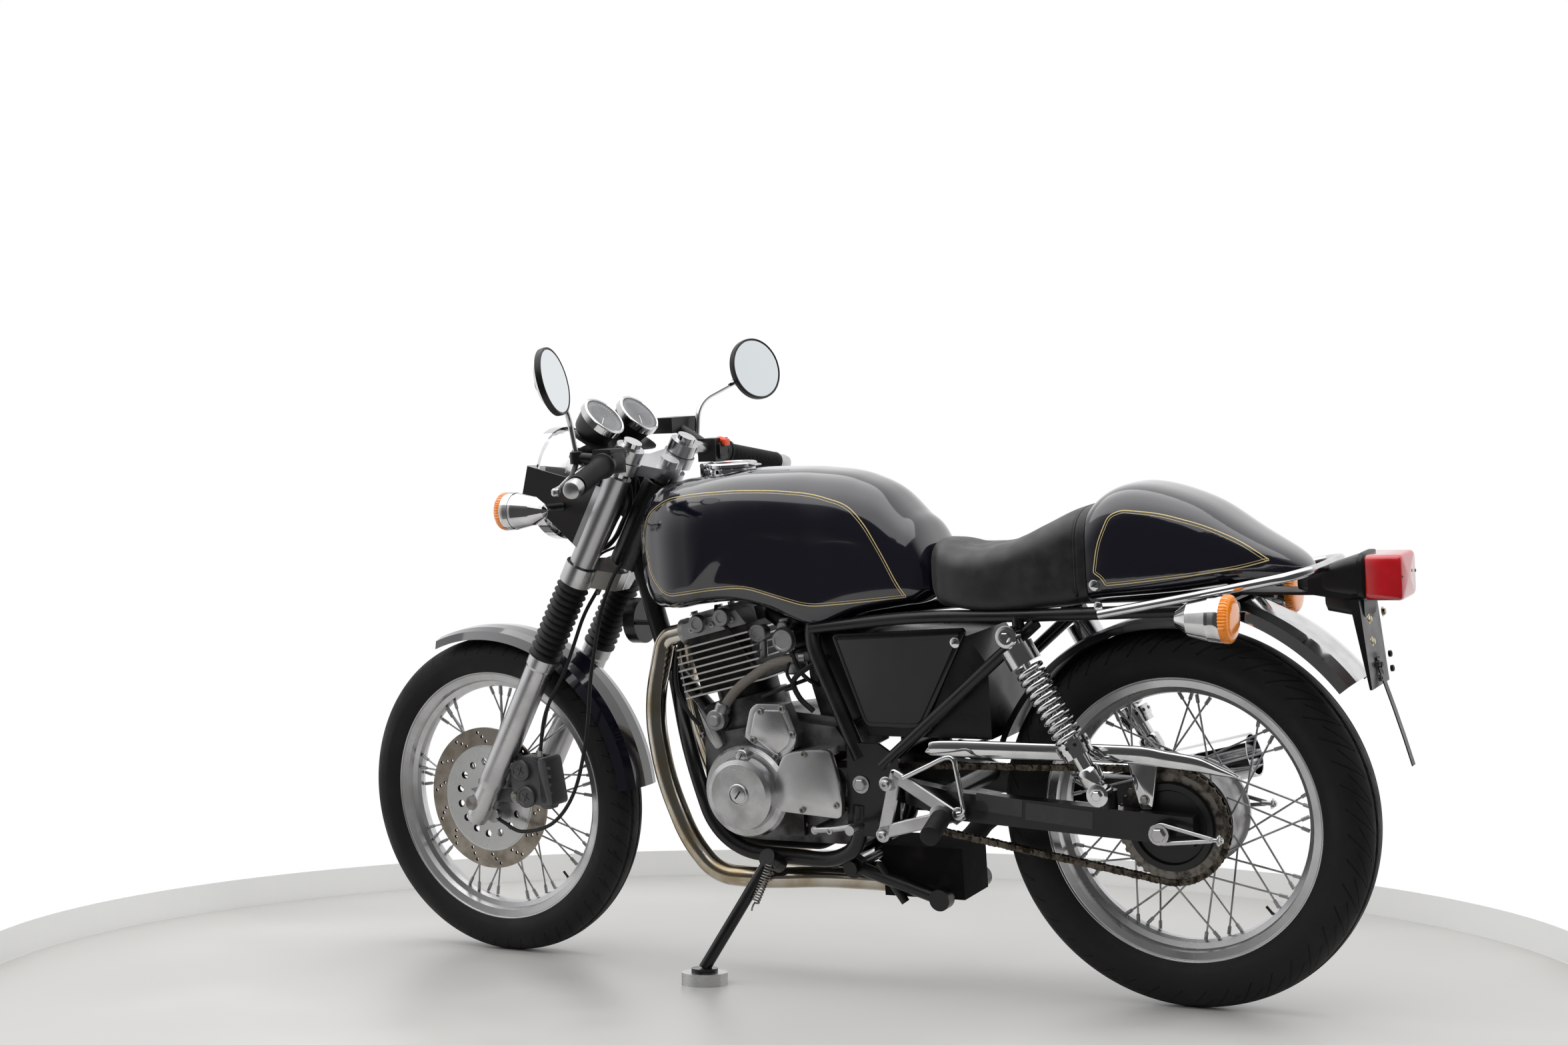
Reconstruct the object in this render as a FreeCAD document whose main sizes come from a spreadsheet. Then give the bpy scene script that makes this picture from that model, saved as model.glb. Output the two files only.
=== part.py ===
"""A cafe racer motorcycle, parked on its side stand.

Every piece is drawn in a frame of its own, where it is easy to give sizes: the upright
motorcycle (X forward, Y to its left, Z up, origin on the floor under the rear axle), the fork
(X square to the legs, Z up the steering axis) or the cylinder (Z up the bore). One placement
then carries the piece to where it stands: turned with the steering, leant on the stand, and
moved so that the whole stands over the origin.
"""
import FreeCAD, Part
import math
import os

import Sketcher
from FreeCAD import Placement, Rotation, Vector

# Driving dimensions in millimetres and degrees, one row of the sheet each.
SIZES = [
    # Stance
    ("wheelbase", 1405), ("castor_angle", 30), ("fork_offset", 48),
    ("lean_angle", 7.7), ("steering_rest_angle", -3), ("floor_lift", 0.58),
    ("nose_reach", 309.5), ("tail_reach", 391), ("mirror_level", 1115),
    ("seat_gap", 0.3), ("running_gap", 1), ("fit_gap", 0.2), ("swing_gap", 6), ("steer_lock", 30),
    # Front wheel
    ("front_tyre_radius", 309.5), ("front_tyre_half", 45), ("flange_radius", 242),
    ("front_rim_half", 30), ("rim_wall", 3), ("rim_seat_depth", 12), ("rim_well_depth", 24),
    ("front_hub_radius", 31), ("front_hub_half", 44), ("front_flange_radius", 50),
    ("front_flange_y", 32), ("hub_flange_wall", 6), ("front_axle_radius", 8), ("front_axle_half", 112),
    ("axle_nut_radius", 14), ("axle_nut_length", 10),
    ("disc_radius", 138), ("disc_band", 34), ("disc_wall", 5), ("disc_y", 54),
    ("disc_bolt_radius", 42), ("disc_carrier_wall", 7),
    ("spoke_radius", 1.7), ("nipple_radius", 3.2), ("nipple_length", 16), ("spoke_rim_spread", 7),
    ("spokes_per_side", 18),
    # Rear wheel
    ("rear_tyre_radius", 327.6), ("rear_tyre_half", 55), ("rear_rim_half", 38),
    ("drum_radius", 88), ("drum_half", 48), ("drum_flange_radius", 94),
    ("rear_axle_radius", 9), ("rear_axle_half", 142), ("brake_panel_wall", 16),
    ("sprocket_pitch_radius", 96), ("sprocket_wall", 7), ("sprocket_carrier_radius", 74),
    ("sprocket_rim_wall", 13), ("rear_teeth", 38), ("tooth_depth", 7),
    ("front_sprocket_radius", 38), ("front_sprocket_x", 640), ("front_sprocket_z", 372),
    ("chain_y", 80), ("chain_half_width", 9), ("chain_half_height", 7.5),
    # Fork
    ("leg_spread", 89.4), ("leg_offset", 36), ("stanchion_radius", 17.5), ("slider_radius", 26),
    ("slider_foot", -36), ("slider_top", 337), ("gaiter_top", 497), ("gaiter_radius", 31),
    ("gaiter_waist_radius", 25), ("gaiter_pleats", 12), ("lower_clamp_low", 500),
    ("lower_clamp_high", 538), ("ear_low", 541), ("ear_high", 727), ("ear_radius", 24.5),
    ("top_clamp_low", 741), ("top_clamp_high", 763), ("leg_top", 800), ("clamp_boss_radius", 30),
    ("stem_radius", 14), ("head_tube_radius", 32), ("head_tube_bore", 24),
    ("head_tube_low", 551), ("head_tube_high", 728), ("ear_arm_level", 625),
    # Front fender
    ("fender_radius", 334), ("fender_half", 57), ("fender_wall", 2.5), ("fender_skirt", 24),
    ("fender_front_angle", 69), ("fender_sweep", 106),
    # Headlight, gauges
    ("lamp_x", 1232), ("lamp_z", 917), ("lamp_radius", 107), ("lamp_depth", 128),
    ("lamp_rim_width", 22), ("lamp_glass_bulge", 18),
    ("gauge_radius", 43), ("gauge_depth", 50), ("gauge_spread", 57), ("gauge_offset", 140),
    ("gauge_level", 800),
    # Bars
    ("bar_radius", 11), ("peg_radius", 13), ("lever_radius", 5.5), ("toe_peg_length", 42), ("hose_radius", 3.5), ("grip_radius", 17), ("bar_end_radius", 15), ("bar_end_length", 26),
    ("mirror_radius", 60), ("mirror_depth", 20), ("mirror_stalk_radius", 5),
    ("mirror_inward_share", 0.28), ("mirror_upward_share", 0.22),
    # Frame tubes
    ("backbone_radius", 23), ("down_tube_radius", 19), ("cradle_radius", 14), ("seat_tube_radius", 14),
    ("strut_radius", 11), ("rail_radius", 11), ("frame_plate_wall", 8), ("strap_wall", 5), ("frame_plate_y", 109),
    # Engine
    ("crank_x", 800), ("crank_z", 363), ("cylinder_tilt", 13.5), ("crankcase_half", 82), ("crankcase_side", 68),
    ("flywheel_x", 786), ("flywheel_radius", 84), ("flywheel_depth", 74), ("flywheel_step", 22),
    ("fin_count", 8), ("fin_pitch", 12.8), ("fin_wall", 3), ("fin_half_length", 86),
    ("fin_half_width", 82), ("fin_low", 184), ("barrel_radius", 58), ("barrel_low", 160),
    ("head_half_length", 70), ("head_half_width", 66), ("port_level", 302), ("port_reach", 78), ("head_low", 288), ("head_high", 330),
    ("cam_cover_half_length", 52), ("cam_cover_half_width", 56),
    ("cover_wall", 26), ("sprocket_cover_wall", 22),
    ("clutch_radius", 70), ("clutch_depth", 52), ("clutch_x", 694), ("clutch_z", 372),
    # Exhaust
    ("header_radius", 19), ("silencer_radius", 39), ("silencer_wall", 3), ("silencer_length", 430),
    ("link_pipe_radius", 20), ("collector_length", 156), ("collector_width", 100),
    ("collector_height", 92),
    # Body
    ("tank_length", 590), ("tank_height", 287), ("tank_half_width", 134),
    ("tank_base_z", 650), ("tunnel_half", 30), ("body_gap", 3), ("filler_radius", 44), ("filler_depth", 40),
    ("filler_lid_radius", 47), ("filler_lid_wall", 9), ("filler_pin_radius", 4.5), ("filler_knuckle", 20),
    ("seat_height", 183), ("seat_half_width", 122), ("seat_rear_x", 118),
    ("seat_base_z", 687),
    ("cowl_length", 352), ("cowl_height", 192), ("cowl_half_width", 114), ("cowl_tail_x", -234),
    ("cowl_base_z", 706),
        ("rear_fender_radius", 392.3), ("rear_fender_half", 74), ("inner_fender_radius", 346),
    ("inner_fender_half", 62), ("guard_rail_radius", 8),
    ("fender_rear_angle", 52), ("rear_fender_sweep", 36), ("inner_fender_angle", -4), ("inner_fender_sweep", 72),
    # Suspension and stands
    ("arm_width", 26), ("arm_height", 52), ("arm_front_height", 34), ("arm_y", 112), ("pivot_tube_radius", 20),
    ("pivot_half", 92), ("pivot_x", 560), ("pivot_z", 383), ("pivot_bolt_radius", 9),
    ("shock_y", 145), ("damper_radius", 14), ("damper_rod_radius", 7), ("spring_radius", 26),
    ("spring_wire_radius", 4.5), ("spring_turns", 11), ("shock_eye_radius", 15), ("shock_eye_width", 24),
    ("stand_radius", 11), ("stand_foot_radius", 24), ("stand_foot_wall", 7), ("puck_radius", 41.5),
    ("puck_height", 22), ("puck_x", 850), ("puck_y", 213),
    ("centre_stand_radius", 12), ("centre_eye_radius", 20.2), ("centre_pin_radius", 7),
]

# Places in millimetres: a name with its X, Y and Z, or with two places across and along a piece.
PLACES = [
    ("backbone_front", 1046, 0, 838), ("backbone_rear", 640, 0, 748),
    ("down_tube_top", 1057, 0, 775), ("down_tube_foot", 998, 0, 545),
    ("cradle_bend", 925, 85, 421), ("cradle_front", 870, 85, 245), ("cradle_rear", 640, 85, 235),
    ("cradle_rise", 575, 104, 268), ("cradle_end", 568, 105, 345),
    ("seat_tube_top", 668, 84, 655), ("seat_tube_low", 562, 105, 428),
    ("rail_front", 655, 84, 655), ("rail_mid", 445, 100, 680), ("rail_shock", 246, 108, 683),
    ("rail_rear", 60, 108, 690), ("rail_tail", -138, 98, 696),
    ("tail_strap", -112, 0, 706.5), ("strut_tie", 470, 106, 456), ("horn_stay", 1056, -2, 650),
    ("horn_stay_size", 32, 24, 6), ("strut_top", 214, 106, 672), ("strut_foot", 520, 106, 415),
    ("shock_top", 246, 145, 655), ("shock_foot", 98, 145, 392),
    ("header_port", 946.6, 38, 638.4), ("header_shoulder", 989, 38, 628.2), ("header_knee", 1010, 64, 500),
    ("header_shin", 984, 82, 376), ("header_ankle", 934, 90, 262), ("header_heel", 880, 90, 199),
    ("header_sole", 780, 80, 194), ("header_toe", 690, 28, 190), ("header_end", 558.4, 28, 190),
    ("collector_middle", 480, 0, 215), ("link_start", 485, -40, 229), ("link_bend", 470, -125, 229), ("link_turn", 463, -213, 266.2),
    ("silencer_front", 372, -213, 288.7), ("silencer_hanger", 350, -200, 298), ("silencer_hanger_reach", 0, 55.7, 0), ("silencer_tip", -50, -213, 393),
    ("clip_on_root", 1012, 94, 982), ("bar_tip", 950, 335, 930),
    ("mirror_base", 1045, 200, 985), ("mirror_elbow", 1047, 214, 1056), ("mirror_neck", 1012, 292, 1090),
    ("mirror_centre", 985, 333, 1115), ("reservoir", 1082, 178, 1015), ("reservoir_size", 46, 84, 30),
    ("switch_size", 40, 46, 44), ("front_lamp", 1162, 215, 880), ("front_stalk", 1150, 111.3, 880),
    ("rear_lamp", -112, 175, 690), ("rear_stalk", -112, 111.4, 697),
    ("grab_front", 92, 127.4, 689.3), ("grab_mid", -85, 130, 722), ("grab_corner", -228, 116, 749),
    ("grab_back", -263, 74, 757), ("tail_housing", -283.5, 0, 727), ("tail_housing_size", 92, 88, 30), ("tail_lens_size", 58, 90, 74),
    ("caliper_middle", 1283, 0, 352), ("carburettor", 716, 42, 632), ("horn", 1086, -30, 650),
    ("filler", 845, 0, 940), ("side_cover_corner", 353, 88, 481), ("side_cover_size", 259, 8, 178),
    ("battery_corner", 317.3, 0, 464.4), ("battery_size", 240, 167.4, 180), ("plate_size", 4, 104, 146), ("foot_corner", 336, 140, 288), ("foot_size", 186, 8, 160), ("foot_bolt_low", 509, 140, 301), ("foot_bolt_high", 497, 140, 392), ("peg_root", 392, 140, 342),
    ("hose_top", 1122, 48, 719), ("hose_bend", 1132, 84, 676), ("hose_mid", 1173, 100, 565),
    ("hose_low", 1226, 100, 492), ("hose_end", 1249, 91, 402),
    ("shift_shaft", 650, 128, 300), ("shift_bend", 612, 132, 304), ("shift_toe", 548, 150, 318),
    ("brake_pivot", 480, -158, 330), ("brake_bend", 560, -160, 300), ("brake_toe", 640, -165, 312),
    ("peg_tip", 376, 232, 325), ("guard_corner", -128, 105, 418), ("guard_size", 560, 4, 49), ("guard_foot", 38, 105, 359.6),
    ("stand_pivot", 752, 118, 240), ("stand_fold", -985, 100, 20), ("centre_pivot", 608, 63, 222), ("centre_foot", 432, 81, 177),
    ("tang_root", 556, 71, 232), ("tang_tip", 510, 67, 163), ("axle_lug_size", 40, 24, 36),
]

# Outlines as shares of a piece's length and height, lower rear corner first.
TYRE_SHARES = [(0.84, 0.10), (1.0, 0.36), (0.95, 0.62), (0.80, 0.80),
               (0.5, 0.94), (0.25, 0.985), (0.0, 1.0)]
TANK_SHARES = [  # place along, top, base, half width, upper roundness, lower roundness
    (0.0, 0.45, 0.205, 0.50, 2.4, 4.0), (0.035, 0.62, 0.165, 0.64, 2.4, 4.5),
    (0.085, 0.72, 0.15, 0.72, 2.4, 5.0), (0.15, 0.85, 0.13, 0.78, 2.5, 5.5),
    (0.24, 0.94, 0.10, 0.84, 2.6, 6.0), (0.39, 0.992, 0.015, 0.89, 2.8, 6.0),
    (0.52, 1.0, 0.12, 0.94, 3.0, 6.0), (0.64, 0.998, 0.175, 0.98, 3.0, 6.0),
    (0.77, 0.97, 0.16, 1.0, 2.9, 5.5), (0.88, 0.935, 0.13, 0.92, 2.7, 5.0),
    (0.955, 0.88, 0.17, 0.74, 2.5, 4.0), (1.0, 0.76, 0.33, 0.46, 2.3, 3.0)]
SEAT_SHARES = [
    (0.0, 0.98, 0.08, 0.92, 3.2, 6.0), (0.12, 0.93, 0.05, 0.97, 3.2, 6.0),
    (0.30, 0.80, 0.02, 1.0, 3.2, 6.0), (0.50, 0.66, 0.0, 1.0, 3.4, 6.0),
    (0.68, 0.595, 0.0, 0.97, 3.4, 6.0), (0.85, 0.60, 0.03, 0.88, 3.2, 6.0),
    (0.95, 0.64, 0.05, 0.76, 3.0, 5.0), (1.0, 0.65, 0.10, 0.60, 2.8, 4.0)]
COWL_SHARES = [
    (0.0, 0.26, 0.20, 0.16, 2.2, 2.2), (0.04, 0.34, 0.17, 0.38, 2.3, 2.6),
    (0.21, 0.53, 0.13, 0.68, 2.5, 3.2), (0.43, 0.79, 0.09, 0.88, 2.7, 4.0),
    (0.66, 0.955, 0.05, 0.97, 2.9, 5.0), (0.88, 0.98, 0.02, 1.0, 3.1, 5.5),
    (1.0, 0.84, 0.0, 0.97, 3.2, 6.0)]
CRANKCASE_SHARES = [(0.10, 0.0), (0.84, 0.0), (0.94, 0.16), (0.96, 0.42), (0.95, 0.80), (0.88, 0.92),
                    (0.42, 1.0), (0.12, 0.96), (0.03, 0.80), (0.03, 0.70), (0.14, 0.62),
                    (0.14, 0.40), (0.03, 0.30), (0.04, 0.06)]
MIDDLE_CASE_SHARES = [(0.345, 0.06), (0.70, 0.06), (0.77, 0.25), (0.80, 0.5), (0.80, 0.84), (0.42, 0.94), (0.12, 0.90), (0.07, 0.80),
                      (0.07, 0.72), (0.345, 0.72)]
COVER_SKIRT_SHARES = [(0.82, 0.07), (1.0, 0.10), (0.98, 0.5), (0.81, 0.91), (0.42, 0.99), (0.12, 1.0),
                      (0.12, 0.88), (0.80, 0.76)]
STARTER_COVER_SHARES = [(0.40, 0.0), (1.0, 0.42), (0.86, 0.9), (0.74, 1.0), (0.19, 1.0), (0.0, 0.5),
                        (0.08, 0.25)]
SPROCKET_COVER_SHARES = [(0.0, 0.0), (1.0, 0.07), (0.98, 0.5), (0.81, 0.91), (0.42, 0.99), (0.12, 1.0),
                         (0.07, 0.5)]
SIDE_COVER_SHARES = [(0.35, 0.0), (0.79, 0.0), (1.0, 0.90), (0.97, 0.93), (0.54, 0.96), (0.02, 1.0), (0.0, 0.95)]
BATTERY_SHARES = [(0.0, 0.0), (1.0, 0.0), (1.0, 1.0), (0.15, 1.0), (0.0, 0.72)]
FOOT_BRACKET_SHARES = [(0.78, 0.0), (1.0, 0.05), (0.92, 0.66), (0.78, 0.80), (0.20, 1.0), (0.06, 0.98),
                       (0.0, 0.10), (0.10, 0.02), (0.20, 0.14), (0.40, 0.24)]
FOOT_WINDOW_SHARES = [(0.80, 0.20), (0.76, 0.55), (0.68, 0.60), (0.38, 0.36)]
GUARD_SHARES = [(0.0, 0.08), (0.12, 0.70), (0.32, 1.0), (0.95, 0.97), (1.0, 0.5), (1.0, 0.38), (0.34, 0.38),
                (0.13, 0.14), (0.01, 0.0)]
FRAME_PLATE_SHARES = [(-0.20, 0.02), (0.24, 0.0), (0.74, 0.0), (0.72, 0.28), (0.70, 0.55), (0.66, 1.0),
                      (0.1, 1.0), (-0.25, 0.85), (-0.25, 0.35)]


class Size:
    """A named value of the sheet, or a sum of such values: its number now and its formula."""

    def __init__(self, value, formula):
        self.value, self.formula = value, formula

    @staticmethod
    def of(other):
        return other if isinstance(other, Size) else Size(float(other), repr(float(other)))

    def __add__(self, other):
        other = Size.of(other)
        return Size(self.value + other.value, f"({self.formula} + {other.formula})")

    def __sub__(self, other):
        other = Size.of(other)
        return Size(self.value - other.value, f"({self.formula} - {other.formula})")

    def __mul__(self, other):
        other = Size.of(other)
        return Size(self.value * other.value, f"({self.formula} * {other.formula})")

    def __truediv__(self, other):
        other = Size.of(other)
        return Size(self.value / other.value, f"({self.formula} / {other.formula})")

    def __neg__(self):
        return Size(-self.value, f"(-{self.formula})")

    def __float__(self):
        return self.value

    __rmul__ = __mul__
    __radd__ = __add__

    def __rsub__(self, other):
        return Size.of(other) - self


def sine(angle):
    angle = Size.of(angle)
    return Size(math.sin(math.radians(angle.value)), f"sin({angle.formula} * 1deg)")


def cosine(angle):
    angle = Size.of(angle)
    return Size(math.cos(math.radians(angle.value)), f"cos({angle.formula} * 1deg)")


def root(number):
    return Size(math.sqrt(number.value), f"sqrt({number.formula})")


class Names:
    """The sheet's values by name, as attributes."""


doc = FreeCAD.newDocument("CafeRacer")
sheet = doc.addObject("Spreadsheet::Sheet", "Sizes")
S = Names()
P = Names()


def fill_sheet():
    """Writes every size and place to the sheet, one row each, and keeps them by name."""
    rows = list(SIZES)
    for name, *numbers in PLACES:
        rows += [(f"{name}_{letter}", number) for letter, number in zip("xyz", numbers)]
    for row, (name, number) in enumerate(rows, 1):
        sheet.set(f"A{row}", name)
        sheet.set(f"B{row}", str(number))
        sheet.setAlias(f"B{row}", name)
    doc.recompute()
    for name, _ in rows:
        setattr(S, name, Size(float(sheet.get(name)), f"Sizes.{name}"))
    for name, *_ in PLACES:
        setattr(P, name, tuple(getattr(S, f"{name}_{letter}") for letter in "xyz"))


fill_sheet()
ZERO = Size.of(0)
HALF = 0.5


# Frames: each is the text of a placement, so that a change in the sheet moves the pieces.
def placement_text(at=(ZERO, ZERO, ZERO), axis=(0, 0, 1), angle=ZERO, about=None):
    spot = "; ".join(Size.of(number).formula for number in at)
    line = "; ".join(Size.of(number).formula for number in axis)
    turn = f"rotation(vector({line}); {Size.of(angle).formula})"
    if about is None:
        return f"placement(vector({spot}); {turn})"
    pivot = "; ".join(Size.of(number).formula for number in about)
    return f"placement(vector({spot}); {turn}; vector({pivot}))"


castor_sine, castor_cosine = sine(S.castor_angle), cosine(S.castor_angle)
lean_sine, lean_cosine = sine(S.lean_angle), cosine(S.lean_angle)
steer_x = S.wheelbase - S.fork_offset * castor_cosine
steer_z = S.front_tyre_radius - S.fork_offset * castor_sine
centre_x = (S.wheelbase + S.nose_reach - S.tail_reach) * HALF
centre_y = S.mirror_level * lean_sine
steering_line = (-castor_sine, ZERO, castor_cosine)

FLOOR = placement_text((-centre_x, -centre_y, ZERO))
STANCE = placement_text((-centre_x, -centre_y, S.floor_lift), (1, 0, 0), -S.lean_angle)
STEER = STANCE + " * " + placement_text(axis=steering_line, angle=S.steering_rest_angle,
                                        about=(steer_x, ZERO, steer_z))
FORK = STEER + " * " + placement_text((steer_x, ZERO, steer_z), (0, 1, 0), -S.castor_angle)
BARREL = STANCE + " * " + placement_text((S.crank_x, ZERO, S.crank_z), (0, 1, 0), S.cylinder_tilt)

NODES = {}


def node(label, frame, piece):
    """Names a finished sub-part and stands it in its frame."""
    if piece.ExpressionEngine and any(name == "Placement" for name, _ in piece.ExpressionEngine) \
            or not piece.Placement.isIdentity():
        piece = group(label + "_held", piece)
    piece.Label = label
    piece.setExpression("Placement", frame)
    NODES[label] = piece
    return piece


def bind(piece, **sizes):
    for name, size in sizes.items():
        piece.setExpression(name, Size.of(size).formula)


def vector(place):
    return Vector(*(float(number) for number in place))


def middle(first, second):
    return tuple((a + b) * HALF for a, b in zip(first, second))


def mirror_place(place):
    return (place[0], -place[1], place[2])


def moved(place, x=ZERO, y=ZERO, z=ZERO):
    return (place[0] + x, place[1] + y, place[2] + z)


# Solids
TURNS = {"x": ((0, 1, 0), 90), "y": ((1, 0, 0), -90), "z": ((0, 0, 1), 0)}


def rod(name, radius, start, length, along="z"):
    """A round bar that starts at a place and runs along an axis."""
    piece = doc.addObject("Part::Cylinder", name)
    bind(piece, Radius=radius, Height=length)
    axis, angle = TURNS[along]
    piece.setExpression("Placement", placement_text(start, axis, angle))
    return piece


def bar(name, radius, start, end, end_radius=None):
    """A round or tapered bar from one place to another."""
    span = [b - a for a, b in zip(start, end)]
    length = root(span[0] * span[0] + span[1] * span[1] + span[2] * span[2])
    kind = "Part::Cylinder" if end_radius is None else "Part::Cone"
    piece = doc.addObject(kind, name)
    if end_radius is None:
        bind(piece, Radius=radius, Height=length)
    else:
        bind(piece, Radius1=radius, Radius2=end_radius, Height=length)
    piece.Placement = Placement(vector(start), Rotation(Vector(0, 0, 1), vector(span)))
    return piece


def block(name, size, centre, axis=(0, 1, 0), angle=ZERO):
    """A box about its middle, turned about an axis through it."""
    piece = doc.addObject("Part::Box", name)
    bind(piece, Length=size[0], Width=size[1], Height=size[2])
    corner = [-Size.of(length) * HALF for length in size]
    text = placement_text(centre, axis, angle) + " * " + placement_text(corner)
    piece.setExpression("Placement", text)
    return piece


def path(name, points, bend_share=0.45):
    """A line through the points, its corners rounded by tangent arcs."""
    spots = [vector(point) for point in points]
    edges, start = [], spots[0]
    for before, corner, after in zip(spots, spots[1:], spots[2:]):
        back, ahead = before - corner, after - corner
        reach = bend_share * min(back.Length, ahead.Length)
        back, ahead = back.normalize(), ahead.normalize()
        half_turn = (math.pi - back.getAngle(ahead)) / 2
        first, last = corner + back * reach, corner + ahead * reach
        centre_way = (back + ahead).normalize()
        radius = reach / math.tan(half_turn)
        centre = corner + centre_way * math.hypot(reach, radius)
        edges.append(Part.LineSegment(start, first).toShape())
        edges.append(Part.Arc(first, centre - centre_way * radius, last).toShape())
        start = last
    edges.append(Part.LineSegment(start, spots[-1]).toShape())
    line = doc.addObject("Part::Feature", name + "_line")
    line.Shape = Part.Wire(edges)
    return line


def tube(name, radius, points, bend_share=0.45):
    """A round bar swept along a rounded path."""
    line = path(name, points, bend_share)
    ring = doc.addObject("Part::Circle", name + "_ring")
    bind(ring, Radius=radius)
    way = vector(points[1]) - vector(points[0])
    ring.Placement = Placement(vector(points[0]), Rotation(Vector(0, 0, 1), way))
    piece = doc.addObject("Part::Sweep", name)
    piece.Sections = [ring]
    piece.Spine = (line, [f"Edge{i + 1}" for i in range(len(line.Shape.Edges))])
    piece.Solid = True
    piece.Frenet = False
    return piece


def fuse(name, *pieces):
    whole = doc.addObject("Part::MultiFuse", name)
    whole.Shapes = list(pieces)
    return whole


def group(name, *pieces):
    whole = doc.addObject("Part::Compound", name)
    whole.Links = list(pieces)
    return whole


def cut(name, base, *tools):
    """A piece with each of the tools taken out of it in turn."""
    for number, tool in enumerate(tools, 1):
        piece = doc.addObject("Part::Cut", name if number == len(tools) else f"{name}_{number}")
        piece.Base, piece.Tool, piece.Refine = base, tool, False
        base = piece
    return base


def mirror(piece):
    """The same piece on the other side of the motorcycle."""
    other = doc.addObject("Part::Mirroring", piece.Name + "_right")
    other.Source = piece
    other.Normal = Vector(0, 1, 0)
    return other


def pair(name, piece):
    return group(name, piece, mirror(piece))


def sketch(body, plane, points, offset, name):
    """A closed outline of straight runs, each corner held by its two sizes."""
    planes = {feature.Role: feature for feature in body.Origin.OriginFeatures}
    drawing = body.newObject("Sketcher::SketchObject", name)
    drawing.AttachmentSupport = (planes[plane.upper() + "_Plane"], [""])
    drawing.MapMode = "FlatFace"
    for letter, shift in zip("xyz", offset):
        drawing.setExpression(f"AttachmentOffset.Base.{letter}", Size.of(shift).formula)
    count = len(points)
    ends = [Vector(float(x), float(y), 0) for x, y in points]
    drawing.addGeometry([Part.LineSegment(ends[i], ends[(i + 1) % count]) for i in range(count)], False)
    rules = [Sketcher.Constraint("Coincident", i, 2, (i + 1) % count, 1) for i in range(count)]
    for i, end in enumerate(ends):
        rules.append(Sketcher.Constraint("DistanceX", -1, 1, i, 1, end.x))
        rules.append(Sketcher.Constraint("DistanceY", -1, 1, i, 1, end.y))
    drawing.addConstraint(rules)
    for i, (x, y) in enumerate(points):
        drawing.setExpression(f"Constraints[{count + 2 * i}]", Size.of(x).formula)
        drawing.setExpression(f"Constraints[{count + 2 * i + 1}]", Size.of(y).formula)
    return drawing


def slab(name, plane, points, thickness, level, rounding=None):
    """An outline padded to both sides of a level of its plane."""
    body = doc.addObject("PartDesign::Body", name)
    offset = (ZERO, ZERO, -level if plane == "xz" else level)
    pad = body.newObject("PartDesign::Pad", name + "_pad")
    pad.Profile = sketch(body, plane, points, offset, name + "_outline")
    pad.Midplane = True
    bind(pad, Length=thickness)
    body.Tip = pad
    if rounding is not None:
        doc.recompute()
        way = {"xz": Vector(0, 1, 0), "xy": Vector(0, 0, 1), "yz": Vector(1, 0, 0)}[plane]
        edges = [f"Edge{i}" for i, edge in enumerate(pad.Shape.Edges, 1)
                 if abs(edge.tangentAt(edge.FirstParameter).dot(way)) > 0.99]
        fillet = body.newObject("PartDesign::Fillet", name + "_rounding")
        fillet.Base = (pad, edges)
        bind(fillet, Radius=rounding)
        body.Tip = fillet
    return body


def turned(name, profile, centre=(ZERO, ZERO, ZERO), axis="y", angle=None, start=None):
    """A profile of (place along the axis, radius) turned about the axis through a centre."""
    body = doc.addObject("PartDesign::Body", name)
    x, y, z = centre
    if axis == "y":
        plane, offset, line = "yz", (y, z, x), "H_Axis"
    elif axis == "x":
        plane, offset, line = "xz", (x, z, -y), "H_Axis"
    else:
        plane, offset, line = "xz", (x, z, -y), "V_Axis"
        profile = [(radius, along) for along, radius in profile]
    revolution = body.newObject("PartDesign::Revolution", name + "_turn")
    drawing = sketch(body, plane, profile, offset, name + "_profile")
    revolution.Profile = drawing
    revolution.ReferenceAxis = (drawing, [line])
    bind(revolution, Angle=angle if angle is not None else 360)
    body.Tip = revolution
    if start is not None:
        text = placement_text(axis=(0, 1, 0), angle=start, about=centre)
        body.setExpression("Placement", text)
    return body


def shares(table, length, height, x=ZERO, z=ZERO):
    """An outline of shares as places on a piece of this length and height."""
    return [(x + length * along, z + height * up) for along, up in table]


def ring(x, half, low, high, upper, lower, count=28):
    """A closed curve square to X: a rounded box, each half with its own roundness."""
    middle_z, reach = (high + low) / 2, (high - low) / 2
    spots = []
    for step in range(count):
        angle = 2 * math.pi * step / count
        cos_a, sin_a = math.cos(angle), math.sin(angle)
        power = 2 / (upper if sin_a >= 0 else lower)
        across = math.copysign(abs(cos_a) ** power, cos_a)
        up = math.copysign(abs(sin_a) ** power, sin_a)
        spots.append(Vector(x, half * across, middle_z + reach * up))
    curve = Part.BSplineCurve()
    curve.interpolate(spots, PeriodicFlag=True)
    return Part.Wire(curve.toShape())


def skin(name, table, length, height, half_width, x, z):
    """A body with smooth sides through one ring for each row of its shares."""
    piece = doc.addObject("Part::Feature", name)
    rings = [ring(float(x + length * along), float(half_width * half), float(z + height * base),
                  float(z + height * top), upper, lower)
             for along, top, base, half, upper, lower in table]
    piece.Shape = Part.makeLoft(rings, True, False)
    return piece


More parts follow.
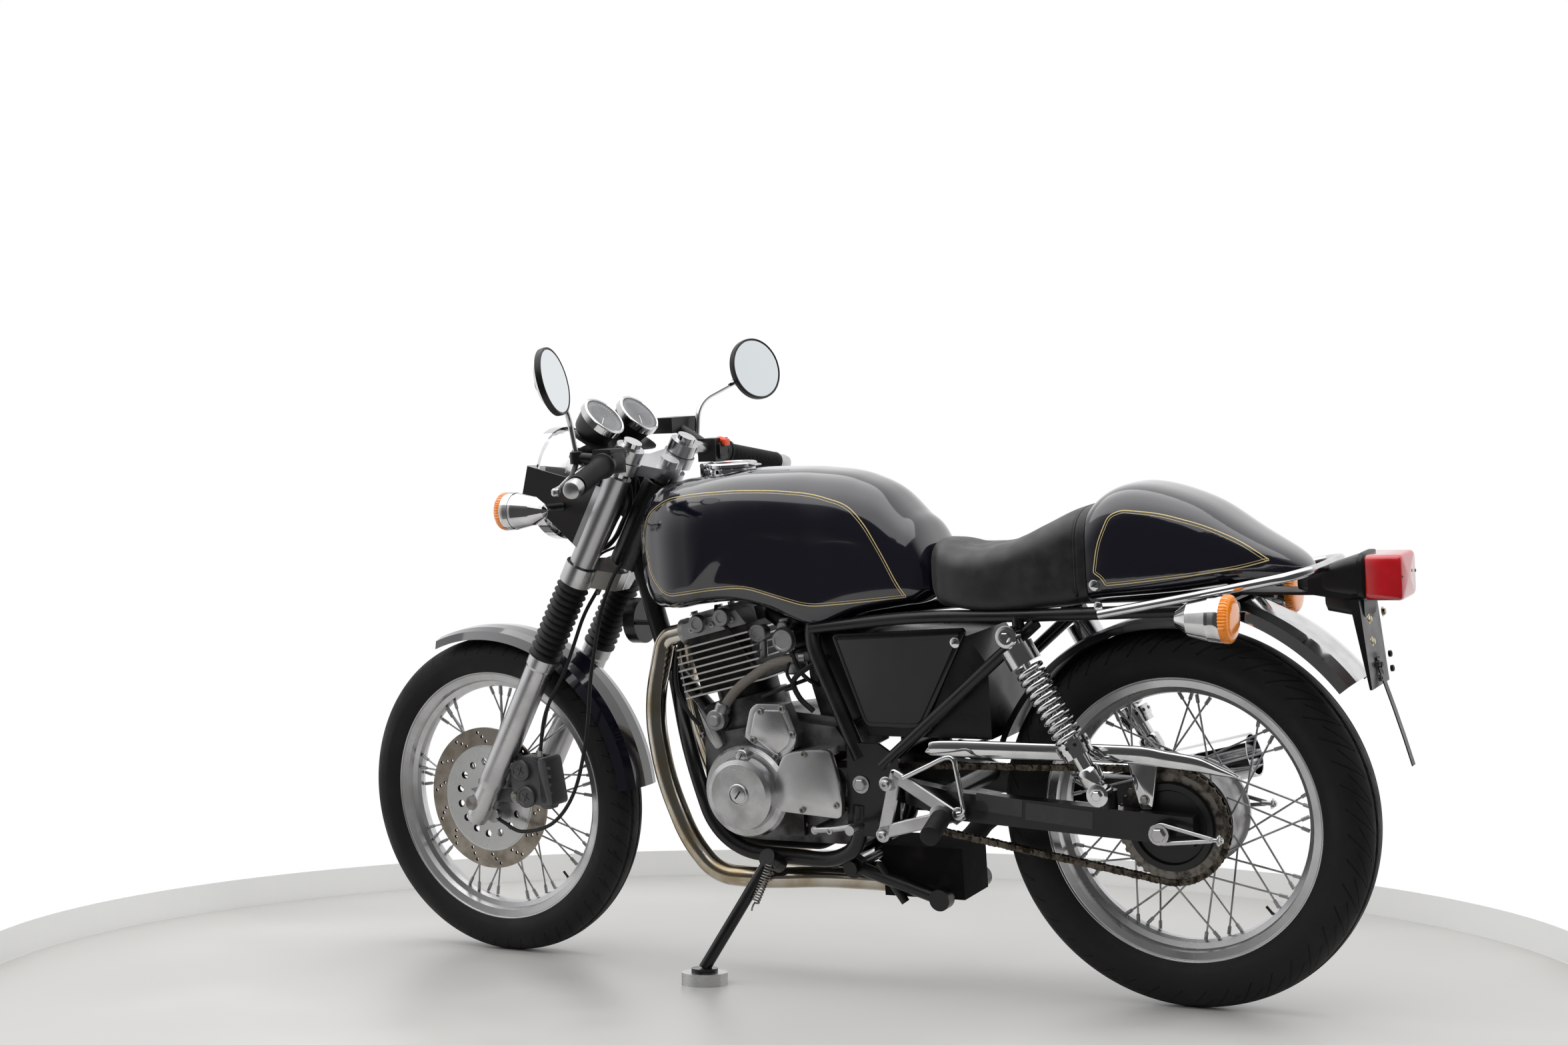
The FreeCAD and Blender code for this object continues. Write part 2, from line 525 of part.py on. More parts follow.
# Wheels
def tyre(label, half, radius, rim_half, centre):
    """A closed ring whose bead sits in the rim."""
    bottom = S.flange_radius + S.running_gap
    height = radius - bottom
    wall, seat = S.rim_wall, S.flange_radius - S.rim_seat_depth
    right = [(rim_half - 2 * wall - S.seat_gap, seat + S.seat_gap),
             (rim_half - wall - S.seat_gap, S.flange_radius + S.seat_gap)]
    right += [(half * along, bottom + height * up) for along, up in TYRE_SHARES]
    left = [(-across, up) for across, up in reversed(right[:-1])]
    return turned(label, right + left, centre)


def rim(label, half, centre):
    flange, wall = S.flange_radius, S.rim_wall
    seat, well = flange - S.rim_seat_depth, flange - S.rim_well_depth
    outer = [(half, flange), (half - wall, flange), (half - 2 * wall, seat), (half * HALF, seat),
             (half * 0.4, well + wall)]
    inner = [(half, flange - wall), (half - wall, seat - wall), (half * 0.55, seat - 2 * wall),
             (half * 0.42, well - wall), (half * 0.14, well - 2 * wall)]
    right = list(reversed(outer)) + inner
    left = [(-across, up) for across, up in reversed(right)]
    return turned(label, right + left, centre)


def spokes(name, centre, flange_y, flange_radius, rim_radius, offset):
    """Crossed spokes from both flanges of a hub to the rim, each with its nipple."""
    pieces = []
    count = int(S.spokes_per_side.value)
    for side in (1, -1):
        for number in range(count):
            step = 2 * math.pi / count
            base = step * (number + 0.25 * side)
            lead = (1 if number % 2 else -1) * step * 1.9
            near, far = base + lead * 0.55 + offset, base - lead * 0.35 + offset
            near_y = side * (flange_y + (S.spoke_radius * 2 if number % 2 else -S.spoke_radius * 2))
            start = (centre[0] + flange_radius * math.cos(near), near_y,
                     centre[2] + flange_radius * math.sin(near))
            end = (centre[0] + rim_radius * math.cos(far), side * S.spoke_rim_spread,
                   centre[2] + rim_radius * math.sin(far))
            share = S.nipple_length / rim_radius * 1.25
            seat = tuple(a + (b - a) * (1 - share) for a, b in zip(start, end))
            tag = f"{name}_{'left' if side > 0 else 'right'}_{number}"
            pieces.append(bar(tag, S.spoke_radius, start, end))
            pieces.append(bar(tag + "_nipple", S.nipple_radius, seat, end))
    return pieces


front_axle = (S.wheelbase, ZERO, S.front_tyre_radius)
rear_axle = (ZERO, ZERO, S.rear_tyre_radius)
spoke_reach = S.flange_radius - S.rim_well_depth - S.rim_wall * 2 - S.seat_gap * 2


def make_front_wheel():
    node("front_tyre", STEER, tyre("front_tyre", S.front_tyre_half, S.front_tyre_radius, S.front_rim_half, front_axle))
    node("front_rim", STEER, rim("front_rim", S.front_rim_half, front_axle))
    bore, wall = S.front_axle_radius + S.fit_gap, S.hub_flange_wall
    half, barrel, flange = S.front_hub_half, S.front_hub_radius, S.front_flange_radius
    y = S.front_flange_y
    right = [(ZERO, barrel * 0.85), (y - 2 * wall, barrel), (y - wall * HALF, flange),
             (y + wall * HALF, flange), (y + 1.2 * wall, barrel), (half, barrel), (half, bore)]
    left = [(-across, up) for across, up in reversed(right[1:])]
    hub = turned("front_hub_core", right + left, front_axle)
    lace = spokes("front_spoke", front_axle, y, flange - S.nipple_radius, spoke_reach, 0.0)
    node("front_hub", STEER, fuse("front_hub_whole", hub, *lace))
    inner = S.disc_radius - S.disc_band
    y, wall, plate = S.disc_y, S.disc_wall * HALF, S.disc_carrier_wall * HALF
    seat = S.front_hub_half + S.seat_gap
    profile = [(seat, bore + wall * 2), (seat, S.disc_bolt_radius), (y - plate, inner - plate),
               (y - wall, inner - plate), (y - wall, S.disc_radius), (y + wall, S.disc_radius),
               (y + wall, inner - plate), (y + plate, inner - plate), (y, S.disc_bolt_radius),
               (y, bore + wall * 2)]
    node("front_disc", STEER, turned("front_disc", profile, front_axle))


def make_rear_wheel():
    node("rear_tyre", STANCE, tyre("rear_tyre", S.rear_tyre_half, S.rear_tyre_radius, S.rear_rim_half, rear_axle))
    node("rear_rim", STANCE, rim("rear_rim", S.rear_rim_half, rear_axle))
    bore, half, drum, lip = S.rear_axle_radius + S.fit_gap, S.drum_half, S.drum_radius, S.drum_flange_radius
    wall = S.hub_flange_wall
    profile = [(-half, bore), (-half, lip), (-half + wall, lip), (-half + wall * 2, drum),
               (half - wall * 2, drum), (half - wall, lip), (half, lip), (half, bore)]
    hub = turned("rear_hub_core", profile, rear_axle)
    lace = spokes("rear_spoke", rear_axle, half - wall * HALF, lip - S.nipple_radius, spoke_reach, 0.1)
    node("rear_hub", STANCE, fuse("rear_hub_whole", hub, *lace))
    y, wall = S.chain_y, S.sprocket_wall * HALF
    seat = half + S.seat_gap
    tip, root_radius = S.sprocket_pitch_radius - S.running_gap, S.sprocket_pitch_radius - S.tooth_depth
    carrier = S.sprocket_carrier_radius
    profile = [(seat, bore), (seat, carrier), (y - wall, carrier), (y - wall, tip), (y + wall, tip),
               (y + wall, carrier), (y + S.sprocket_rim_wall, carrier), (y + S.sprocket_rim_wall, carrier * 0.86),
               (y + wall * 2, carrier * 0.82), (y + wall * 2, bore)]
    disc = turned("rear_sprocket_disc", profile, rear_axle)
    count = int(S.rear_teeth.value)
    gullets = []
    for number in range(count):
        angle = 2 * math.pi * (number + HALF) / count
        spot = (rear_axle[0] + S.sprocket_pitch_radius * math.cos(angle), y - wall * 2,
                rear_axle[2] + S.sprocket_pitch_radius * math.sin(angle))
        gullets.append(rod(f"gullet_{number}", S.tooth_depth * 0.68, spot, wall * 4, "y"))
    teeth = fuse("rear_gullets", *gullets)
    node("rear_sprocket", STANCE, cut("rear_sprocket_whole", disc, teeth))
    panel = -half - S.seat_gap - S.brake_panel_wall
    profile = [(panel, bore), (panel, drum * 0.5), (panel + wall * 2, drum * 0.9),
               (panel + S.brake_panel_wall, drum), (panel + S.brake_panel_wall, bore)]
    node("rear_brake_panel", STANCE, turned("rear_brake_panel", profile, rear_axle))


# Frame and suspension
def both(name, radius, points):
    """A tube and its mirror image."""
    piece = tube(name, radius, points)
    return [piece, mirror(piece)]


def fork_place(offset, y, level):
    """A place given across and along the steering axis, in the upright frame."""
    return (steer_x + offset * castor_cosine - level * castor_sine, y,
            steer_z + offset * castor_sine + level * castor_cosine)


def stand_foot_place():
    """Where the side stand's foot meets the puck, in the upright frame."""
    level = S.puck_height - S.floor_lift
    return (S.puck_x, S.puck_y * lean_cosine - level * lean_sine, S.puck_y * lean_sine + level * lean_cosine)


def along_stand_pivot(reach):
    """A place on the side stand's pivot, which is square to the leg both down and folded."""
    leg = tuple(a - b for a, b in zip(stand_foot_place(), P.stand_pivot))
    fold = P.stand_fold
    across = (leg[1] * fold[2] - leg[2] * fold[1], leg[2] * fold[0] - leg[0] * fold[2],
              leg[0] * fold[1] - leg[1] * fold[0])
    size = root(sum((a * a for a in across), ZERO))
    return tuple(place + reach * part / size for place, part in zip(P.stand_pivot, across))


def locked_place(level):
    """A place on the left fork leg's line with the bars turned to their stop."""
    back = S.leg_offset * cosine(S.steer_lock) - S.leg_spread * sine(S.steer_lock)
    out = S.leg_spread * cosine(S.steer_lock) + S.leg_offset * sine(S.steer_lock)
    return fork_place(back, out, level)


def make_frame():
    low, high = fork_place(ZERO, ZERO, S.head_tube_low), fork_place(ZERO, ZERO, S.head_tube_high)
    head = bar("head_tube", S.head_tube_radius, low, high)
    bore = bar("head_bore", S.head_tube_bore, fork_place(ZERO, ZERO, S.head_tube_low - S.stem_radius),
               fork_place(ZERO, ZERO, S.head_tube_high + S.stem_radius))
    pieces = [head, bar("backbone", S.backbone_radius, P.backbone_front, P.backbone_rear),
              bar("down_tube", S.down_tube_radius, P.down_tube_top, P.down_tube_foot)]
    start = moved(P.down_tube_foot, z=S.down_tube_radius)
    pieces += both("cradle", S.cradle_radius, [start, P.cradle_bend, P.cradle_front, P.cradle_rear,
                                               P.cradle_rise, P.cradle_end])
    pieces += both("seat_tube", S.seat_tube_radius, [P.backbone_rear, P.seat_tube_top, P.seat_tube_low])
    pieces += both("seat_rail", S.rail_radius, [P.rail_front, P.rail_mid, P.rail_shock, P.rail_rear, P.rail_tail])
    pieces += both("strut", S.strut_radius, [P.strut_top, P.strut_foot])
    pieces.append(bar("cradle_tie", S.cradle_radius, P.cradle_rear, mirror_place(P.cradle_rear)))
    strap = (S.rail_radius * 2, P.rail_tail[1] * 2, S.strap_wall)
    pieces.append(block("tail_strap", strap, P.tail_strap))
    pieces.append(bar("strut_tie", S.rail_radius * 0.7, P.strut_tie, mirror_place(P.strut_tie)))
    pieces.append(block("horn_stay", P.horn_stay_size, P.horn_stay))
    length, height = S.pivot_bolt_radius * 12, S.arm_height * 3.2
    outline = shares(FRAME_PLATE_SHARES, length, height, S.pivot_x - length * 0.44, S.pivot_z - height * 0.56)
    plate = slab("pivot_plate", "xz", outline, S.frame_plate_wall, S.frame_plate_y)
    pieces += [plate, mirror(plate)]
    boss = rod("shock_boss", S.shock_eye_radius * 0.6, moved(P.shock_top, y=P.rail_shock[1] - P.shock_top[1]),
               S.shock_y - P.rail_shock[1] - S.shock_eye_width * HALF - S.seat_gap, "y")
    drop = bar("shock_hanger", S.shock_eye_radius * 0.7, P.rail_shock,
               (P.shock_top[0], P.rail_shock[1], P.shock_top[2]))
    pieces += [boss, mirror(boss), drop, mirror(drop)]
    pieces.append(bar("stand_lug", S.stand_radius * 1.5, along_stand_pivot(-S.stand_radius * 3),
                      along_stand_pivot(-S.stand_radius - S.running_gap)))
    pivot, wide = P.centre_pivot, S.centre_stand_radius * 1.6
    pin = rod("centre_pin", S.centre_pin_radius, moved(pivot, y=-wide * 0.2), P.cradle_rear[1] - pivot[1] + wide * 0.2, "y")
    lug = rod("centre_lug", S.centre_pin_radius * 1.9, moved(pivot, y=wide * 0.8),
              P.cradle_rear[1] - pivot[1] - wide * 0.8, "y")
    pieces += [pin, mirror(pin), lug, mirror(lug)]
    reach = S.frame_plate_y + S.frame_plate_wall * HALF + S.seat_gap
    pieces.append(rod("pivot_bolt", S.pivot_bolt_radius, (S.pivot_x, -reach, S.pivot_z), reach * 2, "y"))
    node("frame", STANCE, cut("frame_bored", fuse("frame_whole", *pieces), bore))


def arm_solid():
    """One arm of the swinging fork, bent outwards past the chain."""
    y, half = S.arm_y, S.arm_width * HALF
    front, bend = S.pivot_half - half, S.pivot_x * 0.66
    outline = [(S.pivot_x, front - half), (S.pivot_x, front + half), (bend, y + half), (-S.arm_height, y + half),
               (-S.arm_height, y - half), (bend, y - half)]
    plan = slab("arm_plan", "xy", outline, S.rear_tyre_radius * 2, S.rear_tyre_radius)
    low, up = S.rear_tyre_radius, S.pivot_z
    side = [(-S.arm_height, low - S.arm_height * 0.45), (bend, (low + up) * HALF - S.arm_height * HALF),
            (S.pivot_x, up - S.arm_front_height * HALF), (S.pivot_x, up + S.arm_front_height * HALF),
            (bend, (low + up) * HALF + S.arm_height * 0.45), (-S.arm_height, low + S.arm_height * HALF)]
    view = slab("arm_side", "xz", side, S.rear_axle_half * 2, ZERO)
    arm = doc.addObject("Part::MultiCommon", "arm")
    arm.Shapes = [plan, view]
    return arm


def make_swingarm():
    arm = arm_solid()
    bracket_foot = moved(P.shock_foot, y=S.arm_y - P.shock_foot[1], z=-S.arm_height * 0.6)
    bracket = bar("shock_bracket", S.shock_eye_radius, bracket_foot, moved(P.shock_foot, y=S.arm_y - P.shock_foot[1]))
    pin = rod("shock_pin", S.shock_eye_radius * 0.6, moved(P.shock_foot, y=S.arm_y - P.shock_foot[1]),
              S.shock_y - S.arm_y - S.shock_eye_width * HALF - S.seat_gap, "y")
    tube_half = S.pivot_half
    cross = rod("pivot_tube", S.pivot_tube_radius, (S.pivot_x, -tube_half, S.pivot_z), tube_half * 2, "y")
    brace = rod("arm_brace", S.pivot_tube_radius * 0.8, (S.pivot_x * 0.72, -S.arm_y, S.pivot_z - S.arm_height * 0.3),
                S.arm_y * 2, "y")
    whole = fuse("swingarm_whole", arm, mirror(arm), bracket, mirror(bracket), pin, mirror(pin), cross, brace)
    bore = rod("pivot_bore", S.pivot_bolt_radius + S.fit_gap, (S.pivot_x, -tube_half * 2, S.pivot_z),
               tube_half * 4, "y")
    slot = rod("axle_bore", S.rear_axle_radius + S.fit_gap, (ZERO, -S.rear_axle_half, S.rear_tyre_radius),
               S.rear_axle_half * 2, "y")
    node("swingarm", STANCE, cut("swingarm_bored", whole, fuse("arm_bores", bore, slot)))
    node("rear_axle", STANCE, make_axle("rear_axle_whole", rear_axle, S.rear_axle_radius, S.rear_axle_half))


def make_axle(name, centre, radius, half):
    core = rod(name + "_core", radius, (centre[0], -half, centre[2]), half * 2, "y")
    nut = rod(name + "_nut", S.axle_nut_radius, (centre[0], half - S.axle_nut_length, centre[2]), S.axle_nut_length, "y")
    return fuse(name, core, nut, mirror(nut))


def make_shocks():
    top, foot = P.shock_top, P.shock_foot
    span = [b - a for a, b in zip(foot, top)]
    along = lambda share: tuple(a + d * share for a, d in zip(foot, span))
    eyes = [rod(f"shock_eye_{number}", S.shock_eye_radius, moved(place, y=-S.shock_eye_width * HALF),
                S.shock_eye_width, "y") for number, place in enumerate((foot, top))]
    sleeve = bar("damper_sleeve", S.damper_radius, along(0.042), along(0.36))
    collar = bar("damper_collar", S.spring_radius * 1.12, along(0.27), along(0.33))
    rod_piece = bar("damper_rod", S.damper_rod_radius, along(0.3), top)
    cap = bar("damper_cap", S.spring_radius * 1.1, along(0.82), along(0.93))
    cap_top = bar("damper_cap_top", S.damper_radius, along(0.92), along(0.96), S.shock_eye_radius)
    damper = fuse("damper", *eyes, sleeve, collar, rod_piece, cap, cap_top)
    node("shock_dampers", STANCE, pair("shock_dampers_pair", damper))
    start, end = 0.331, 0.819
    turns = S.spring_turns
    length = (top[2] - foot[2]) / cosine(0) * (end - start)
    slant = vector(top) - vector(foot)
    height = slant.Length * (end - start) - float(S.spring_wire_radius) * 2
    helix = doc.addObject("Part::Helix", "spring_line")
    helix.Pitch = height / turns.value
    helix.Height = height
    bind(helix, Radius=S.spring_radius - S.spring_wire_radius)
    wire_ring = doc.addObject("Part::Circle", "spring_ring")
    bind(wire_ring, Radius=S.spring_wire_radius)
    wire_ring.Placement = Placement(Vector(float(S.spring_radius - S.spring_wire_radius), 0, 0),
                                    Rotation(Vector(1, 0, 0), 90))
    coil = doc.addObject("Part::Sweep", "spring_coil")
    coil.Sections = [wire_ring]
    coil.Spine = (helix, ["Edge1"])
    coil.Solid, coil.Frenet = True, True
    holder = group("spring_left", coil)
    base = vector(foot) + slant * start + slant.normalize() * float(S.spring_wire_radius)
    holder.Placement = Placement(base, Rotation(Vector(0, 0, 1), slant))
    node("shock_springs", STANCE, pair("shock_springs_pair", holder))


# Fork, clamps and what they carry
def make_fork():
    q, y, r = S.leg_offset, S.leg_spread, S.slider_radius
    low, high = S.slider_foot, S.slider_top
    profile = [(low, ZERO), (low, r * 0.72), (low + r * HALF, r * 0.86), (low + r * 3, r * 0.86),
               (low + r * 3.6, r), (high - r, r), (high - r * 0.8, r * 1.08), (high, r * 1.08), (high, ZERO)]
    slider = turned("slider_core", profile, (q, y, ZERO), "z")
    lug = block("axle_lug", P.axle_lug_size, (S.fork_offset, y, ZERO))
    hole = rod("slider_bore", S.front_axle_radius + S.fit_gap, (S.fork_offset, y - r * 2, ZERO), r * 4, "y")
    face = rod("slider_spot_face", S.axle_nut_radius + S.seat_gap,
               (S.fork_offset, S.front_axle_half - S.axle_nut_length - S.seat_gap, ZERO), r * 2, "y")
    whole = fuse("slider_solid", slider, lug)
    node("fork_sliders", FORK, pair("sliders", cut("slider", whole, hole, face)))
    start = high + S.seat_gap
    stanchion = rod("stanchion", S.stanchion_radius, (q, y, start), S.leg_top - start)
    node("fork_tubes", FORK, pair("fork_tubes_pair", stanchion))
    bore, waist, lip = S.stanchion_radius + S.seat_gap, S.gaiter_waist_radius, S.gaiter_radius
    low, high, count = start + S.seat_gap, S.gaiter_top, int(S.gaiter_pleats.value)
    pitch = (high - low) / count
    outer = [(low, lip - S.fit_gap)]
    for number in range(count):
        outer += [(low + pitch * (number + 0.35), lip), (low + pitch * (number + 0.85), waist)]
    profile = [(low, bore)] + outer + [(high, waist), (high, bore)]
    node("fork_gaiters", FORK, pair("gaiters", turned("gaiter", profile, (q, y, ZERO), "z")))
    clamps = []
    for name, low, high, back in (("lower", S.lower_clamp_low, S.lower_clamp_high, 0.45),
                                  ("top", S.top_clamp_low, S.top_clamp_high, 0.55)):
        boss = rod(name + "_boss", S.clamp_boss_radius, (q, y, low), high - low)
        level, height = (low + high) * HALF, high - low
        width = S.clamp_boss_radius
        bridge = slab(name + "_bridge", "xy",
                      [(-width * back, -width * 0.8), (q * 0.5, -y), (q + width * 0.8, -y), (q + width * 0.3, ZERO),
                       (q + width * 0.8, y), (q * 0.5, y), (-width * back, width * 0.8)], height, level)
        hole = rod(name + "_hole", S.stanchion_radius + S.fit_gap, (q, y, low - width), height + width * 2)
        clamps.append(cut(name + "_clamp", fuse(name + "_solid", boss, mirror(boss), bridge),
                          fuse(name + "_holes", hole, mirror(hole))))
    stem = rod("steering_stem", S.stem_radius, (ZERO, ZERO, S.lower_clamp_low), S.top_clamp_high - S.lower_clamp_low)
    nut = rod("stem_nut", S.stem_radius * 1.3, (ZERO, ZERO, S.top_clamp_high - S.fit_gap), S.stem_radius)
    node("fork_clamps", FORK, fuse("clamps_whole", *clamps, stem, nut))
    axle_centre = (S.fork_offset, ZERO, ZERO)
    node("front_axle", FORK, make_axle("front_axle_whole", axle_centre, S.front_axle_radius, S.front_axle_half))
    shell = rod("ear_shell", S.ear_radius, (q, y, S.ear_low), S.ear_high - S.ear_low)
    reach = (S.lamp_x - steer_x) * castor_cosine + (S.lamp_z - steer_z) * castor_sine
    wall = S.rim_wall
    arm_y = S.lamp_radius + S.seat_gap + wall * HALF
    arm = slab("ear_arm", "xz", [(q, S.ear_low + r), (reach, S.ear_arm_level - r), (reach + r * HALF, S.ear_arm_level + r),
                                 (q, S.ear_high - r)], wall, arm_y)
    hole = rod("ear_hole", S.stanchion_radius + S.fit_gap, (q, y, S.ear_low - r), S.ear_high - S.ear_low + r * 2)
    node("headlight_ears", FORK, pair("ears", cut("ear", fuse("ear_solid", shell, arm), hole)))


def make_headlight():
    centre = (S.lamp_x, ZERO, S.lamp_z)
    radius, depth, lip = S.lamp_radius, S.lamp_depth, S.lamp_rim_width
    inner = radius * 0.93
    profile = [(-depth, ZERO), (-depth * 0.98, radius * 0.3), (-depth * 0.86, radius * 0.62),
               (-depth * 0.6, radius * 0.84), (-depth * 0.3, radius * 0.94), (-lip, radius * 0.95), (-lip, radius),
               (ZERO, radius), (ZERO, inner), (-lip * HALF, inner), (-lip * HALF, ZERO)]
    node("headlight", STEER, turned("headlight_shell", profile, centre, "x"))
    seat, bulge = -lip * HALF + S.seat_gap, S.lamp_glass_bulge
    glass = inner - S.seat_gap
    profile = [(seat, ZERO), (seat, glass), (ZERO, glass), (bulge * 0.4, glass * 0.84), (bulge * 0.8, glass * 0.5),
               (bulge, glass * 0.2), (bulge, ZERO)]
    node("headlight_glass", STEER, turned("headlight_glass", profile, centre, "x"))
    radius, depth = S.gauge_radius, S.gauge_depth
    profile = [(-depth, ZERO), (-depth, radius * 0.8), (-depth * 0.3, radius * 0.94), (-depth * 0.28, radius),
               (ZERO, radius), (ZERO, radius * 0.9), (-depth * 0.06, radius * 0.88), (-depth * 0.06, ZERO)]
    body = turned("gauge_body", profile, (S.gauge_offset, S.gauge_spread, S.gauge_level), "z")
    plate_z = S.gauge_level - depth - S.rim_wall * HALF
    tray = block("gauge_tray", (radius * 2, (S.gauge_spread + radius) * 2, S.rim_wall),
                 (S.gauge_offset - radius * 0.3, ZERO, plate_z))
    near = S.leg_offset + S.clamp_boss_radius * 0.3 + S.seat_gap + S.rim_wall
    far = S.gauge_offset - radius
    stay = block("gauge_stay", (far - near, S.stem_radius * 2, S.rim_wall), ((far + near) * HALF, ZERO, plate_z))
    node("gauges", FORK, fuse("gauges_whole", body, mirror(body), tray, stay))


def make_bars():
    root_place, tip = P.clip_on_root, P.bar_tip
    span = [b - a for a, b in zip(root_place, tip)]
    along = lambda share: tuple(a + d * share for a, d in zip(root_place, span))
    clamp_level = S.top_clamp_high + S.running_gap
    ring_low = fork_place(S.leg_offset, S.leg_spread, clamp_level)
    ring_high = fork_place(S.leg_offset, S.leg_spread, clamp_level + S.clamp_boss_radius * 0.8)
    collar = bar("clip_on_collar", S.clamp_boss_radius * 0.9, ring_low, ring_high)
    inner = bar("clip_on_bore", S.stanchion_radius + S.fit_gap, fork_place(S.leg_offset, S.leg_spread, S.top_clamp_low),
                fork_place(S.leg_offset, S.leg_spread, S.leg_top + S.clamp_boss_radius))
    handle = bar("clip_on_bar", S.bar_radius, along(0), tip)
    node("handlebars", STEER, pair("handlebars_pair", cut("clip_on", fuse("clip_on_solid", collar, handle), inner)))
    bore = bar("grip_bore", S.bar_radius + S.fit_gap, along(0.2), along(1.2))
    sleeve = bar("grip_sleeve", S.grip_radius, along(0.45), along(0.985))
    node("grips", STEER, pair("grips_pair", cut("grip", sleeve, bore)))
    length = root(span[0] * span[0] + span[1] * span[1] + span[2] * span[2])
    start = S.seat_gap / length + 1
    end = bar("bar_weight", S.bar_end_radius, along(start), along(S.bar_end_length / length + 1), S.bar_end_radius * 0.8)
    switch = block("switch_box", P.switch_size, along(0.325))
    perch = fuse("perch_whole", bar("perch", S.bar_radius * 0.9, along(0.3), moved(P.mirror_base, z=-S.bar_radius)),
                 rod("mirror_boss", S.bar_radius, moved(P.mirror_base, z=-S.bar_radius * 2),
                     S.bar_radius * 2 - S.seat_gap))
    lever = tube("hand_lever", S.bar_radius * 0.45, [moved(P.mirror_base, z=-S.bar_radius * 2),
                                                    moved(along(0.6), x=S.grip_radius * 3.2, z=-S.bar_radius),
                                                    moved(along(0.97), x=S.grip_radius * 2.6, z=-S.bar_radius)])
    controls = cut("controls_left", fuse("controls_solid", switch, perch, lever), bore)
    vessel = block("reservoir_box", P.reservoir_size, mirror_place(P.reservoir))
    column = bar("reservoir_foot", S.bar_radius, mirror_place(along(0.3)), mirror_place(P.reservoir))
    right = cut("controls_right", fuse("controls_right_solid", mirror(controls), column, vessel), mirror(bore))
    node("bar_controls", STEER, group("bar_controls_pair", controls, right, end, mirror(end)))
    stalk = tube("mirror_stalk", S.mirror_stalk_radius, [moved(P.mirror_base, z=S.running_gap * 1.2), P.mirror_elbow, P.mirror_neck])
    facing = Vector(-1, -S.mirror_inward_share.value, S.mirror_upward_share.value).normalize()
    centre = vector(P.mirror_centre)
    radius, depth = S.mirror_radius, S.mirror_depth
    back = tuple(Size.of(number) for number in centre - facing * float(depth))
    face = tuple(Size.of(number) for number in centre)
    dish = bar("mirror_dish", radius * 0.7, back, face, radius)
    neck = bar("mirror_neck", S.mirror_stalk_radius * 1.4, P.mirror_neck, back)
    node("mirrors", STEER, pair("mirrors_pair", fuse("mirror_whole", stalk, dish, neck)))


def make_front_fender():
    radius, half, wall = S.fender_radius, S.fender_half, S.fender_wall
    skirt = S.fender_skirt
    outer = [(ZERO, radius), (half * 0.5, radius - skirt * 0.1), (half * 0.82, radius - skirt * 0.36),
             (half, radius - skirt)]
    inner = [(across - wall * (1 if across.value > 0 else 0), up - wall) for across, up in outer]
    inner[-1] = (half - wall, radius - skirt)
    right = outer + list(reversed(inner[1:]))
    left = [(-across, up) for across, up in [inner[0]] + inner[1:]] + [(-across, up) for across, up in reversed(outer[1:])]
    guard = turned("front_fender_arc", right + left, front_axle, "y", S.fender_sweep, ZERO)
    guard.setExpression("Placement", placement_text(axis=(0, 1, 0), angle=-(S.fender_front_angle - 90) - S.fender_sweep, about=front_axle))
    gap = S.leg_spread - S.slider_radius - S.seat_gap
    centre = fork_place(S.leg_offset, (half + gap) * HALF - wall * HALF, radius - skirt * 1.55)
    stay = block("fender_stay", (S.slider_radius, gap - half + wall, skirt * 1.15), centre, (0, 1, 0), -S.castor_angle)
    held = group("front_fender_held", guard)
    node("front_fender", STEER, fuse("front_fender_whole", held, stay, mirror(stay)))


def make_lamps():
    for label, frame, centre, stalk, radius, back, facing in (
            ("front_indicators", STEER, P.front_lamp, P.front_stalk, S.gauge_radius * 0.77, 70, 1),
            ("rear_indicators", STANCE, P.rear_lamp, P.rear_stalk, S.gauge_radius * 0.86, 50, -1)):
        depth = S.gauge_depth
        profile = [(depth * 0.8 * facing, ZERO), (depth * 0.8 * facing, radius * 0.8), (depth * 0.55 * facing, radius),
                   (depth * 0.1 * facing, radius), (-depth * 0.6 * facing, radius * 0.78),
                   (-depth * 1.05 * facing, radius * 0.35), (-depth * 1.2 * facing, ZERO)]
        body = turned(label + "_body", profile, centre, "x")
        arm = bar(label + "_stalk", S.bar_radius * 0.8, stalk, centre)
        node(label, frame, pair(label + "_pair", fuse(label + "_whole", body, arm)))


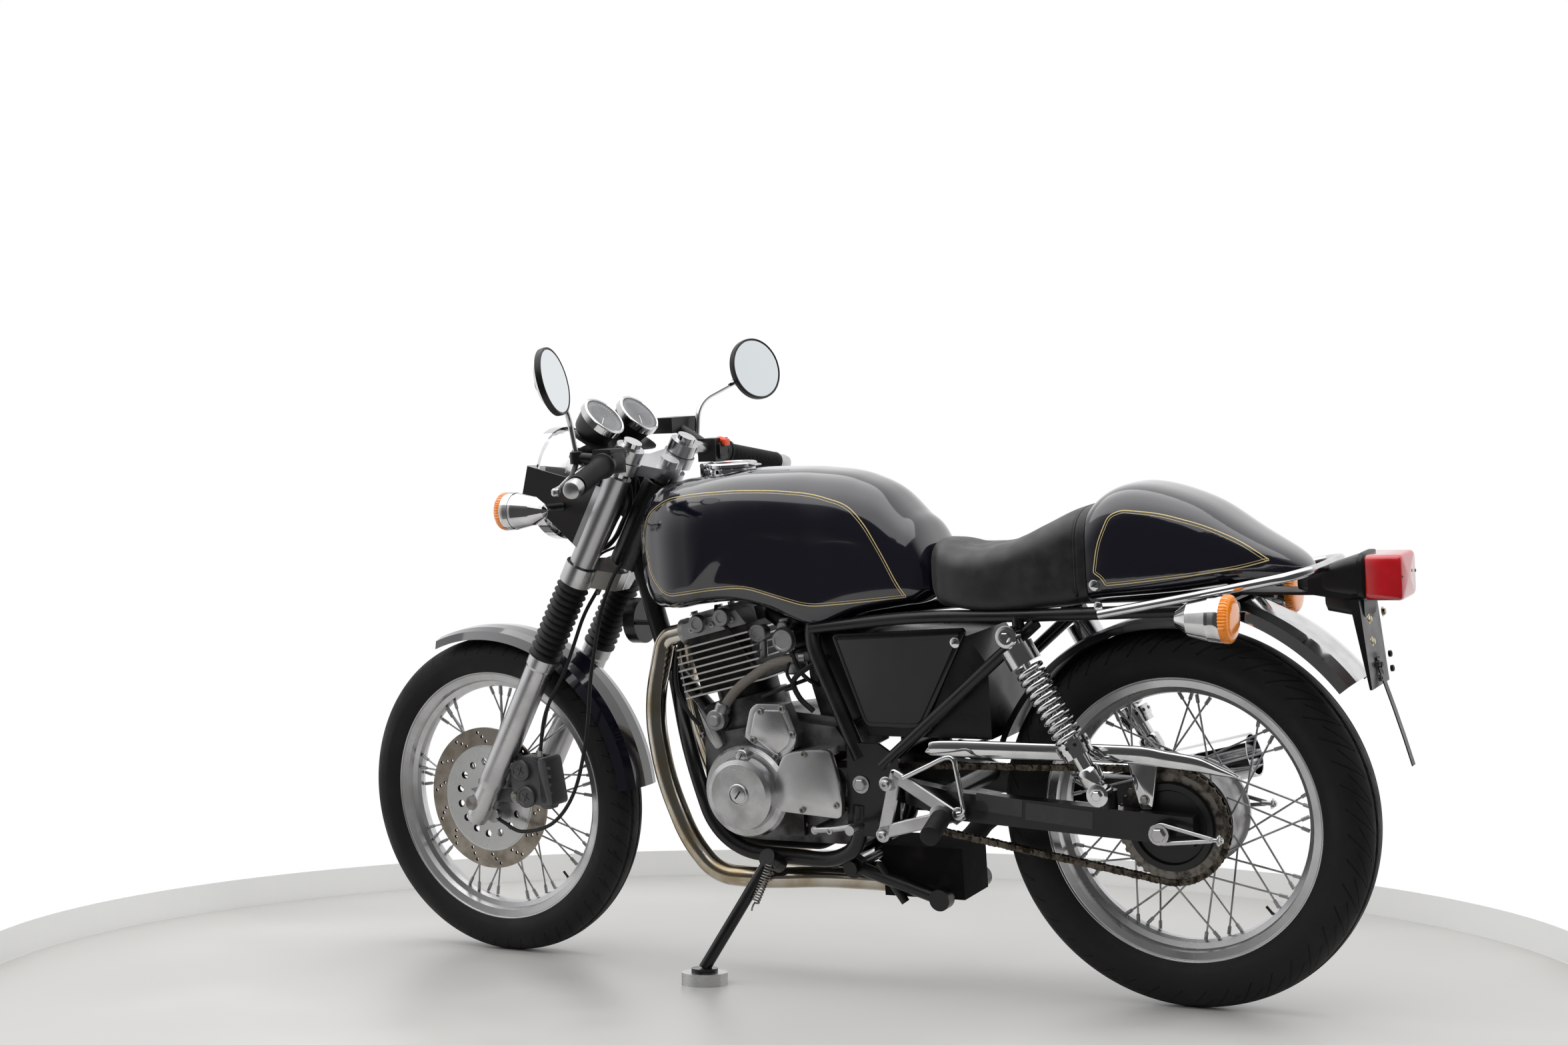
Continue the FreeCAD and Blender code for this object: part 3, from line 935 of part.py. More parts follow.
def make_brake():
    x, _, z = P.caliper_middle
    gap = S.disc_wall * HALF + S.running_gap
    reach = S.disc_radius * 0.42
    outline = [(x - reach, z - reach * 0.9), (x + reach * 0.75, z - reach * 0.75), (x + reach * 0.9, z + reach * 0.3),
               (x + reach * 0.55, z + reach * 0.95), (x - reach * 0.5, z + reach * 0.9)]
    width = S.clamp_boss_radius * 2.1
    outer = slab("caliper_block", "xz", outline, width, S.disc_y + width * 0.2)
    slot_wall = gap * 2
    slot = turned("caliper_slot", [(S.disc_y - gap, ZERO), (S.disc_y - gap, S.disc_radius + gap),
                                   (S.disc_y + gap, S.disc_radius + gap), (S.disc_y + gap, ZERO)], front_axle)
    deep, inner = S.disc_carrier_wall, S.disc_radius - S.disc_band
    carrier = turned("caliper_carrier_gap", [(S.disc_y - deep, ZERO), (S.disc_y - deep, inner), (S.disc_y + deep, inner),
                                             (S.disc_y + deep, ZERO)], front_axle)
    clear = turned("caliper_clear", [(ZERO, S.flange_radius + gap), (ZERO, S.flange_radius * 0.75),
                                     (S.front_rim_half + gap, S.flange_radius * 0.75),
                                     (S.front_rim_half + gap, S.flange_radius + gap)], front_axle)
    leg = bar("caliper_leg_gap", S.slider_radius * 1.1 + S.seat_gap, fork_place(S.leg_offset, S.leg_spread, S.slider_foot),
              fork_place(S.leg_offset, S.leg_spread, S.slider_top))
    hose = [P.hose_top, P.hose_bend, P.hose_mid, P.hose_low, P.hose_end]
    node("brake_hose", STEER, tube("brake_hose", S.hose_radius, hose))
    node("front_caliper", STEER, cut("caliper_whole", outer, slot, carrier, clear, leg))


# Engine
def make_engine():
    length, height = S.crank_x * 0.42, S.crank_z * 0.66
    x, z = S.pivot_x + S.pivot_tube_radius + S.running_gap, S.crank_z - height * 0.42
    side, half = S.crankcase_side, S.crankcase_half
    case = slab("crankcase_block", "xz", shares(CRANKCASE_SHARES, length, height, x, z), side * 2, ZERO)
    middle_case = slab("crankcase_middle", "xz", shares(MIDDLE_CASE_SHARES, length, height, x, z), half * 2, ZERO)
    sprocket = (S.front_sprocket_x, S.front_sprocket_z)
    shaft = rod("output_shaft", S.rear_axle_radius, (sprocket[0], ZERO, sprocket[1]),
                S.chain_y + S.sprocket_wall, "y")
    foot_low = (S.crank_x, ZERO, S.crank_z)
    foot_high = (S.crank_x + S.barrel_low * sine(S.cylinder_tilt), ZERO,
                 S.crank_z + S.barrel_low * cosine(S.cylinder_tilt))
    base = bar("barrel_foot", S.barrel_radius * 1.2, foot_low, foot_high)
    teeth = rod("front_sprocket", S.front_sprocket_radius - S.tooth_depth * HALF,
                (sprocket[0], S.chain_y - S.sprocket_wall * HALF, sprocket[1]), S.sprocket_wall, "y")
    clutch_face = -side - S.seat_gap
    pocket = rod("clutch_pocket", S.clutch_radius + S.seat_gap, (S.clutch_x, clutch_face - S.clutch_depth, S.clutch_z),
                 S.clutch_depth + S.seat_gap, "y")
    whole = fuse("crankcase_solid", case, middle_case, shaft, teeth, base)
    node("crankcase", STANCE, cut("crankcase_whole", whole, pocket))
    radius, depth, step = S.flywheel_radius, S.flywheel_depth, S.flywheel_step
    face = half + S.seat_gap
    profile = [(face, ZERO), (face, radius), (face + depth - step * 1.4, radius), (face + depth - step, radius * 0.94),
               (face + depth - step, radius * 0.8), (face + depth - step * 0.2, radius * 0.76),
               (face + depth, radius * 0.66), (face + depth, ZERO)]
    centre = (S.flywheel_x, ZERO, S.crank_z)
    node("flywheel_cover", STANCE, turned("flywheel_cover", profile, centre))
    keep = rod("flywheel_gap", radius + S.seat_gap, centre, depth * 4, "y")
    outline = shares(STARTER_COVER_SHARES, radius * 1.28, radius * 1.26, S.flywheel_x - radius * 1.2,
                     S.crank_z + radius * 0.62)
    starter = slab("starter_cover_slab", "xz", outline, S.cover_wall, face + S.cover_wall * HALF)
    starter = cut("starter_cover_whole", starter, keep)
    wall = S.sprocket_cover_wall * HALF
    out = S.frame_plate_y + S.frame_plate_wall + S.running_gap
    wide, tall = radius * 1.5, radius * 1.44
    left, low = S.flywheel_x - radius - wide * 0.8, S.crank_z - radius * 0.46
    outline = shares(SPROCKET_COVER_SHARES, wide, tall, left, low)
    cover = slab("sprocket_cover_slab", "xz", outline, wall, out + wall * HALF)
    outline = shares(COVER_SKIRT_SHARES, wide, tall, left, low)
    skirt = slab("sprocket_cover_skirt", "xz", outline, out - face + wall * HALF, (out + face + wall * HALF) * HALF)
    whole = fuse("sprocket_cover_solid", cover, skirt)
    keep = rod("sprocket_cover_gap", radius + S.seat_gap, centre, depth * 4, "y")
    starter_gap = slab("starter_gap", "xz", shares(STARTER_COVER_SHARES, radius * 1.3, radius * 1.28,
                       S.flywheel_x - radius * 1.21, S.crank_z + radius * 0.61), S.cover_wall * 4, face)
    sprocket_side = cut("sprocket_cover_whole", whole, keep, starter_gap)
    radius, depth = S.clutch_radius, S.clutch_depth
    face = clutch_face
    profile = [(face, ZERO), (face, radius), (face - depth * 0.7, radius), (face - depth, radius * 0.8),
               (face - depth, ZERO)]
    clutch = turned("clutch_cover", profile, (S.clutch_x, ZERO, S.clutch_z))
    node("engine_covers", STANCE, group("engine_covers_whole", starter, sprocket_side, clutch))


def make_cylinder():
    fins = []
    half, wide = S.fin_half_length, S.fin_half_width
    count = int(S.fin_count.value)
    for number in range(count):
        level = S.fin_low + S.fin_pitch * number
        taper = 1 - 0.12 * max(0, number - count / 2) / (count / 2)
        fins.append(block(f"fin_{number}", (half * 2 * taper, wide * 2, S.fin_wall), (ZERO, ZERO, level)))
    barrel = block("barrel", (S.barrel_radius * 2.2, S.barrel_radius * 2, S.head_low - S.fin_low + S.fin_wall),
                   (ZERO, ZERO, (S.head_low + S.fin_low - S.fin_wall) * HALF))
    skirt = rod("barrel_skirt", S.barrel_radius, (ZERO, ZERO, S.barrel_low + S.seat_gap), S.fin_low - S.barrel_low)
    bore_low = S.barrel_low + S.seat_gap
    node("cylinder", BARREL, fuse("cylinder_whole", barrel, skirt, *fins))
    low, high = S.head_low + S.seat_gap, S.head_high
    outline = [(-S.head_half_length, low), (S.head_half_length, low), (S.head_half_length * 0.9, high - S.fin_pitch),
               (-S.head_half_length * 0.8, high - S.fin_pitch)]
    lower = slab("head_lower", "xz", outline, S.head_half_width * 2, ZERO)
    outline = [(-S.cam_cover_half_length, high - S.fin_pitch * 2), (S.cam_cover_half_length, high - S.fin_pitch * 2),
               (S.cam_cover_half_length * 0.8, high), (-S.cam_cover_half_length * 0.7, high)]
    upper = slab("head_upper", "xz", outline, S.cam_cover_half_width * 2, ZERO)
    port = rod("exhaust_port", S.header_radius * 1.3, (S.head_half_length * 0.925, P.header_port[1], S.port_level),
               S.port_reach - S.head_half_length * 0.925, "x")
    node("cylinder_head", BARREL, fuse("head_whole", lower, upper, port, mirror(port)))


def barrel_place(along, y, level):
    """A place given along and up the tilted cylinder, in the upright frame."""
    tilt_sine, tilt_cosine = sine(S.cylinder_tilt), cosine(S.cylinder_tilt)
    return (S.crank_x + along * tilt_cosine + level * tilt_sine, y,
            S.crank_z - along * tilt_sine + level * tilt_cosine)


def make_intake():
    x, y, z = P.carburettor
    radius = S.clamp_boss_radius
    body = rod("carb_body", radius * 0.9, (x - radius * 1.2, ZERO, z), radius * 2.4, "x")
    chamber = rod("carb_chamber", radius * 0.85, (x, ZERO, z - radius * 1.8), radius * 3.2)
    side = rod("carb_side", radius * 0.8, (x, ZERO, z), radius * 2.6, "y")
    bell = rod("intake_bell", radius * 1.1, (x - radius * 2.6, ZERO, z), radius * 1.42, "x")
    flange = S.axle_nut_length * 1.8
    spot = barrel_place(-S.head_half_length - S.seat_gap - flange * HALF, ZERO, S.port_level)
    seat = block("intake_flange", (flange, radius * 1.5, radius * 0.85), spot, (0, 1, 0), S.cylinder_tilt)
    rubber = bar("intake_rubber", radius * 0.7, (x, ZERO, z), spot, radius * 0.4)
    node("carburettor", STANCE, fuse("carburettor_whole", body, chamber, side, bell, seat, rubber))


def make_exhaust():
    points = [P.header_port, P.header_shoulder, P.header_knee, P.header_shin, P.header_ankle, P.header_heel,
              P.header_sole, P.header_toe, P.header_end]
    node("headers", STANCE, pair("headers_pair", tube("header", S.header_radius, points)))
    size = (S.collector_length, S.collector_width, S.collector_height)
    box = block("collector_box", size, P.collector_middle)
    link = tube("link_pipe", S.link_pipe_radius, [P.link_start, P.link_bend, P.link_turn, P.silencer_front])
    node("collector", STANCE, fuse("collector_whole", box, link))
    front, tip = P.silencer_front, P.silencer_tip
    span = [b - a for a, b in zip(front, tip)]
    along = lambda share: tuple(a + d * share for a, d in zip(front, span))
    radius = S.silencer_radius
    cone = bar("silencer_cone", S.link_pipe_radius * 1.15, along(0.01), along(0.22), radius)
    can = bar("silencer_can", radius, along(0.22), along(1.0))
    hanger = rod("silencer_hanger", S.bar_radius * HALF, P.silencer_hanger, P.silencer_hanger_reach[1], "y")
    hollow = bar("silencer_hollow", radius - S.silencer_wall, along(0.9), along(1.1))
    node("silencer", STANCE, cut("silencer_whole", fuse("silencer_solid", cone, can, hanger), hollow))


# Bodywork
def make_body():
    nose_x = P.backbone_front[0] - S.head_tube_radius
    tank_tail = nose_x - S.tank_length
    tank = skin("tank_skin", TANK_SHARES, S.tank_length, S.tank_height, S.tank_half_width, tank_tail, S.tank_base_z)
    top, rear = moved(P.backbone_front, z=S.backbone_radius + S.body_gap), moved(P.backbone_rear, z=S.backbone_radius + S.body_gap)
    slope = (top[2] - rear[2]) / (top[0] - rear[0])
    nose, tail = nose_x + S.tank_length * 0.1, tank_tail - S.tank_length * 0.1
    height = lambda x: rear[2] + (x - rear[0]) * slope
    tunnel = slab("tank_tunnel", "xz", [(tail, S.tank_base_z - S.tank_height * 0.2), (nose, S.tank_base_z - S.tank_height * 0.2),
                                        (nose, height(nose)), (tail, height(tail))], S.tunnel_half * 2, ZERO)
    inner, low = P.seat_tube_top[1] + S.seat_tube_radius + S.body_gap, S.tank_base_z - S.tank_height * 0.2
    rear_edge, front_edge = tank_tail + S.tank_length * 0.264, P.seat_tube_top[0] + S.seat_tube_radius * 2.6
    roof = P.backbone_rear[2] - S.seat_tube_radius * HALF
    pocket = slab("seat_tube_pocket", "xz", [(rear_edge, low), (front_edge, low), (front_edge, roof),
                                             (rear_edge, roof)], inner * 2, ZERO)
    wide = S.head_tube_radius + S.body_gap
    low = fork_place(-wide, ZERO, S.lower_clamp_low - S.clamp_boss_radius * 3)
    high = fork_place(-wide, ZERO, S.leg_top)
    notch = slab("head_notch", "xz", [(low[0], low[2]), (low[0] + wide * 3, low[2]), (low[0] + wide * 3, high[2]),
                                      (high[0], high[2])], wide * 2, ZERO)
    dent = bar("fork_dent", S.ear_radius + S.swing_gap, locked_place(S.ear_low), locked_place(S.leg_top))
    shell = cut("tank_shell", tank, tunnel, pocket, notch, dent, mirror(dent))
    x, y, top = P.filler
    deep, lid, pin = S.filler_depth, S.filler_lid_radius, S.filler_pin_radius
    neck = rod("filler_neck", S.filler_radius, (x, y, top - deep), deep)
    hinge_x, hinge_z, reach = x + lid + pin, top + S.filler_lid_wall * HALF, S.filler_knuckle * HALF
    lug = rod("filler_lug", pin, (hinge_x, reach + S.seat_gap, hinge_z), reach, "y")
    foot = slab("filler_lug_foot", "xz", [(hinge_x - pin * 3, top - deep), (hinge_x + pin, top - deep),
                                          (hinge_x + pin, hinge_z), (hinge_x - pin, hinge_z),
                                          (hinge_x - pin, top - pin * HALF), (hinge_x - pin * 3, top - pin * HALF)],
                reach, reach * 1.5 + S.seat_gap)
    node("fuel_tank", STANCE, fuse("fuel_tank_whole", shell, neck, lug, foot, mirror(lug), mirror(foot)))
    cap = rod("filler_cap", lid, (x, y, top + S.seat_gap), S.filler_lid_wall)
    knuckle = rod("filler_knuckle", pin, (hinge_x, -reach, hinge_z), reach * 2, "y")
    bridge = block("filler_bridge", (pin * 3, reach * 2, S.filler_lid_wall * HALF),
                   (hinge_x - pin * 1.5, y, hinge_z + S.seat_gap))
    node("filler_lid", STANCE, fuse("filler_lid_whole", cap, knuckle, bridge))
    seat_length = tank_tail - S.body_gap * 2 - S.seat_rear_x
    seat = skin("seat_skin", SEAT_SHARES, seat_length, S.seat_height, S.seat_half_width,
                S.seat_rear_x + S.seat_gap, S.seat_base_z)
    snug = S.rail_radius + S.running_gap * 1.2
    rests = [bar("seat_rest", snug, P.rail_mid, P.rail_shock), bar("seat_rest_rear", snug, P.rail_shock, P.rail_rear)]
    rests += [mirror(rest) for rest in rests]
    node("seat", STANCE, cut("seat_whole", seat, *rests))
    node("seat_cowl", STANCE, skin("cowl_skin", COWL_SHARES, S.cowl_length, S.cowl_height, S.cowl_half_width, S.cowl_tail_x, S.cowl_base_z))
    corner, size = P.side_cover_corner, P.side_cover_size
    cover = slab("side_cover", "xz", shares(SIDE_COVER_SHARES, size[0], size[2], corner[0], corner[2]),
                 size[1], corner[1])
    node("side_covers", STANCE, pair("side_covers_pair", cover))


def fender(label, radius, half, wall, skirt, start, sweep):
    """A rear wheel cover: a channel turned about the axle from one angle through another."""
    outer = [(half, radius - skirt), (half * 0.9, radius - skirt * 0.3), (half * 0.5, radius - skirt * 0.05)]
    inner = [(half * 0.5, radius - skirt * 0.05 - wall), (half * 0.9 - wall, radius - skirt * 0.3 - wall),
             (half - wall, radius - skirt)]
    profile = outer + [(-across, up) for across, up in reversed(outer)] + [(-across, up) for across, up in reversed(inner)] + inner
    piece = turned(label, profile, rear_axle, "y", sweep)
    piece.setExpression("Placement", placement_text(axis=(0, 1, 0), angle=start, about=rear_axle))
    return piece


def make_tail():
    wall, skirt = S.fender_wall, S.fender_skirt
    node("rear_fender", STANCE, fender("rear_fender", S.rear_fender_radius, S.rear_fender_half, wall, skirt,
                                       -S.fender_rear_angle, S.rear_fender_sweep))
    inner = fender("inner_fender", S.inner_fender_radius, S.inner_fender_half, wall, skirt * 0.7,
                   S.inner_fender_angle, S.inner_fender_sweep)
    corner, size = P.battery_corner, P.battery_size
    outline = shares(BATTERY_SHARES, size[0], size[2], corner[0], corner[2])
    battery = slab("battery_box", "xz", outline, size[1], ZERO)
    node("inner_panels", STANCE, group("inner_panels_whole", inner, battery))
    housing, size = P.tail_housing, P.tail_housing_size
    step = size[2] * HALF
    body = slab("tail_block", "xz", [(housing[0] - size[0] * HALF, housing[2] - step * 1.5),
                                     (housing[0] + size[0] * 0.1, housing[2] - step * 1.4),
                                     (housing[0] + size[0] * HALF, housing[2] - step),
                                     (housing[0] + size[0] * HALF, housing[2] + step * 0.6),
                                     (housing[0] + size[0] * 0.1, housing[2] + step),
                                     (housing[0] - size[0] * HALF, housing[2] + step * 2.8)], size[1], ZERO)
    strap_top = P.tail_strap[2] + S.strap_wall * HALF + S.seat_gap
    near, far = P.tail_strap[0] + S.rail_radius, housing[0] + size[0] * 0.4
    arm = block("tail_arm", (near - far, size[1] * 0.8, S.strap_wall), ((near + far) * HALF, ZERO, strap_top + S.strap_wall * HALF))
    node("tail_light", STANCE, fuse("tail_light_whole", body, arm))
    lens = P.tail_lens_size
    lens_x = housing[0] - (size[0] + lens[0]) * HALF - S.seat_gap
    node("tail_lens", STANCE, block("tail_lens_block", lens, (lens_x, ZERO, housing[2] + step * 0.7)))
    rail = tube("grab_rail", S.guard_rail_radius, [P.grab_front, P.grab_mid, P.grab_corner, P.grab_back,
                                                  mirror_place(P.grab_back), mirror_place(P.grab_corner),
                                                  mirror_place(P.grab_mid), mirror_place(P.grab_front)])
    node("grab_rail", STANCE, rail)
    top = housing[2] - step * 1.5 - S.seat_gap
    size = P.plate_size
    back, drop = housing[0] - P.tail_housing_size[0] * HALF + size[0] * 2, size[2]
    plate = slab("plate_bracket", "xz", [(back + size[0] * 4, top), (back, top), (back - size[0] * 4, top - drop),
                                         (back - size[0] * 3, top - drop)], size[1], ZERO)
    node("plate_bracket", STANCE, plate)


def make_chain():
    rear, front = S.sprocket_pitch_radius, S.front_sprocket_radius
    far_x, far_z = S.front_sprocket_x, S.front_sprocket_z - S.rear_tyre_radius
    distance = math.hypot(float(far_x), float(far_z))
    tilt = math.atan2(float(far_z), float(far_x))
    spread = math.acos((float(rear) - float(front)) / distance)

    def loop(grow):
        spots = {}
        low = float(S.chain_y - S.chain_half_width)
        axle = Vector(0, low, float(S.rear_tyre_radius))
        for name, centre, radius in (("rear", axle, float(rear) + grow),
                                     ("front", axle + Vector(float(far_x), 0, float(far_z)), float(front) + grow)):
            for side in (1, -1):
                angle = tilt + side * spread
                spots[name, side] = centre + Vector(math.cos(angle), 0, math.sin(angle)) * radius
            back = tilt + (math.pi if name == "rear" else 0)
            spots[name, 0] = centre + Vector(math.cos(back), 0, math.sin(back)) * radius
        return Part.Wire([Part.LineSegment(spots["rear", 1], spots["front", 1]).toShape(),
                          Part.Arc(spots["front", 1], spots["front", 0], spots["front", -1]).toShape(),
                          Part.LineSegment(spots["front", -1], spots["rear", -1]).toShape(),
                          Part.Arc(spots["rear", -1], spots["rear", 0], spots["rear", 1]).toShape()])

    outer, inner = loop(float(S.chain_half_height)), loop(-float(S.running_gap) * 0.5)
    band = Part.Face(outer).cut(Part.Face(inner))
    solid = band.extrude(Vector(0, 2 * float(S.chain_half_width), 0))
    piece = doc.addObject("Part::Feature", "chain_band")
    piece.Shape = solid
    node("chain", STANCE, piece)


def make_stands():
    pivot, foot = P.stand_pivot, stand_foot_place()
    pad = doc.addObject("Part::Cylinder", "stand_foot")
    bind(pad, Radius=S.stand_foot_radius, Height=S.stand_foot_wall)
    pad.setExpression("Placement", placement_text(foot, (1, 0, 0), S.lean_angle))
    top = moved(foot, y=S.stand_foot_wall * 0.9 * lean_sine, z=S.stand_foot_wall * 0.9)
    leg = bar("stand_leg", S.stand_radius, pivot, top)
    eye = bar("stand_eye", S.stand_radius * 1.5, along_stand_pivot(-S.stand_radius), along_stand_pivot(S.stand_radius))
    node("side_stand", STANCE, fuse("side_stand_whole", pad, leg, eye))
    node("stand_puck", FLOOR, rod("puck", S.puck_radius, (S.puck_x, S.puck_y, ZERO), S.puck_height))
    pivot, foot, radius = P.centre_pivot, P.centre_foot, S.centre_stand_radius
    leg = bar("centre_leg", radius, pivot, foot)
    wide = radius * 1.6
    eye = rod("centre_eye", S.centre_eye_radius, moved(pivot, y=-wide * HALF), wide, "y")
    bore = rod("centre_bore", S.centre_pin_radius + S.fit_gap, moved(pivot, y=-wide * 0.25), wide, "y")
    sole = rod("centre_sole", wide, moved(foot, y=-radius), radius * 2, "y")
    cross = rod("centre_cross", radius * 0.66, moved(mirror_place(pivot), y=wide * 0.4), pivot[1] * 2 - wide * 0.8, "y")
    tang = bar("centre_tang", radius * 0.66, P.tang_root, P.tang_tip)
    whole = fuse("centre_stand_solid", leg, mirror(leg), eye, mirror(eye), cross, sole, mirror(sole), tang)
    node("centre_stand", STANCE, cut("centre_stand_whole", whole, bore, mirror(bore)))


def make_foot_controls():
    corner, size = P.foot_corner, P.foot_size
    outline = shares(FOOT_BRACKET_SHARES, size[0], size[2], corner[0], corner[2])
    plate = slab("foot_plate", "xz", outline, size[1], corner[1])
    window = slab("foot_window", "xz", shares(FOOT_WINDOW_SHARES, size[0], size[2], corner[0], corner[2]),
                  size[1] * 2, corner[1])
    plate = cut("foot_plate_open", plate, window)
    peg = bar("peg", S.peg_radius, P.peg_root, P.peg_tip)
    out = S.frame_plate_y + S.frame_plate_wall * HALF + S.seat_gap
    spacers = [rod(f"foot_spacer_{number}", S.axle_nut_radius * HALF, (spot[0], out, spot[2]), spot[1] - out, "y")
               for number, spot in enumerate((P.foot_bolt_low, P.foot_bolt_high))]
    node("footrest_brackets", STANCE, pair("footrest_brackets_pair", fuse("footrest_whole", plate, peg, *spacers)))


def make_foot_levers():
    shaft, lift = P.shift_shaft, S.lever_radius * HALF
    start = S.crankcase_side + S.seat_gap
    pieces = [rod("shift_shaft", S.lever_radius * 1.3, (shaft[0], start, shaft[2]), shaft[1] + lift - start, "y"),
              tube("shift_lever", S.lever_radius, [shaft, P.shift_bend, P.shift_toe]),
              rod("shift_peg", S.lever_radius * 1.6, P.shift_toe, S.toe_peg_length, "y")]
    pivot, toe = P.brake_pivot, P.brake_toe
    face = P.foot_corner[1] + P.foot_size[1] * HALF + S.seat_gap
    pieces += [rod("brake_pivot", S.lever_radius * 1.6, (pivot[0], pivot[1] - lift, pivot[2]), -face - pivot[1] + lift, "y"),
               tube("brake_lever", S.lever_radius, [pivot, P.brake_bend, toe]),
               rod("brake_pad", S.lever_radius * 1.8, moved(toe, y=-S.toe_peg_length), S.toe_peg_length, "y")]
    shift = fuse("shift_whole", *pieces[:3])
    node("foot_levers", STANCE, group("foot_levers_whole", shift, fuse("brake_whole", *pieces[3:])))


def make_guard():
    corner, size = P.guard_corner, P.guard_size
    outline = shares(GUARD_SHARES, size[0], size[2], corner[0], corner[2])
    guard = slab("chain_guard_plate", "xz", outline, size[1], corner[1])
    wide = size[0] * 0.025
    foot = slab("chain_guard_foot", "xz", [(P.guard_foot[0] - wide, P.guard_foot[2]), (P.guard_foot[0] + wide * HALF, P.guard_foot[2]),
                                           (P.guard_foot[0] + wide * 2, corner[2] + size[2] * HALF),
                                           (P.guard_foot[0] - wide * 2, corner[2] + size[2] * HALF)], size[1], corner[1])
    node("chain_guard", STANCE, fuse("chain_guard_whole", guard, foot))


def make_small():
    back = P.horn_stay[0] + P.horn_stay_size[0] * HALF + S.seat_gap
    node("horn", STANCE, rod("horn_disc", S.gauge_radius, (back, P.horn[1], P.horn[2]), S.gauge_depth * HALF, "x"))


make_front_wheel()
make_rear_wheel()
make_frame()
make_swingarm()
make_shocks()
make_fork()
make_headlight()
make_bars()
make_front_fender()
make_lamps()
make_brake()
make_engine()
make_cylinder()
make_intake()
make_exhaust()
make_body()
make_tail()
make_chain()
make_stands()
make_foot_controls()
make_foot_levers()
make_guard()
make_small()
doc.recompute()

faults = [f"{item.Label}: {item.State}" for item in doc.Objects
          if "Invalid" in item.State or "Error" in item.State]
faults += [f"{label}: bad shape" for label, piece in NODES.items()
           if piece.Shape.isNull() or not piece.Shape.isValid() or not piece.Shape.Solids]
if faults:
    raise SystemExit("Not built: " + "; ".join(faults))

os.makedirs("parts", exist_ok=True)
for label, piece in NODES.items():
    piece.Shape.exportStep(f"parts/{label}.step")
    print(label, len(piece.Shape.Solids), "solids", round(piece.Shape.Volume / 1000), "cm3")
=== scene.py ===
# %% [markdown]
# # A cafe racer, dressed over its CAD solids
#
# The solids come in as a fixed frame: they are the right size and stand in the right place.
# This file gives them their finishes and adds what solids are too plain for, such as tread,
# stitched leather, gold lines and dial faces. Each step first says what the real piece is.

# %% Load the frame
import math

import bpy
import numpy as np
from mathutils import Matrix, Vector
from mathutils.bvhtree import BVHTree


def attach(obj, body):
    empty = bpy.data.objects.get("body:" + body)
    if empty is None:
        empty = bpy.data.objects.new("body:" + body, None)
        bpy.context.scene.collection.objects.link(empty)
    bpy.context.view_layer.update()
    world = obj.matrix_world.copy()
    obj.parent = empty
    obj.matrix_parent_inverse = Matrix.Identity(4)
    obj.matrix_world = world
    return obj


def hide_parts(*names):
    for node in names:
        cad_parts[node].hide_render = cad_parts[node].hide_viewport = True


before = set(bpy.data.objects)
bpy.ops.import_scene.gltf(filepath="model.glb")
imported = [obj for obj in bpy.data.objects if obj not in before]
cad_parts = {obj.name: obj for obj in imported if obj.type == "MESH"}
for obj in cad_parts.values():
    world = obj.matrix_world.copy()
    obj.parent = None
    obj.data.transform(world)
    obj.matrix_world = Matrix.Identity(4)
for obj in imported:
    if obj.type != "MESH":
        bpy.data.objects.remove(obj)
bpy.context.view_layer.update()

# %% [markdown]
# ## Where things are
#
# It is hard to think in the coordinates of a machine that leans on its stand with its bars
# turned. It is easy in four simple frames: the upright motorcycle, the steered parts, the fork
# leg and the cylinder. Each is a rotation and a shift, so one 4 by 4 matrix carries an array of
# points in millimetres to where they stand, in metres.

# %% Frames
LEAN, STEER, CASTOR, TILT = (math.radians(angle) for angle in (7.7, -3, 30, 13.5))
WHEELBASE, FRONT_RADIUS, REAR_RADIUS, FORK_OFFSET = 1405.0, 309.5, 327.6, 48.0
HEAD = Vector((WHEELBASE - FORK_OFFSET * math.cos(CASTOR), 0, FRONT_RADIUS - FORK_OFFSET * math.sin(CASTOR)))
CENTRE = Vector(((WHEELBASE + FRONT_RADIUS - 391) / 2, 1115 * math.sin(LEAN), -0.58))
FRONT_AXLE = (WHEELBASE, 0, FRONT_RADIUS)
REAR_AXLE = (0, 0, REAR_RADIUS)


def about(point, axis, angle):
    """Turns about an axis through a point."""
    turn = Matrix.Rotation(angle, 4, Vector(axis))
    return Matrix.Translation(Vector(point)) @ turn @ Matrix.Translation(-Vector(point))


UPRIGHT = Matrix.Scale(0.001, 4) @ Matrix.Translation(-CENTRE) @ Matrix.Rotation(-LEAN, 4, "X")
STEERED = UPRIGHT @ about(HEAD, (-math.sin(CASTOR), 0, math.cos(CASTOR)), STEER)
FORK = STEERED @ Matrix.Translation(HEAD) @ Matrix.Rotation(-CASTOR, 4, "Y")
BARREL = UPRIGHT @ Matrix.Translation(Vector((800, 0, 363))) @ Matrix.Rotation(TILT, 4, "Y")


def carried(points, place):
    """Points in millimetres in one of the frames, as metres where they stand."""
    points = np.asarray(points, float)
    matrix = np.array(place)
    return points @ matrix[:3, :3].T + matrix[:3, 3]


print("steering head at", [round(v, 3) for v in UPRIGHT @ HEAD])

# %% [markdown]
# ## The camera, the floor and the light
#
# The photograph was taken with a longish lens at tank height, from the left and behind. The
# camera's place was worked out from the wheels and the floor. The room is white with a pale
# concrete floor, so the backdrop is white only to the eye and to mirrors, and three large soft
# lamps light the motorcycle itself at a plain level.

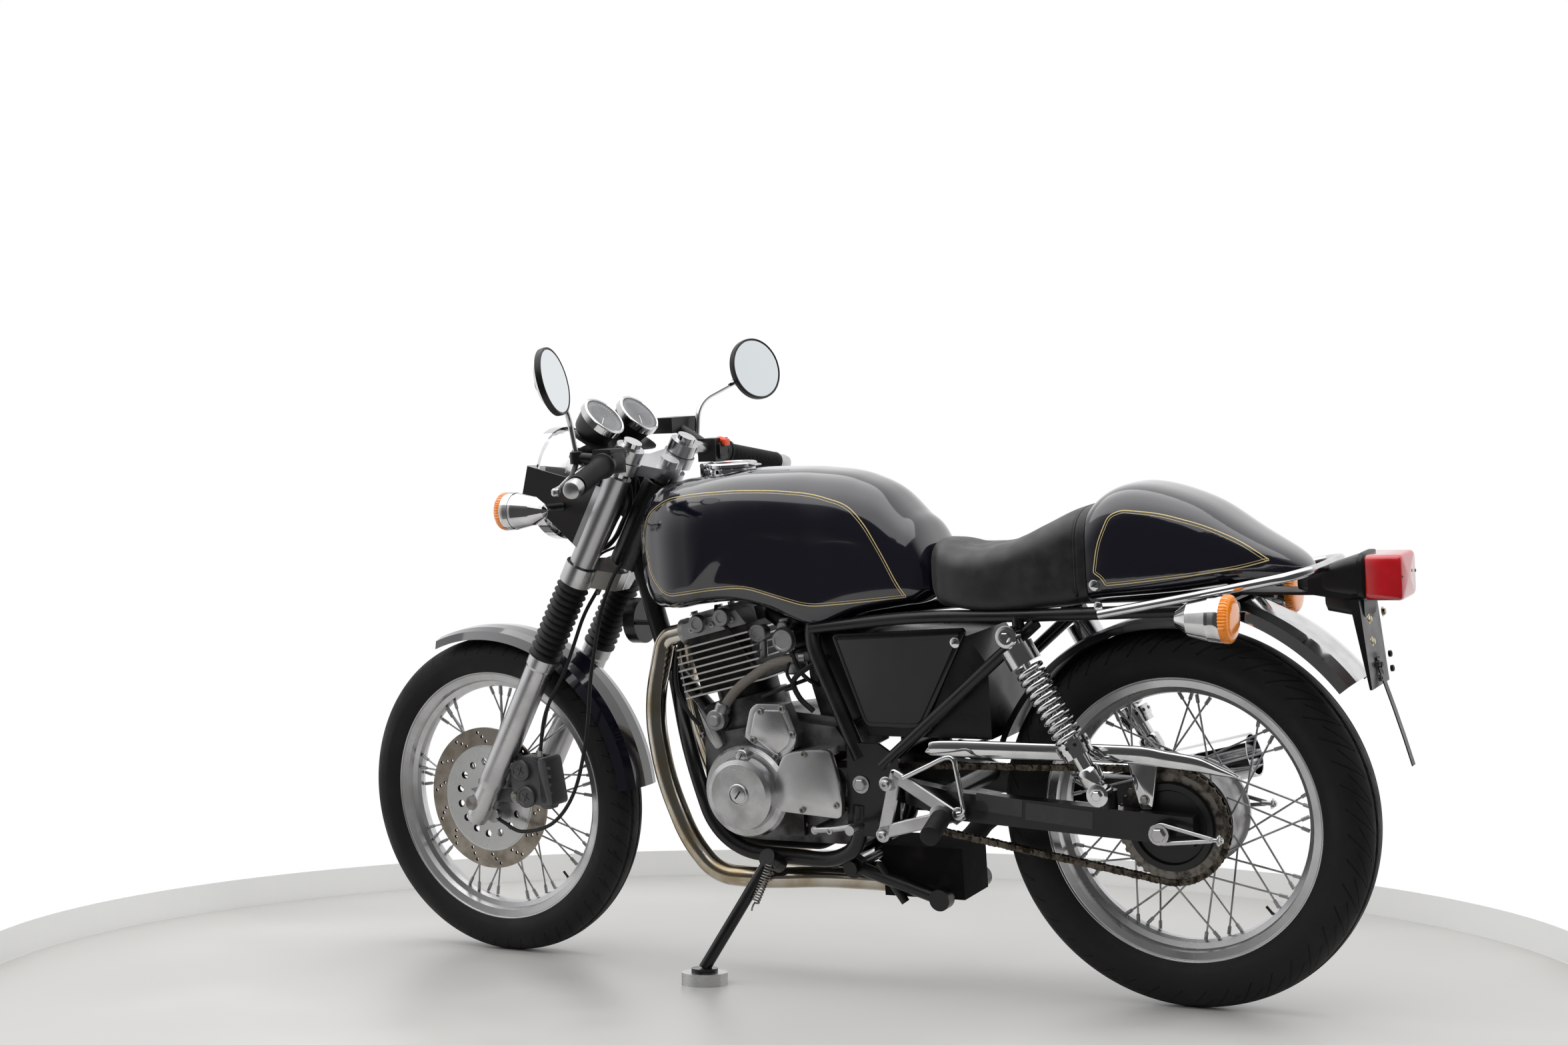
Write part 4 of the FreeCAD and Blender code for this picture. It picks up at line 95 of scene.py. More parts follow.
# %% Camera
camera_data = bpy.data.cameras.new("photo_camera")
camera_data.lens, camera_data.sensor_width = 56.84, 36.0
camera = bpy.data.objects.new("photo_camera", camera_data)
bpy.context.scene.collection.objects.link(camera)
camera.location = (-2.08235, 3.90336, 0.71298)
yaw, pitch = math.radians(61.2276), math.radians(1.4786)
aim = Vector((math.cos(pitch) * math.cos(yaw), -math.cos(pitch) * math.sin(yaw), math.sin(pitch)))
camera.rotation_euler = aim.to_track_quat("-Z", "Y").to_euler()
camera_data.clip_end = 60
bpy.context.scene.camera = camera
print("lens:", camera_data.lens, "mm")

# %% [markdown]
# ## Writing materials as sums
#
# A procedural material is arithmetic on positions and noise. One class wraps a socket so that
# `+`, `*` and the rest add the Math node they stand for, and one method adds any other node.

# %% Sockets that add up
class Flow:
    """A value inside a material, which takes part in sums."""

    def __init__(self, finish, socket):
        self.finish, self.socket = finish, socket

    def math(self, operation, *others):
        return self.finish.add("Math", {"operation": operation}, dict(enumerate((self, *others))))

    def __add__(self, other):
        return self.math("ADD", other)

    def __sub__(self, other):
        return self.math("SUBTRACT", other)

    def __mul__(self, other):
        return self.math("MULTIPLY", other)

    def __rsub__(self, other):
        return self.finish.add("Math", {"operation": "SUBTRACT"}, {0: other, 1: self})


class Finish:
    """A material with one main shader, whose nodes are all added by one method."""

    def __init__(self, name, colour, roughness=0.5, metallic=0.0, **shader):
        self.material = bpy.data.materials.new(name)
        self.material.use_nodes = True
        self.nodes, self.links = self.material.node_tree.nodes, self.material.node_tree.links
        self.main = self.nodes["Principled BSDF"]
        self.colour = tuple(colour) + (1.0,)
        self.put(base_color=self.colour, roughness=roughness, metallic=metallic, **shader)
        self.place = Flow(self, self.nodes.new("ShaderNodeTexCoord").outputs["Object"])

    def add(self, kind, settings=None, inputs=None, output=0):
        """Adds a node of a type with its settings and its sockets' values or links."""
        node = self.nodes.new("ShaderNode" + kind)
        for key, value in (settings or {}).items():
            if key == "stops":
                ramp = node.color_ramp
                ramp.elements[0].position, ramp.elements[0].color = value[0]
                ramp.elements[1].position, ramp.elements[1].color = value[-1]
                for position, shade in value[1:-1]:
                    ramp.elements.new(position).color = shade
            else:
                setattr(node, key, value)
        for key, value in (inputs or {}).items():
            if isinstance(value, Flow):
                self.links.new(value.socket, node.inputs[key])
            else:
                node.inputs[key].default_value = value
        return Flow(self, node.outputs[output])

    def put(self, **sockets):
        """Sets or links sockets of the main shader, named in words_with_lines."""
        for name, value in sockets.items():
            socket = self.main.inputs[name.replace("_", " ").title().replace("Ior", "IOR")]
            if isinstance(value, Flow):
                self.links.new(value.socket, socket)
            else:
                socket.default_value = value
        return self

    def noise(self, scale, detail=3.0, stretch=None):
        place = self.place
        if stretch is not None:
            place = self.add("Mapping", {}, {"Vector": place, "Scale": stretch})
        return self.add("TexNoise", {}, {"Vector": place, "Scale": scale, "Detail": detail})

    def blend(self, factor, low, high):
        return self.add("Mix", {"data_type": "RGBA"}, {0: factor, 6: low, 7: high}, 2)

    def band(self, value, low, high, start=0.0, end=1.0):
        return self.add("MapRange", {"interpolation_type": "SMOOTHSTEP"},
                        {0: value, 1: low, 2: high, 3: start, 4: end})

    def bump(self, height, strength=0.3, distance=0.001):
        bumped = self.add("Bump", {}, {"Height": height, "Strength": strength, "Distance": distance})
        return self.put(normal=bumped)


print("materials are written with Finish and Flow")

# %% [markdown]
# ## Finishes
#
# A worn surface is one colour with another over it in clouds, a gloss that varies with the same
# clouds, and a fine grain. So most finishes are one recipe with its own numbers, and the clouds
# come from noise in the piece's own coordinates, so they stay on it when it moves.

# %% The usual recipe
FINISHES = {}
DUST = (0.45, 0.8, 0.0)


def keep(name, finish):
    FINISHES[name] = finish.material
    return finish


def worn(name, colour, gloss, metal, clouds, tones=None, polish=None, grain=None, **shader):
    """A finish whose clouds, a noise of (scale, detail), mix two tones and move the roughness.

    Tones are (band, clean, stained), where no band means the noise itself. Polish is a band that
    ends in two values of roughness. Grain is another noise, then the strength and the height of a bump."""
    finish = keep(name, Finish(name, colour, gloss, metal, **shader))
    cloud = finish.noise(*clouds)
    if tones:
        share = finish.band(cloud, *tones[0]) if tones[0] else cloud
        finish.put(base_color=finish.blend(share, (*tones[1], 1), (*tones[2], 1)))
    if polish:
        finish.put(roughness=finish.band(cloud, *polish))
    if grain:
        finish.bump(finish.noise(*grain[:-2]), *grain[-2:])
    return finish


print("most finishes follow one recipe")

# %% [markdown]
# ### Paint and metals
#
# Paint is a dark coat under clear lacquer, with fine flakes and a little orange peel. Chrome is a
# mirror that is never perfectly clean, and the headers have turned gold with heat. Cast alloy has
# a fine grain, and brushed alloy a stretched one.

# %% Paint and metals
worn("tank_paint", (0.004, 0.004, 0.008), 0.12, 0.0, (2400, 1),
     ((0.55, 0.8), (0.004, 0.004, 0.009), (0.012, 0.012, 0.03)),
     grain=(160, 2, 0.03, 0.0004), coat_weight=1.0, coat_roughness=0.02, specular_ior_level=0.6)
worn("frame_enamel", (0.004, 0.004, 0.0045), 0.3, 0.0, (14, 4),
     ((*DUST, 0.3), (0.004, 0.004, 0.0045), (0.022, 0.021, 0.019)),
     (0.3, 0.7, 0.22, 0.42), (300, 3, 0.05, 0.0004), coat_weight=0.25, coat_roughness=0.12, specular_ior_level=0.35)
worn("cover_black", (0.004, 0.004, 0.006), 0.2, 0.0, (10, 4), None, (0.3, 0.7, 0.16, 0.28), coat_weight=0.3,
     coat_roughness=0.05, specular_ior_level=0.3)
worn("bright_chrome", (0.72, 0.72, 0.73), 0.06, 1.0, (22, 5), ((0.4, 0.75), (0.74, 0.74, 0.75), (0.60, 0.60, 0.61)),
     (0.35, 0.75, 0.04, 0.14))
worn("header_chrome", (0.62, 0.58, 0.5), 0.14, 1.0, (14, 4), ((0.35, 0.7), (0.66, 0.62, 0.55), (0.42, 0.33, 0.20)),
     (0.3, 0.7, 0.10, 0.26))
worn("cast_alloy", (0.42, 0.42, 0.43), 0.42, 1.0, (16, 4), ((0.42, 0.72), (0.45, 0.45, 0.46), (0.27, 0.26, 0.25)),
     (0.3, 0.7, 0.36, 0.55), (420, 2, 0.16, 0.0004))
worn("satin_alloy", (0.55, 0.55, 0.56), 0.3, 1.0, (12, 4), ((0.4, 0.75), (0.60, 0.60, 0.61), (0.47, 0.47, 0.47)),
     (0.3, 0.75, 0.24, 0.36), (700, 2, 0.06, 0.0003))
worn("aged_cast", (0.22, 0.22, 0.23), 0.45, 1.0, (20, 5), ((0.4, 0.7), (0.17, 0.17, 0.175), (0.055, 0.052, 0.05)),
     (0.3, 0.7, 0.38, 0.58), (380, 3, 0.2, 0.0005))
worn("cover_alloy", (0.60, 0.60, 0.61), 0.3, 1.0, (9, 4), ((0.35, 0.75), (0.64, 0.64, 0.65), (0.46, 0.46, 0.46)),
     (0.3, 0.7, 0.26, 0.38), (900, 2, 0.03, 0.0002))
worn("brushed_alloy", (0.60, 0.60, 0.61), 0.3, 1.0, (90, 3, (1.0, 1.0, 24.0)),
     ((), (0.54, 0.54, 0.55), (0.64, 0.64, 0.65)),
     (0.3, 0.7, 0.22, 0.36), (90, 3, (1.0, 1.0, 24.0), 0.05, 0.0003))
worn("plain_steel", (0.32, 0.31, 0.30), 0.38, 1.0, (60, 4), ((0.45, 0.75), (0.36, 0.35, 0.34), (0.17, 0.14, 0.11)),
     (0.3, 0.7, 0.3, 0.55))
worn("chain_steel", (0.10, 0.085, 0.07), 0.48, 1.0, (90, 4), ((0.4, 0.7), (0.13, 0.11, 0.09), (0.035, 0.028, 0.022)),
     (0.3, 0.7, 0.35, 0.65))
# The collector's finish: its near-black, dull base is partly its own black and partly painted shade, as it lies in deep
# shade under the engine; the lighter clouds are dust.
worn("dust_and_shade_steel", (0.008, 0.008, 0.008), 0.8, 0.0, (24, 4),
     ((*DUST, 0.4), (0.006, 0.006, 0.006), (0.03, 0.027, 0.024)),
     grain=(24, 4, 0.2, 0.0006), specular_ior_level=0.12)
print("paint and metals:", len(FINISHES))

# %% [markdown]
# ### Rubber, leather, glass and lenses
#
# Rubber and plastic are black with grey dust. Leather has a grain of small cells over soft
# creases. The lenses are tinted and glossy, and one is deeper in colour than the other.

# %% Rubber, leather, glass and lenses
worn("tyre_rubber", (0.006, 0.006, 0.006), 0.62, 0.0, (11, 4),
     ((*DUST, 0.5), (0.006, 0.006, 0.006), (0.022, 0.021, 0.020)),
     (0.3, 0.7, 0.52, 0.78), (520, 3, 0.12, 0.0005), specular_ior_level=0.3)
worn("black_rubber", (0.005, 0.005, 0.005), 0.5, 0.0, (20, 4),
     ((*DUST, 0.3), (0.005, 0.005, 0.005), (0.024, 0.024, 0.024)),
     grain=(600, 2, 0.1, 0.0004), specular_ior_level=0.35)
worn("black_plastic", (0.006, 0.006, 0.0065), 0.36, 0.0, (16, 4),
     ((*DUST, 0.2), (0.006, 0.006, 0.0065), (0.02, 0.02, 0.02)),
     grain=(900, 2, 0.08, 0.0003), specular_ior_level=0.4)
hide = keep("seat_leather", Finish("seat_leather", (0.011, 0.011, 0.012), 0.4, sheen_weight=0.08, sheen_roughness=0.4,
                                   specular_ior_level=0.45))
cells = hide.add("TexVoronoi", {"feature": "DISTANCE_TO_EDGE"}, {"Vector": hide.place, "Scale": 420.0})
crease = hide.noise(34.0, 5.0)
hide.put(base_color=hide.blend(hide.band(crease, 0.4, 0.75), (0.009, 0.009, 0.010, 1), (0.020, 0.019, 0.019, 1)),
         roughness=hide.band(crease, 0.3, 0.7, 0.36, 0.52))
hide.bump(hide.band(cells, 0.0, 0.25) * 0.6 + crease * 0.8, 0.22, 0.0008)
worn("clear_glass", (0.93, 0.95, 0.96), 0.03, 0.0, (30,), None, (0.4, 0.8, 0.02, 0.08), transmission_weight=1.0,
     ior=1.45)
worn("amber_lens", (0.95, 0.24, 0.005), 0.12, 0.0, (60,), ((), (0.95, 0.21, 0.004), (1.0, 0.34, 0.02)), coat_weight=1.0,
     coat_roughness=0.03)
worn("ruby_lens", (0.45, 0.006, 0.012), 0.12, 0.0, (45,), ((), (0.40, 0.005, 0.010), (0.62, 0.012, 0.02)),
     coat_weight=1.0,
     coat_roughness=0.03)
print("finishes:", len(FINISHES))

# %% [markdown]
# ## Dressing the solids
#
# Every solid whose shape is right keeps it, and takes a finish.

# %% Which solid wears which finish
WEARS = {
    "tank_paint": "fuel_tank seat_cowl side_covers front_fender",
    "frame_enamel": "frame swingarm centre_stand side_stand inner_panels horn plate_bracket",
    "bright_chrome": "rear_fender grab_rail shock_springs shock_dampers headlight mirrors silencer "
                     "front_indicators rear_indicators chain_guard gauges fork_tubes filler_lid",
    "header_chrome": "headers",
    "aged_cast": "crankcase carburettor rear_brake_panel",
    "cast_alloy": "cylinder cylinder_head front_hub rear_hub",
    "satin_alloy": "fork_sliders fork_clamps headlight_ears front_rim rear_rim footrest_brackets foot_levers "
                   "handlebars",
    "brushed_alloy": "flywheel_cover stand_puck",
    "cover_alloy": "engine_covers",
    "dust_and_shade_steel": "collector",
    "plain_steel": "front_axle rear_axle rear_sprocket front_disc",
    "chain_steel": "chain",
    "tyre_rubber": "front_tyre rear_tyre",
    "black_rubber": "fork_gaiters grips brake_hose",
    "black_plastic": "tail_light front_caliper bar_controls",
    "seat_leather": "seat",
    "clear_glass": "headlight_glass",
    "ruby_lens": "tail_lens",
}


def dress(node_name, finish_name):
    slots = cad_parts[node_name].data.materials
    slots.clear()
    slots.append(FINISHES[finish_name])


for finish_name, names in WEARS.items():
    for node_name in names.split():
        dress(node_name, finish_name)
print("dressed", sum(len(names.split()) for names in WEARS.values()), "of", len(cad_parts), "solids")

# %% [markdown]
# ## Building surfaces
#
# Every added piece is a surface that two numbers sweep out: a profile turned about an axis, a
# section carried along a path, or an outline raised from a plate. Each gives a grid of points,
# and one function turns grids into a mesh, closes its ends and turns its faces outward.


def grid(points, place=UPRIGHT, wrap=(False, True), caps=True, flip=None, uv=None):
    """A grid of points in millimetres with its faces, and the ends closed where caps is set."""
    points = np.asarray(points, float)
    rows, columns = points.shape[:2]
    r = np.arange(rows if wrap[0] else rows - 1)[:, None]
    c = np.arange(columns if wrap[1] else columns - 1)[None, :]
    up, on = (r + 1) % rows, (c + 1) % columns
    faces = np.stack([r * columns + c, r * columns + on, up * columns + on, up * columns + c], -1).reshape(-1, 4)
    spots = carried(points.reshape(-1, 3), place)
    ends = []
    if caps and wrap[1] and not wrap[0]:
        last = (rows - 1) * columns
        ends = [np.arange(columns)[::-1], last + np.arange(columns)]
    if flip is None:
        a, b, d = spots[faces[:, 0]], spots[faces[:, 1]], spots[faces[:, 2]]
        middle = spots.mean(0)
        flip = float(np.einsum("ij,ij->i", a - middle, np.cross(b - middle, d - middle)).sum()) < 0
    if flip:
        faces, ends = faces[:, ::-1], [end[::-1] for end in ends]
    return spots, faces, ends, uv


def joined(name, parts, finish, body, sharp=38):
    """One piece made of several grids, which wears a finish and rides on a body."""
    spots, quads, rims, base = [], [], [], 0
    for points, faces, ends, _ in parts:
        spots.append(points)
        quads.append(faces + base)
        rims += [end + base for end in ends]
        base += len(points)
    quads = np.concatenate(quads)
    corners = np.concatenate([quads.ravel()] + rims) if rims else quads.ravel()
    sizes = np.concatenate([np.full(len(quads), 4), [len(rim) for rim in rims]]).astype(int)
    mesh = bpy.data.meshes.new(name)
    mesh.vertices.add(base)
    mesh.vertices.foreach_set("co", np.concatenate(spots).ravel().astype(np.float32))
    mesh.loops.add(len(corners))
    mesh.loops.foreach_set("vertex_index", corners.astype(np.int32))
    mesh.polygons.add(len(sizes))
    mesh.polygons.foreach_set("loop_start", np.concatenate([[0], np.cumsum(sizes)[:-1]]).astype(np.int32))
    mesh.update(calc_edges=True)
    mesh.validate()
    if parts[0][3] is not None:
        flat = np.concatenate([part[3].reshape(-1, 2) for part in parts])[corners]
        mesh.uv_layers.new(name="UVMap").data.foreach_set("uv", flat.ravel().astype(np.float32))
    mesh.shade_smooth()
    mesh.set_sharp_from_angle(angle=math.radians(sharp))
    mesh.materials.append(FINISHES[finish])
    piece = bpy.data.objects.new(name, mesh)
    bpy.context.scene.collection.objects.link(piece)
    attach(piece, body)
    return piece


# %% [markdown]
# ### Turned and swept shapes
#
# A bolt, a lens or a cap is turned: its profile gives a distance along the axis and a radius. A
# hose or a bar is swept: a circle is carried along a smooth line, without twisting on its way.

# %% Turned and swept shapes
def basis(axis):
    """Two directions square to an axis, and the axis itself, all of length one."""
    axis = np.asarray(axis, float)
    axis = axis / np.linalg.norm(axis)
    helper = np.array((0.0, 0.0, 1.0)) if abs(axis[2]) < 0.9 else np.array((1.0, 0.0, 0.0))
    first = np.cross(helper, axis)
    first = first / np.linalg.norm(first)
    return first, np.cross(axis, first), axis


def lathe(profile, centre, axis, count=40, place=UPRIGHT, hoop=False):
    """Each profile row (along, radius) becomes a circle: centre + along*axis + radius*(cos, sin).

    A hoop is open in the middle: its last circle joins its first."""
    first, second, way = basis(axis)
    along, radius = np.asarray(profile, float).T
    angle = np.linspace(0, 2 * np.pi, count, endpoint=False)
    circle = np.cos(angle)[:, None] * first + np.sin(angle)[:, None] * second
    points = np.asarray(centre, float) + along[:, None, None] * way + radius[:, None, None] * circle[None]
    return grid(points, place, (hoop, True))


def smooth(points, count=12):
    """A rounded line through the points: a cubic between each pair, leaving along its neighbours."""
    points = np.asarray(points, float)
    ends = np.concatenate([[2 * points[0] - points[1]], points, [2 * points[-1] - points[-2]]])
    p0, p1, p2, p3 = ends[:-3], ends[1:-2], ends[2:-1], ends[3:]
    t = np.linspace(0, 1, count, endpoint=False)[:, None, None]
    line = 0.5 * (2 * p1 + (p2 - p0) * t + (2 * p0 - 5 * p1 + 4 * p2 - p3) * t ** 2
                  + (3 * p1 - p0 - 3 * p2 + p3) * t ** 3)
    return np.concatenate([line.transpose(1, 0, 2).reshape(-1, points.shape[1]), points[-1:]])


def sweep(points, radius, count=12, place=UPRIGHT, rounded=True, steps=10):
    """A circle of the radius, or of one radius for each point, carried along the rounded line."""
    line = smooth(points, steps) if rounded else np.asarray(points, float)
    way = np.gradient(line, axis=0)
    way = way / np.linalg.norm(way, axis=1)[:, None]
    across = np.zeros_like(line)
    across[0] = basis(way[0])[0]
    for i in range(1, len(line)):
        step = across[i - 1] - way[i] * np.dot(across[i - 1], way[i])
        across[i] = step / np.linalg.norm(step)
    other = np.cross(way, across)
    angle = np.linspace(0, 2 * np.pi, count, endpoint=False)
    if np.ndim(radius):
        radius = np.interp(np.linspace(0, 1, len(line)), np.linspace(0, 1, len(radius)), radius)
    radius = np.broadcast_to(radius, (len(line),))[:, None, None]
    circle = np.cos(angle)[None, :, None] * across[:, None] + np.sin(angle)[None, :, None] * other[:, None]
    return grid(line[:, None] + radius * circle, place)


print("turned and swept shapes are ready")

# %% [markdown]
# ### Raised shapes
#
# A cover or a plate is raised: its outline climbs to its edge and then steps inward over a small
# rounding. A framed plate has an opening inside its outline, and a strap is a flat strip.

# %% Raised shapes
PLANES = {"xz": np.array([[1, 0, 0], [0, 0, 1], [0, 1, 0]], float), "xy": np.eye(3)}


def inset(outline, distance):
    """The closed outline moved inward square to its edges."""
    before, after = np.roll(outline, 1, 0), np.roll(outline, -1, 0)
    way = after - before
    way = way / np.maximum(np.linalg.norm(way, axis=1), 1e-9)[:, None]
    area = np.sum(outline[:, 0] * after[:, 1] - after[:, 0] * outline[:, 1])
    normal = np.stack([-way[:, 1], way[:, 0]], 1) * np.sign(area)
    return outline + normal * distance


def rounded_outline(corners, radius=4.0, count=5):
    """Straight lines between corners, each cut by (1-t)^2*start + 2t(1-t)*corner + t^2*end."""
    corners = np.asarray(corners, float)
    before, after = np.roll(corners, 1, 0), np.roll(corners, -1, 0)
    back, on = before - corners, after - corners
    lengths = [np.linalg.norm(side, axis=1)[:, None] for side in (back, on)]
    reach = np.minimum(radius, np.minimum(*lengths) * 0.45)
    start, end = corners + back / lengths[0] * reach, corners + on / lengths[1] * reach
    t = np.linspace(0, 1, count)[None, :, None]
    curve = (1 - t) ** 2 * start[:, None] + 2 * t * (1 - t) * corners[:, None] + t ** 2 * end[:, None]
    return curve.reshape(-1, 2)


def layers(outline, rows, level, plane="xz"):
    """The outline at each row's height above the level, moved inward by the row's distance."""
    return np.array([np.insert(inset(outline, inward), 2, level + up, 1) @ PLANES[plane] for up, inward in rows])


def raised(corners, level, height, plane="xz", bevel=1.5, radius=4.0, place=UPRIGHT, step=None):
    """A plate: the outline at a level, then at the height, then inset in three steps of a rounding."""
    edge = math.copysign(bevel, height)
    rows = [(0.0, 0.0), (height - edge, 0.0), (height - edge * 0.3, bevel * 0.3), (height, bevel)]
    if step is not None:
        rows += [(height, step[0]), (height + step[1] * 0.7, step[0] + abs(step[1]) * 0.3),
                 (height + step[1], step[0] + abs(step[1]))]
    return grid(layers(rounded_outline(corners, radius), rows, level, plane), place)


def framed(corners, level, height, width, bevel=1.5, radius=8.0, place=UPRIGHT):
    """A plate with an opening: its section runs up the outline, inward over the top and down inside."""
    low = height - math.copysign(bevel, height)
    rows = [(0.0, 0.0), (low, 0.0), (height, bevel), (height, width - bevel), (low, width), (0.0, width)]
    return grid(layers(rounded_outline(corners, radius), rows, level), place, (True, True), False)


def strap(line, half_width, thickness, place=UPRIGHT):
    """A flat strip: a thin rectangle of half width y, carried along a line of (x, y, z) points."""
    line = np.asarray(line, float)
    way = np.gradient(line, axis=0)
    normal = np.stack([way[:, 2], 0 * way[:, 0], -way[:, 0]], 1)
    normal = normal / np.linalg.norm(normal, axis=1)[:, None] * thickness / 2
    wide = np.array((0, half_width, 0))
    return grid(np.stack([line + normal + wide, line + normal - wide, line - normal - wide, line - normal + wide], 1),
                place)


print("raised shapes are ready")

# %% [markdown]
# ### Screws, and room around a line
#
# A bolt and a cap screw are turned shapes, and the bolt's head is turned in six steps only. Where
# a bar passes a soft shape, the points of that shape are pushed straight away from the bar.

# %% Screws, and room around a line
def bolt(centre, axis, radius=6.0, height=5.0, place=UPRIGHT):
    """A hexagon head on a washer, with a small chamfer."""
    washer = lathe([(0, radius * 1.45), (height * 0.2, radius * 1.45), (height * 0.22, radius)], centre, axis, 20,
                   place)
    head = lathe([(0, radius), (height * 0.85, radius), (height, radius * 0.86)], centre, axis, 6, place)
    return [washer, head]


def cap_screw(centre, axis, radius=5.0, height=4.0, place=UPRIGHT):
    """A round head whose hexagon socket is sunk in its face."""
    rows = [(0, radius), (height * 0.85, radius), (height, radius * 0.85), (height, radius * 0.5),
            (height * 0.35, radius * 0.46), (height * 0.3, radius * 0.05)]
    return [lathe(rows, centre, axis, 18, place)]


def pushed_off(points, start, way, room):
    """Points nearer than the room to a line are moved straight away from it, out to that distance."""
    reach = points - start
    reach = reach - (reach @ way)[..., None] * way
    far = np.linalg.norm(reach, axis=-1)[..., None]
    return points + np.where(far < room, reach / np.maximum(far, 1e-6) * (room - far), 0)


print("surfaces are ready")

# %% [markdown]
# ## The fuel tank
#
# A pressed steel shell, long and low, with a shoulder at the top, a flat flank and a scallop
# where the rider's knee goes. Its cross-sections are rounded boxes, and a smooth curve through
# their sizes carries them from tail to nose. It could be a subdivided cage, but then the flank
# would not meet the solid. So the sections follow the solid's own sizes. The seat's cushion is
# made in the same way, so its sections stand beside the tank's.

# %% Sections of the tank and the seat
TANK_ROWS = np.array([  # place along, top, base, half width, upper roundness, lower roundness
    (0.0, 0.45, 0.205, 0.50, 2.4, 4.0), (0.035, 0.62, 0.165, 0.64, 2.4, 4.5), (0.085, 0.72, 0.15, 0.72, 2.4, 5.0),
    (0.15, 0.85, 0.13, 0.78, 2.5, 5.5), (0.24, 0.94, 0.10, 0.84, 2.6, 6.0), (0.39, 0.992, 0.015, 0.89, 2.8, 6.0),
    (0.52, 1.0, 0.12, 0.94, 3.0, 6.0), (0.64, 0.998, 0.175, 0.98, 3.0, 6.0), (0.77, 0.97, 0.16, 1.0, 2.9, 5.5),
    (0.88, 0.935, 0.13, 0.92, 2.7, 5.0), (0.955, 0.88, 0.17, 0.74, 2.5, 4.0), (1.0, 0.76, 0.33, 0.46, 2.3, 3.0)])
SEAT_ROWS = np.array([
    (0.0, 0.98, 0.08, 0.92, 3.2, 6.0), (0.12, 0.93, 0.05, 0.97, 3.2, 6.0), (0.30, 0.80, 0.02, 1.0, 3.2, 6.0),
    (0.50, 0.66, 0.0, 1.0, 3.4, 6.0), (0.68, 0.595, 0.0, 0.97, 3.4, 6.0), (0.85, 0.60, 0.03, 0.88, 3.2, 6.0),
    (0.95, 0.64, 0.05, 0.76, 3.0, 5.0), (1.0, 0.65, 0.10, 0.60, 2.8, 4.0)])


def soft_step(value, low, high):
    """0 below low, 1 above high, and t^2*(3 - 2t) between them."""
    t = np.clip((value - low) / (high - low), 0, 1)
    return t * t * (3 - 2 * t)


def boxy_skin(rows, length, height, half_width, x, z, along=230, around=180):
    """Rounded-box sections: across = half*|cos|^(2/n), up = reach*|sin|^(2/n), n by half."""
    t = np.linspace(0, 1, along)
    t = t - 0.06 * np.sin(2 * np.pi * t) / np.pi
    slopes = np.gradient(rows[:, 1:], rows[:, 0], axis=0)
    index = np.clip(np.searchsorted(rows[:, 0], t) - 1, 0, len(rows) - 2)
    gap = (rows[index + 1, 0] - rows[index, 0])[:, None]
    s = ((t - rows[index, 0])[:, None]) / gap
    curve = ((2 * s ** 3 - 3 * s ** 2 + 1) * rows[index, 1:] + (s ** 3 - 2 * s ** 2 + s) * gap * slopes[index]
             + (3 * s ** 2 - 2 * s ** 3) * rows[index + 1, 1:] + (s ** 3 - s ** 2) * gap * slopes[index + 1])
    top, base, half, upper, lower = curve.T
    angle = np.linspace(0, 2 * np.pi, around, endpoint=False) + np.pi / around
    cos, sin = np.cos(angle)[None], np.sin(angle)[None]
    power = 2 / np.where(sin >= 0, upper[:, None], lower[:, None])
    across = half_width * half[:, None] * np.sign(cos) * np.abs(cos) ** power
    middle, reach = z + height * (top + base)[:, None] / 2, height * (top - base)[:, None] / 2
    up = middle + reach * np.sign(sin) * np.abs(sin) ** power
    return np.stack([np.broadcast_to(x + length * t[:, None], across.shape), across, up], -1)


def between_lines(x, z, line):
    """How far a point lies above a line given as (x, z) points, in millimetres."""
    line = np.array(line, float)
    order = np.argsort(line[:, 0])
    return z - np.interp(x, line[order, 0], line[order, 1])


print("sections:", len(TANK_ROWS), "of the tank,", len(SEAT_ROWS), "of the seat")

# %% [markdown]
# ### Hollows of the tank
#
# The scallop for the knee is a soft step inward below a line on the flank. The nose is pushed back
# to clear the steering head, and its sides make room for the fork legs when the bars are turned.

# %% Fuel tank
TANK_AT, TANK_SIZE = (424, 650), (590, 287, 134)  # rear end and floor; length, height, half width
KNEE_LINE = [(470, 800), (560, 826), (650, 842), (740, 838), (800, 815), (850, 770), (890, 700), (900, 640)]
KNEE_DEPTH, TOP_HALF = 8.5, 40
HEAD_LINE = (1363.43, 285.5)  # where the steering axis starts, in side view
STEM_ROOM, LEG_ROOM, LEG_AHEAD, LEG_ACROSS, LOCK = 36.0, 31.0, 36, 89.4, math.radians(30)

skin = boxy_skin(TANK_ROWS, *TANK_SIZE, *TANK_AT)
x, y, z = skin[..., 0], skin[..., 1], skin[..., 2]
flank = np.abs(y) > TOP_HALF
knee_front = soft_step(884 - x - 0.32 * (z - 700), -20, 50)
knee_rear = soft_step(x, 455, 560)
y = y - np.sign(y) * KNEE_DEPTH * soft_step(-between_lines(x, z, KNEE_LINE), -14, 48) * knee_rear * knee_front * flank
behind_head = HEAD_LINE[0] - STEM_ROOM / math.cos(CASTOR) - (z - HEAD_LINE[1]) * math.tan(CASTOR)
x = np.where((np.abs(y) < STEM_ROOM) & (x > behind_head), behind_head, x)
tank_points = np.stack([x, y, z], -1)
back = LEG_AHEAD * math.cos(LOCK) - LEG_ACROSS * math.sin(LOCK)
out = LEG_ACROSS * math.cos(LOCK) + LEG_AHEAD * math.sin(LOCK)
leg_way = np.array((-math.sin(CASTOR), 0, math.cos(CASTOR)))
for side in (1, -1):
    foot = np.array((HEAD_LINE[0] + back * math.cos(CASTOR), side * out, HEAD_LINE[1] + back * math.sin(CASTOR)))
    tank_points = pushed_off(tank_points, foot, leg_way, LEG_ROOM)
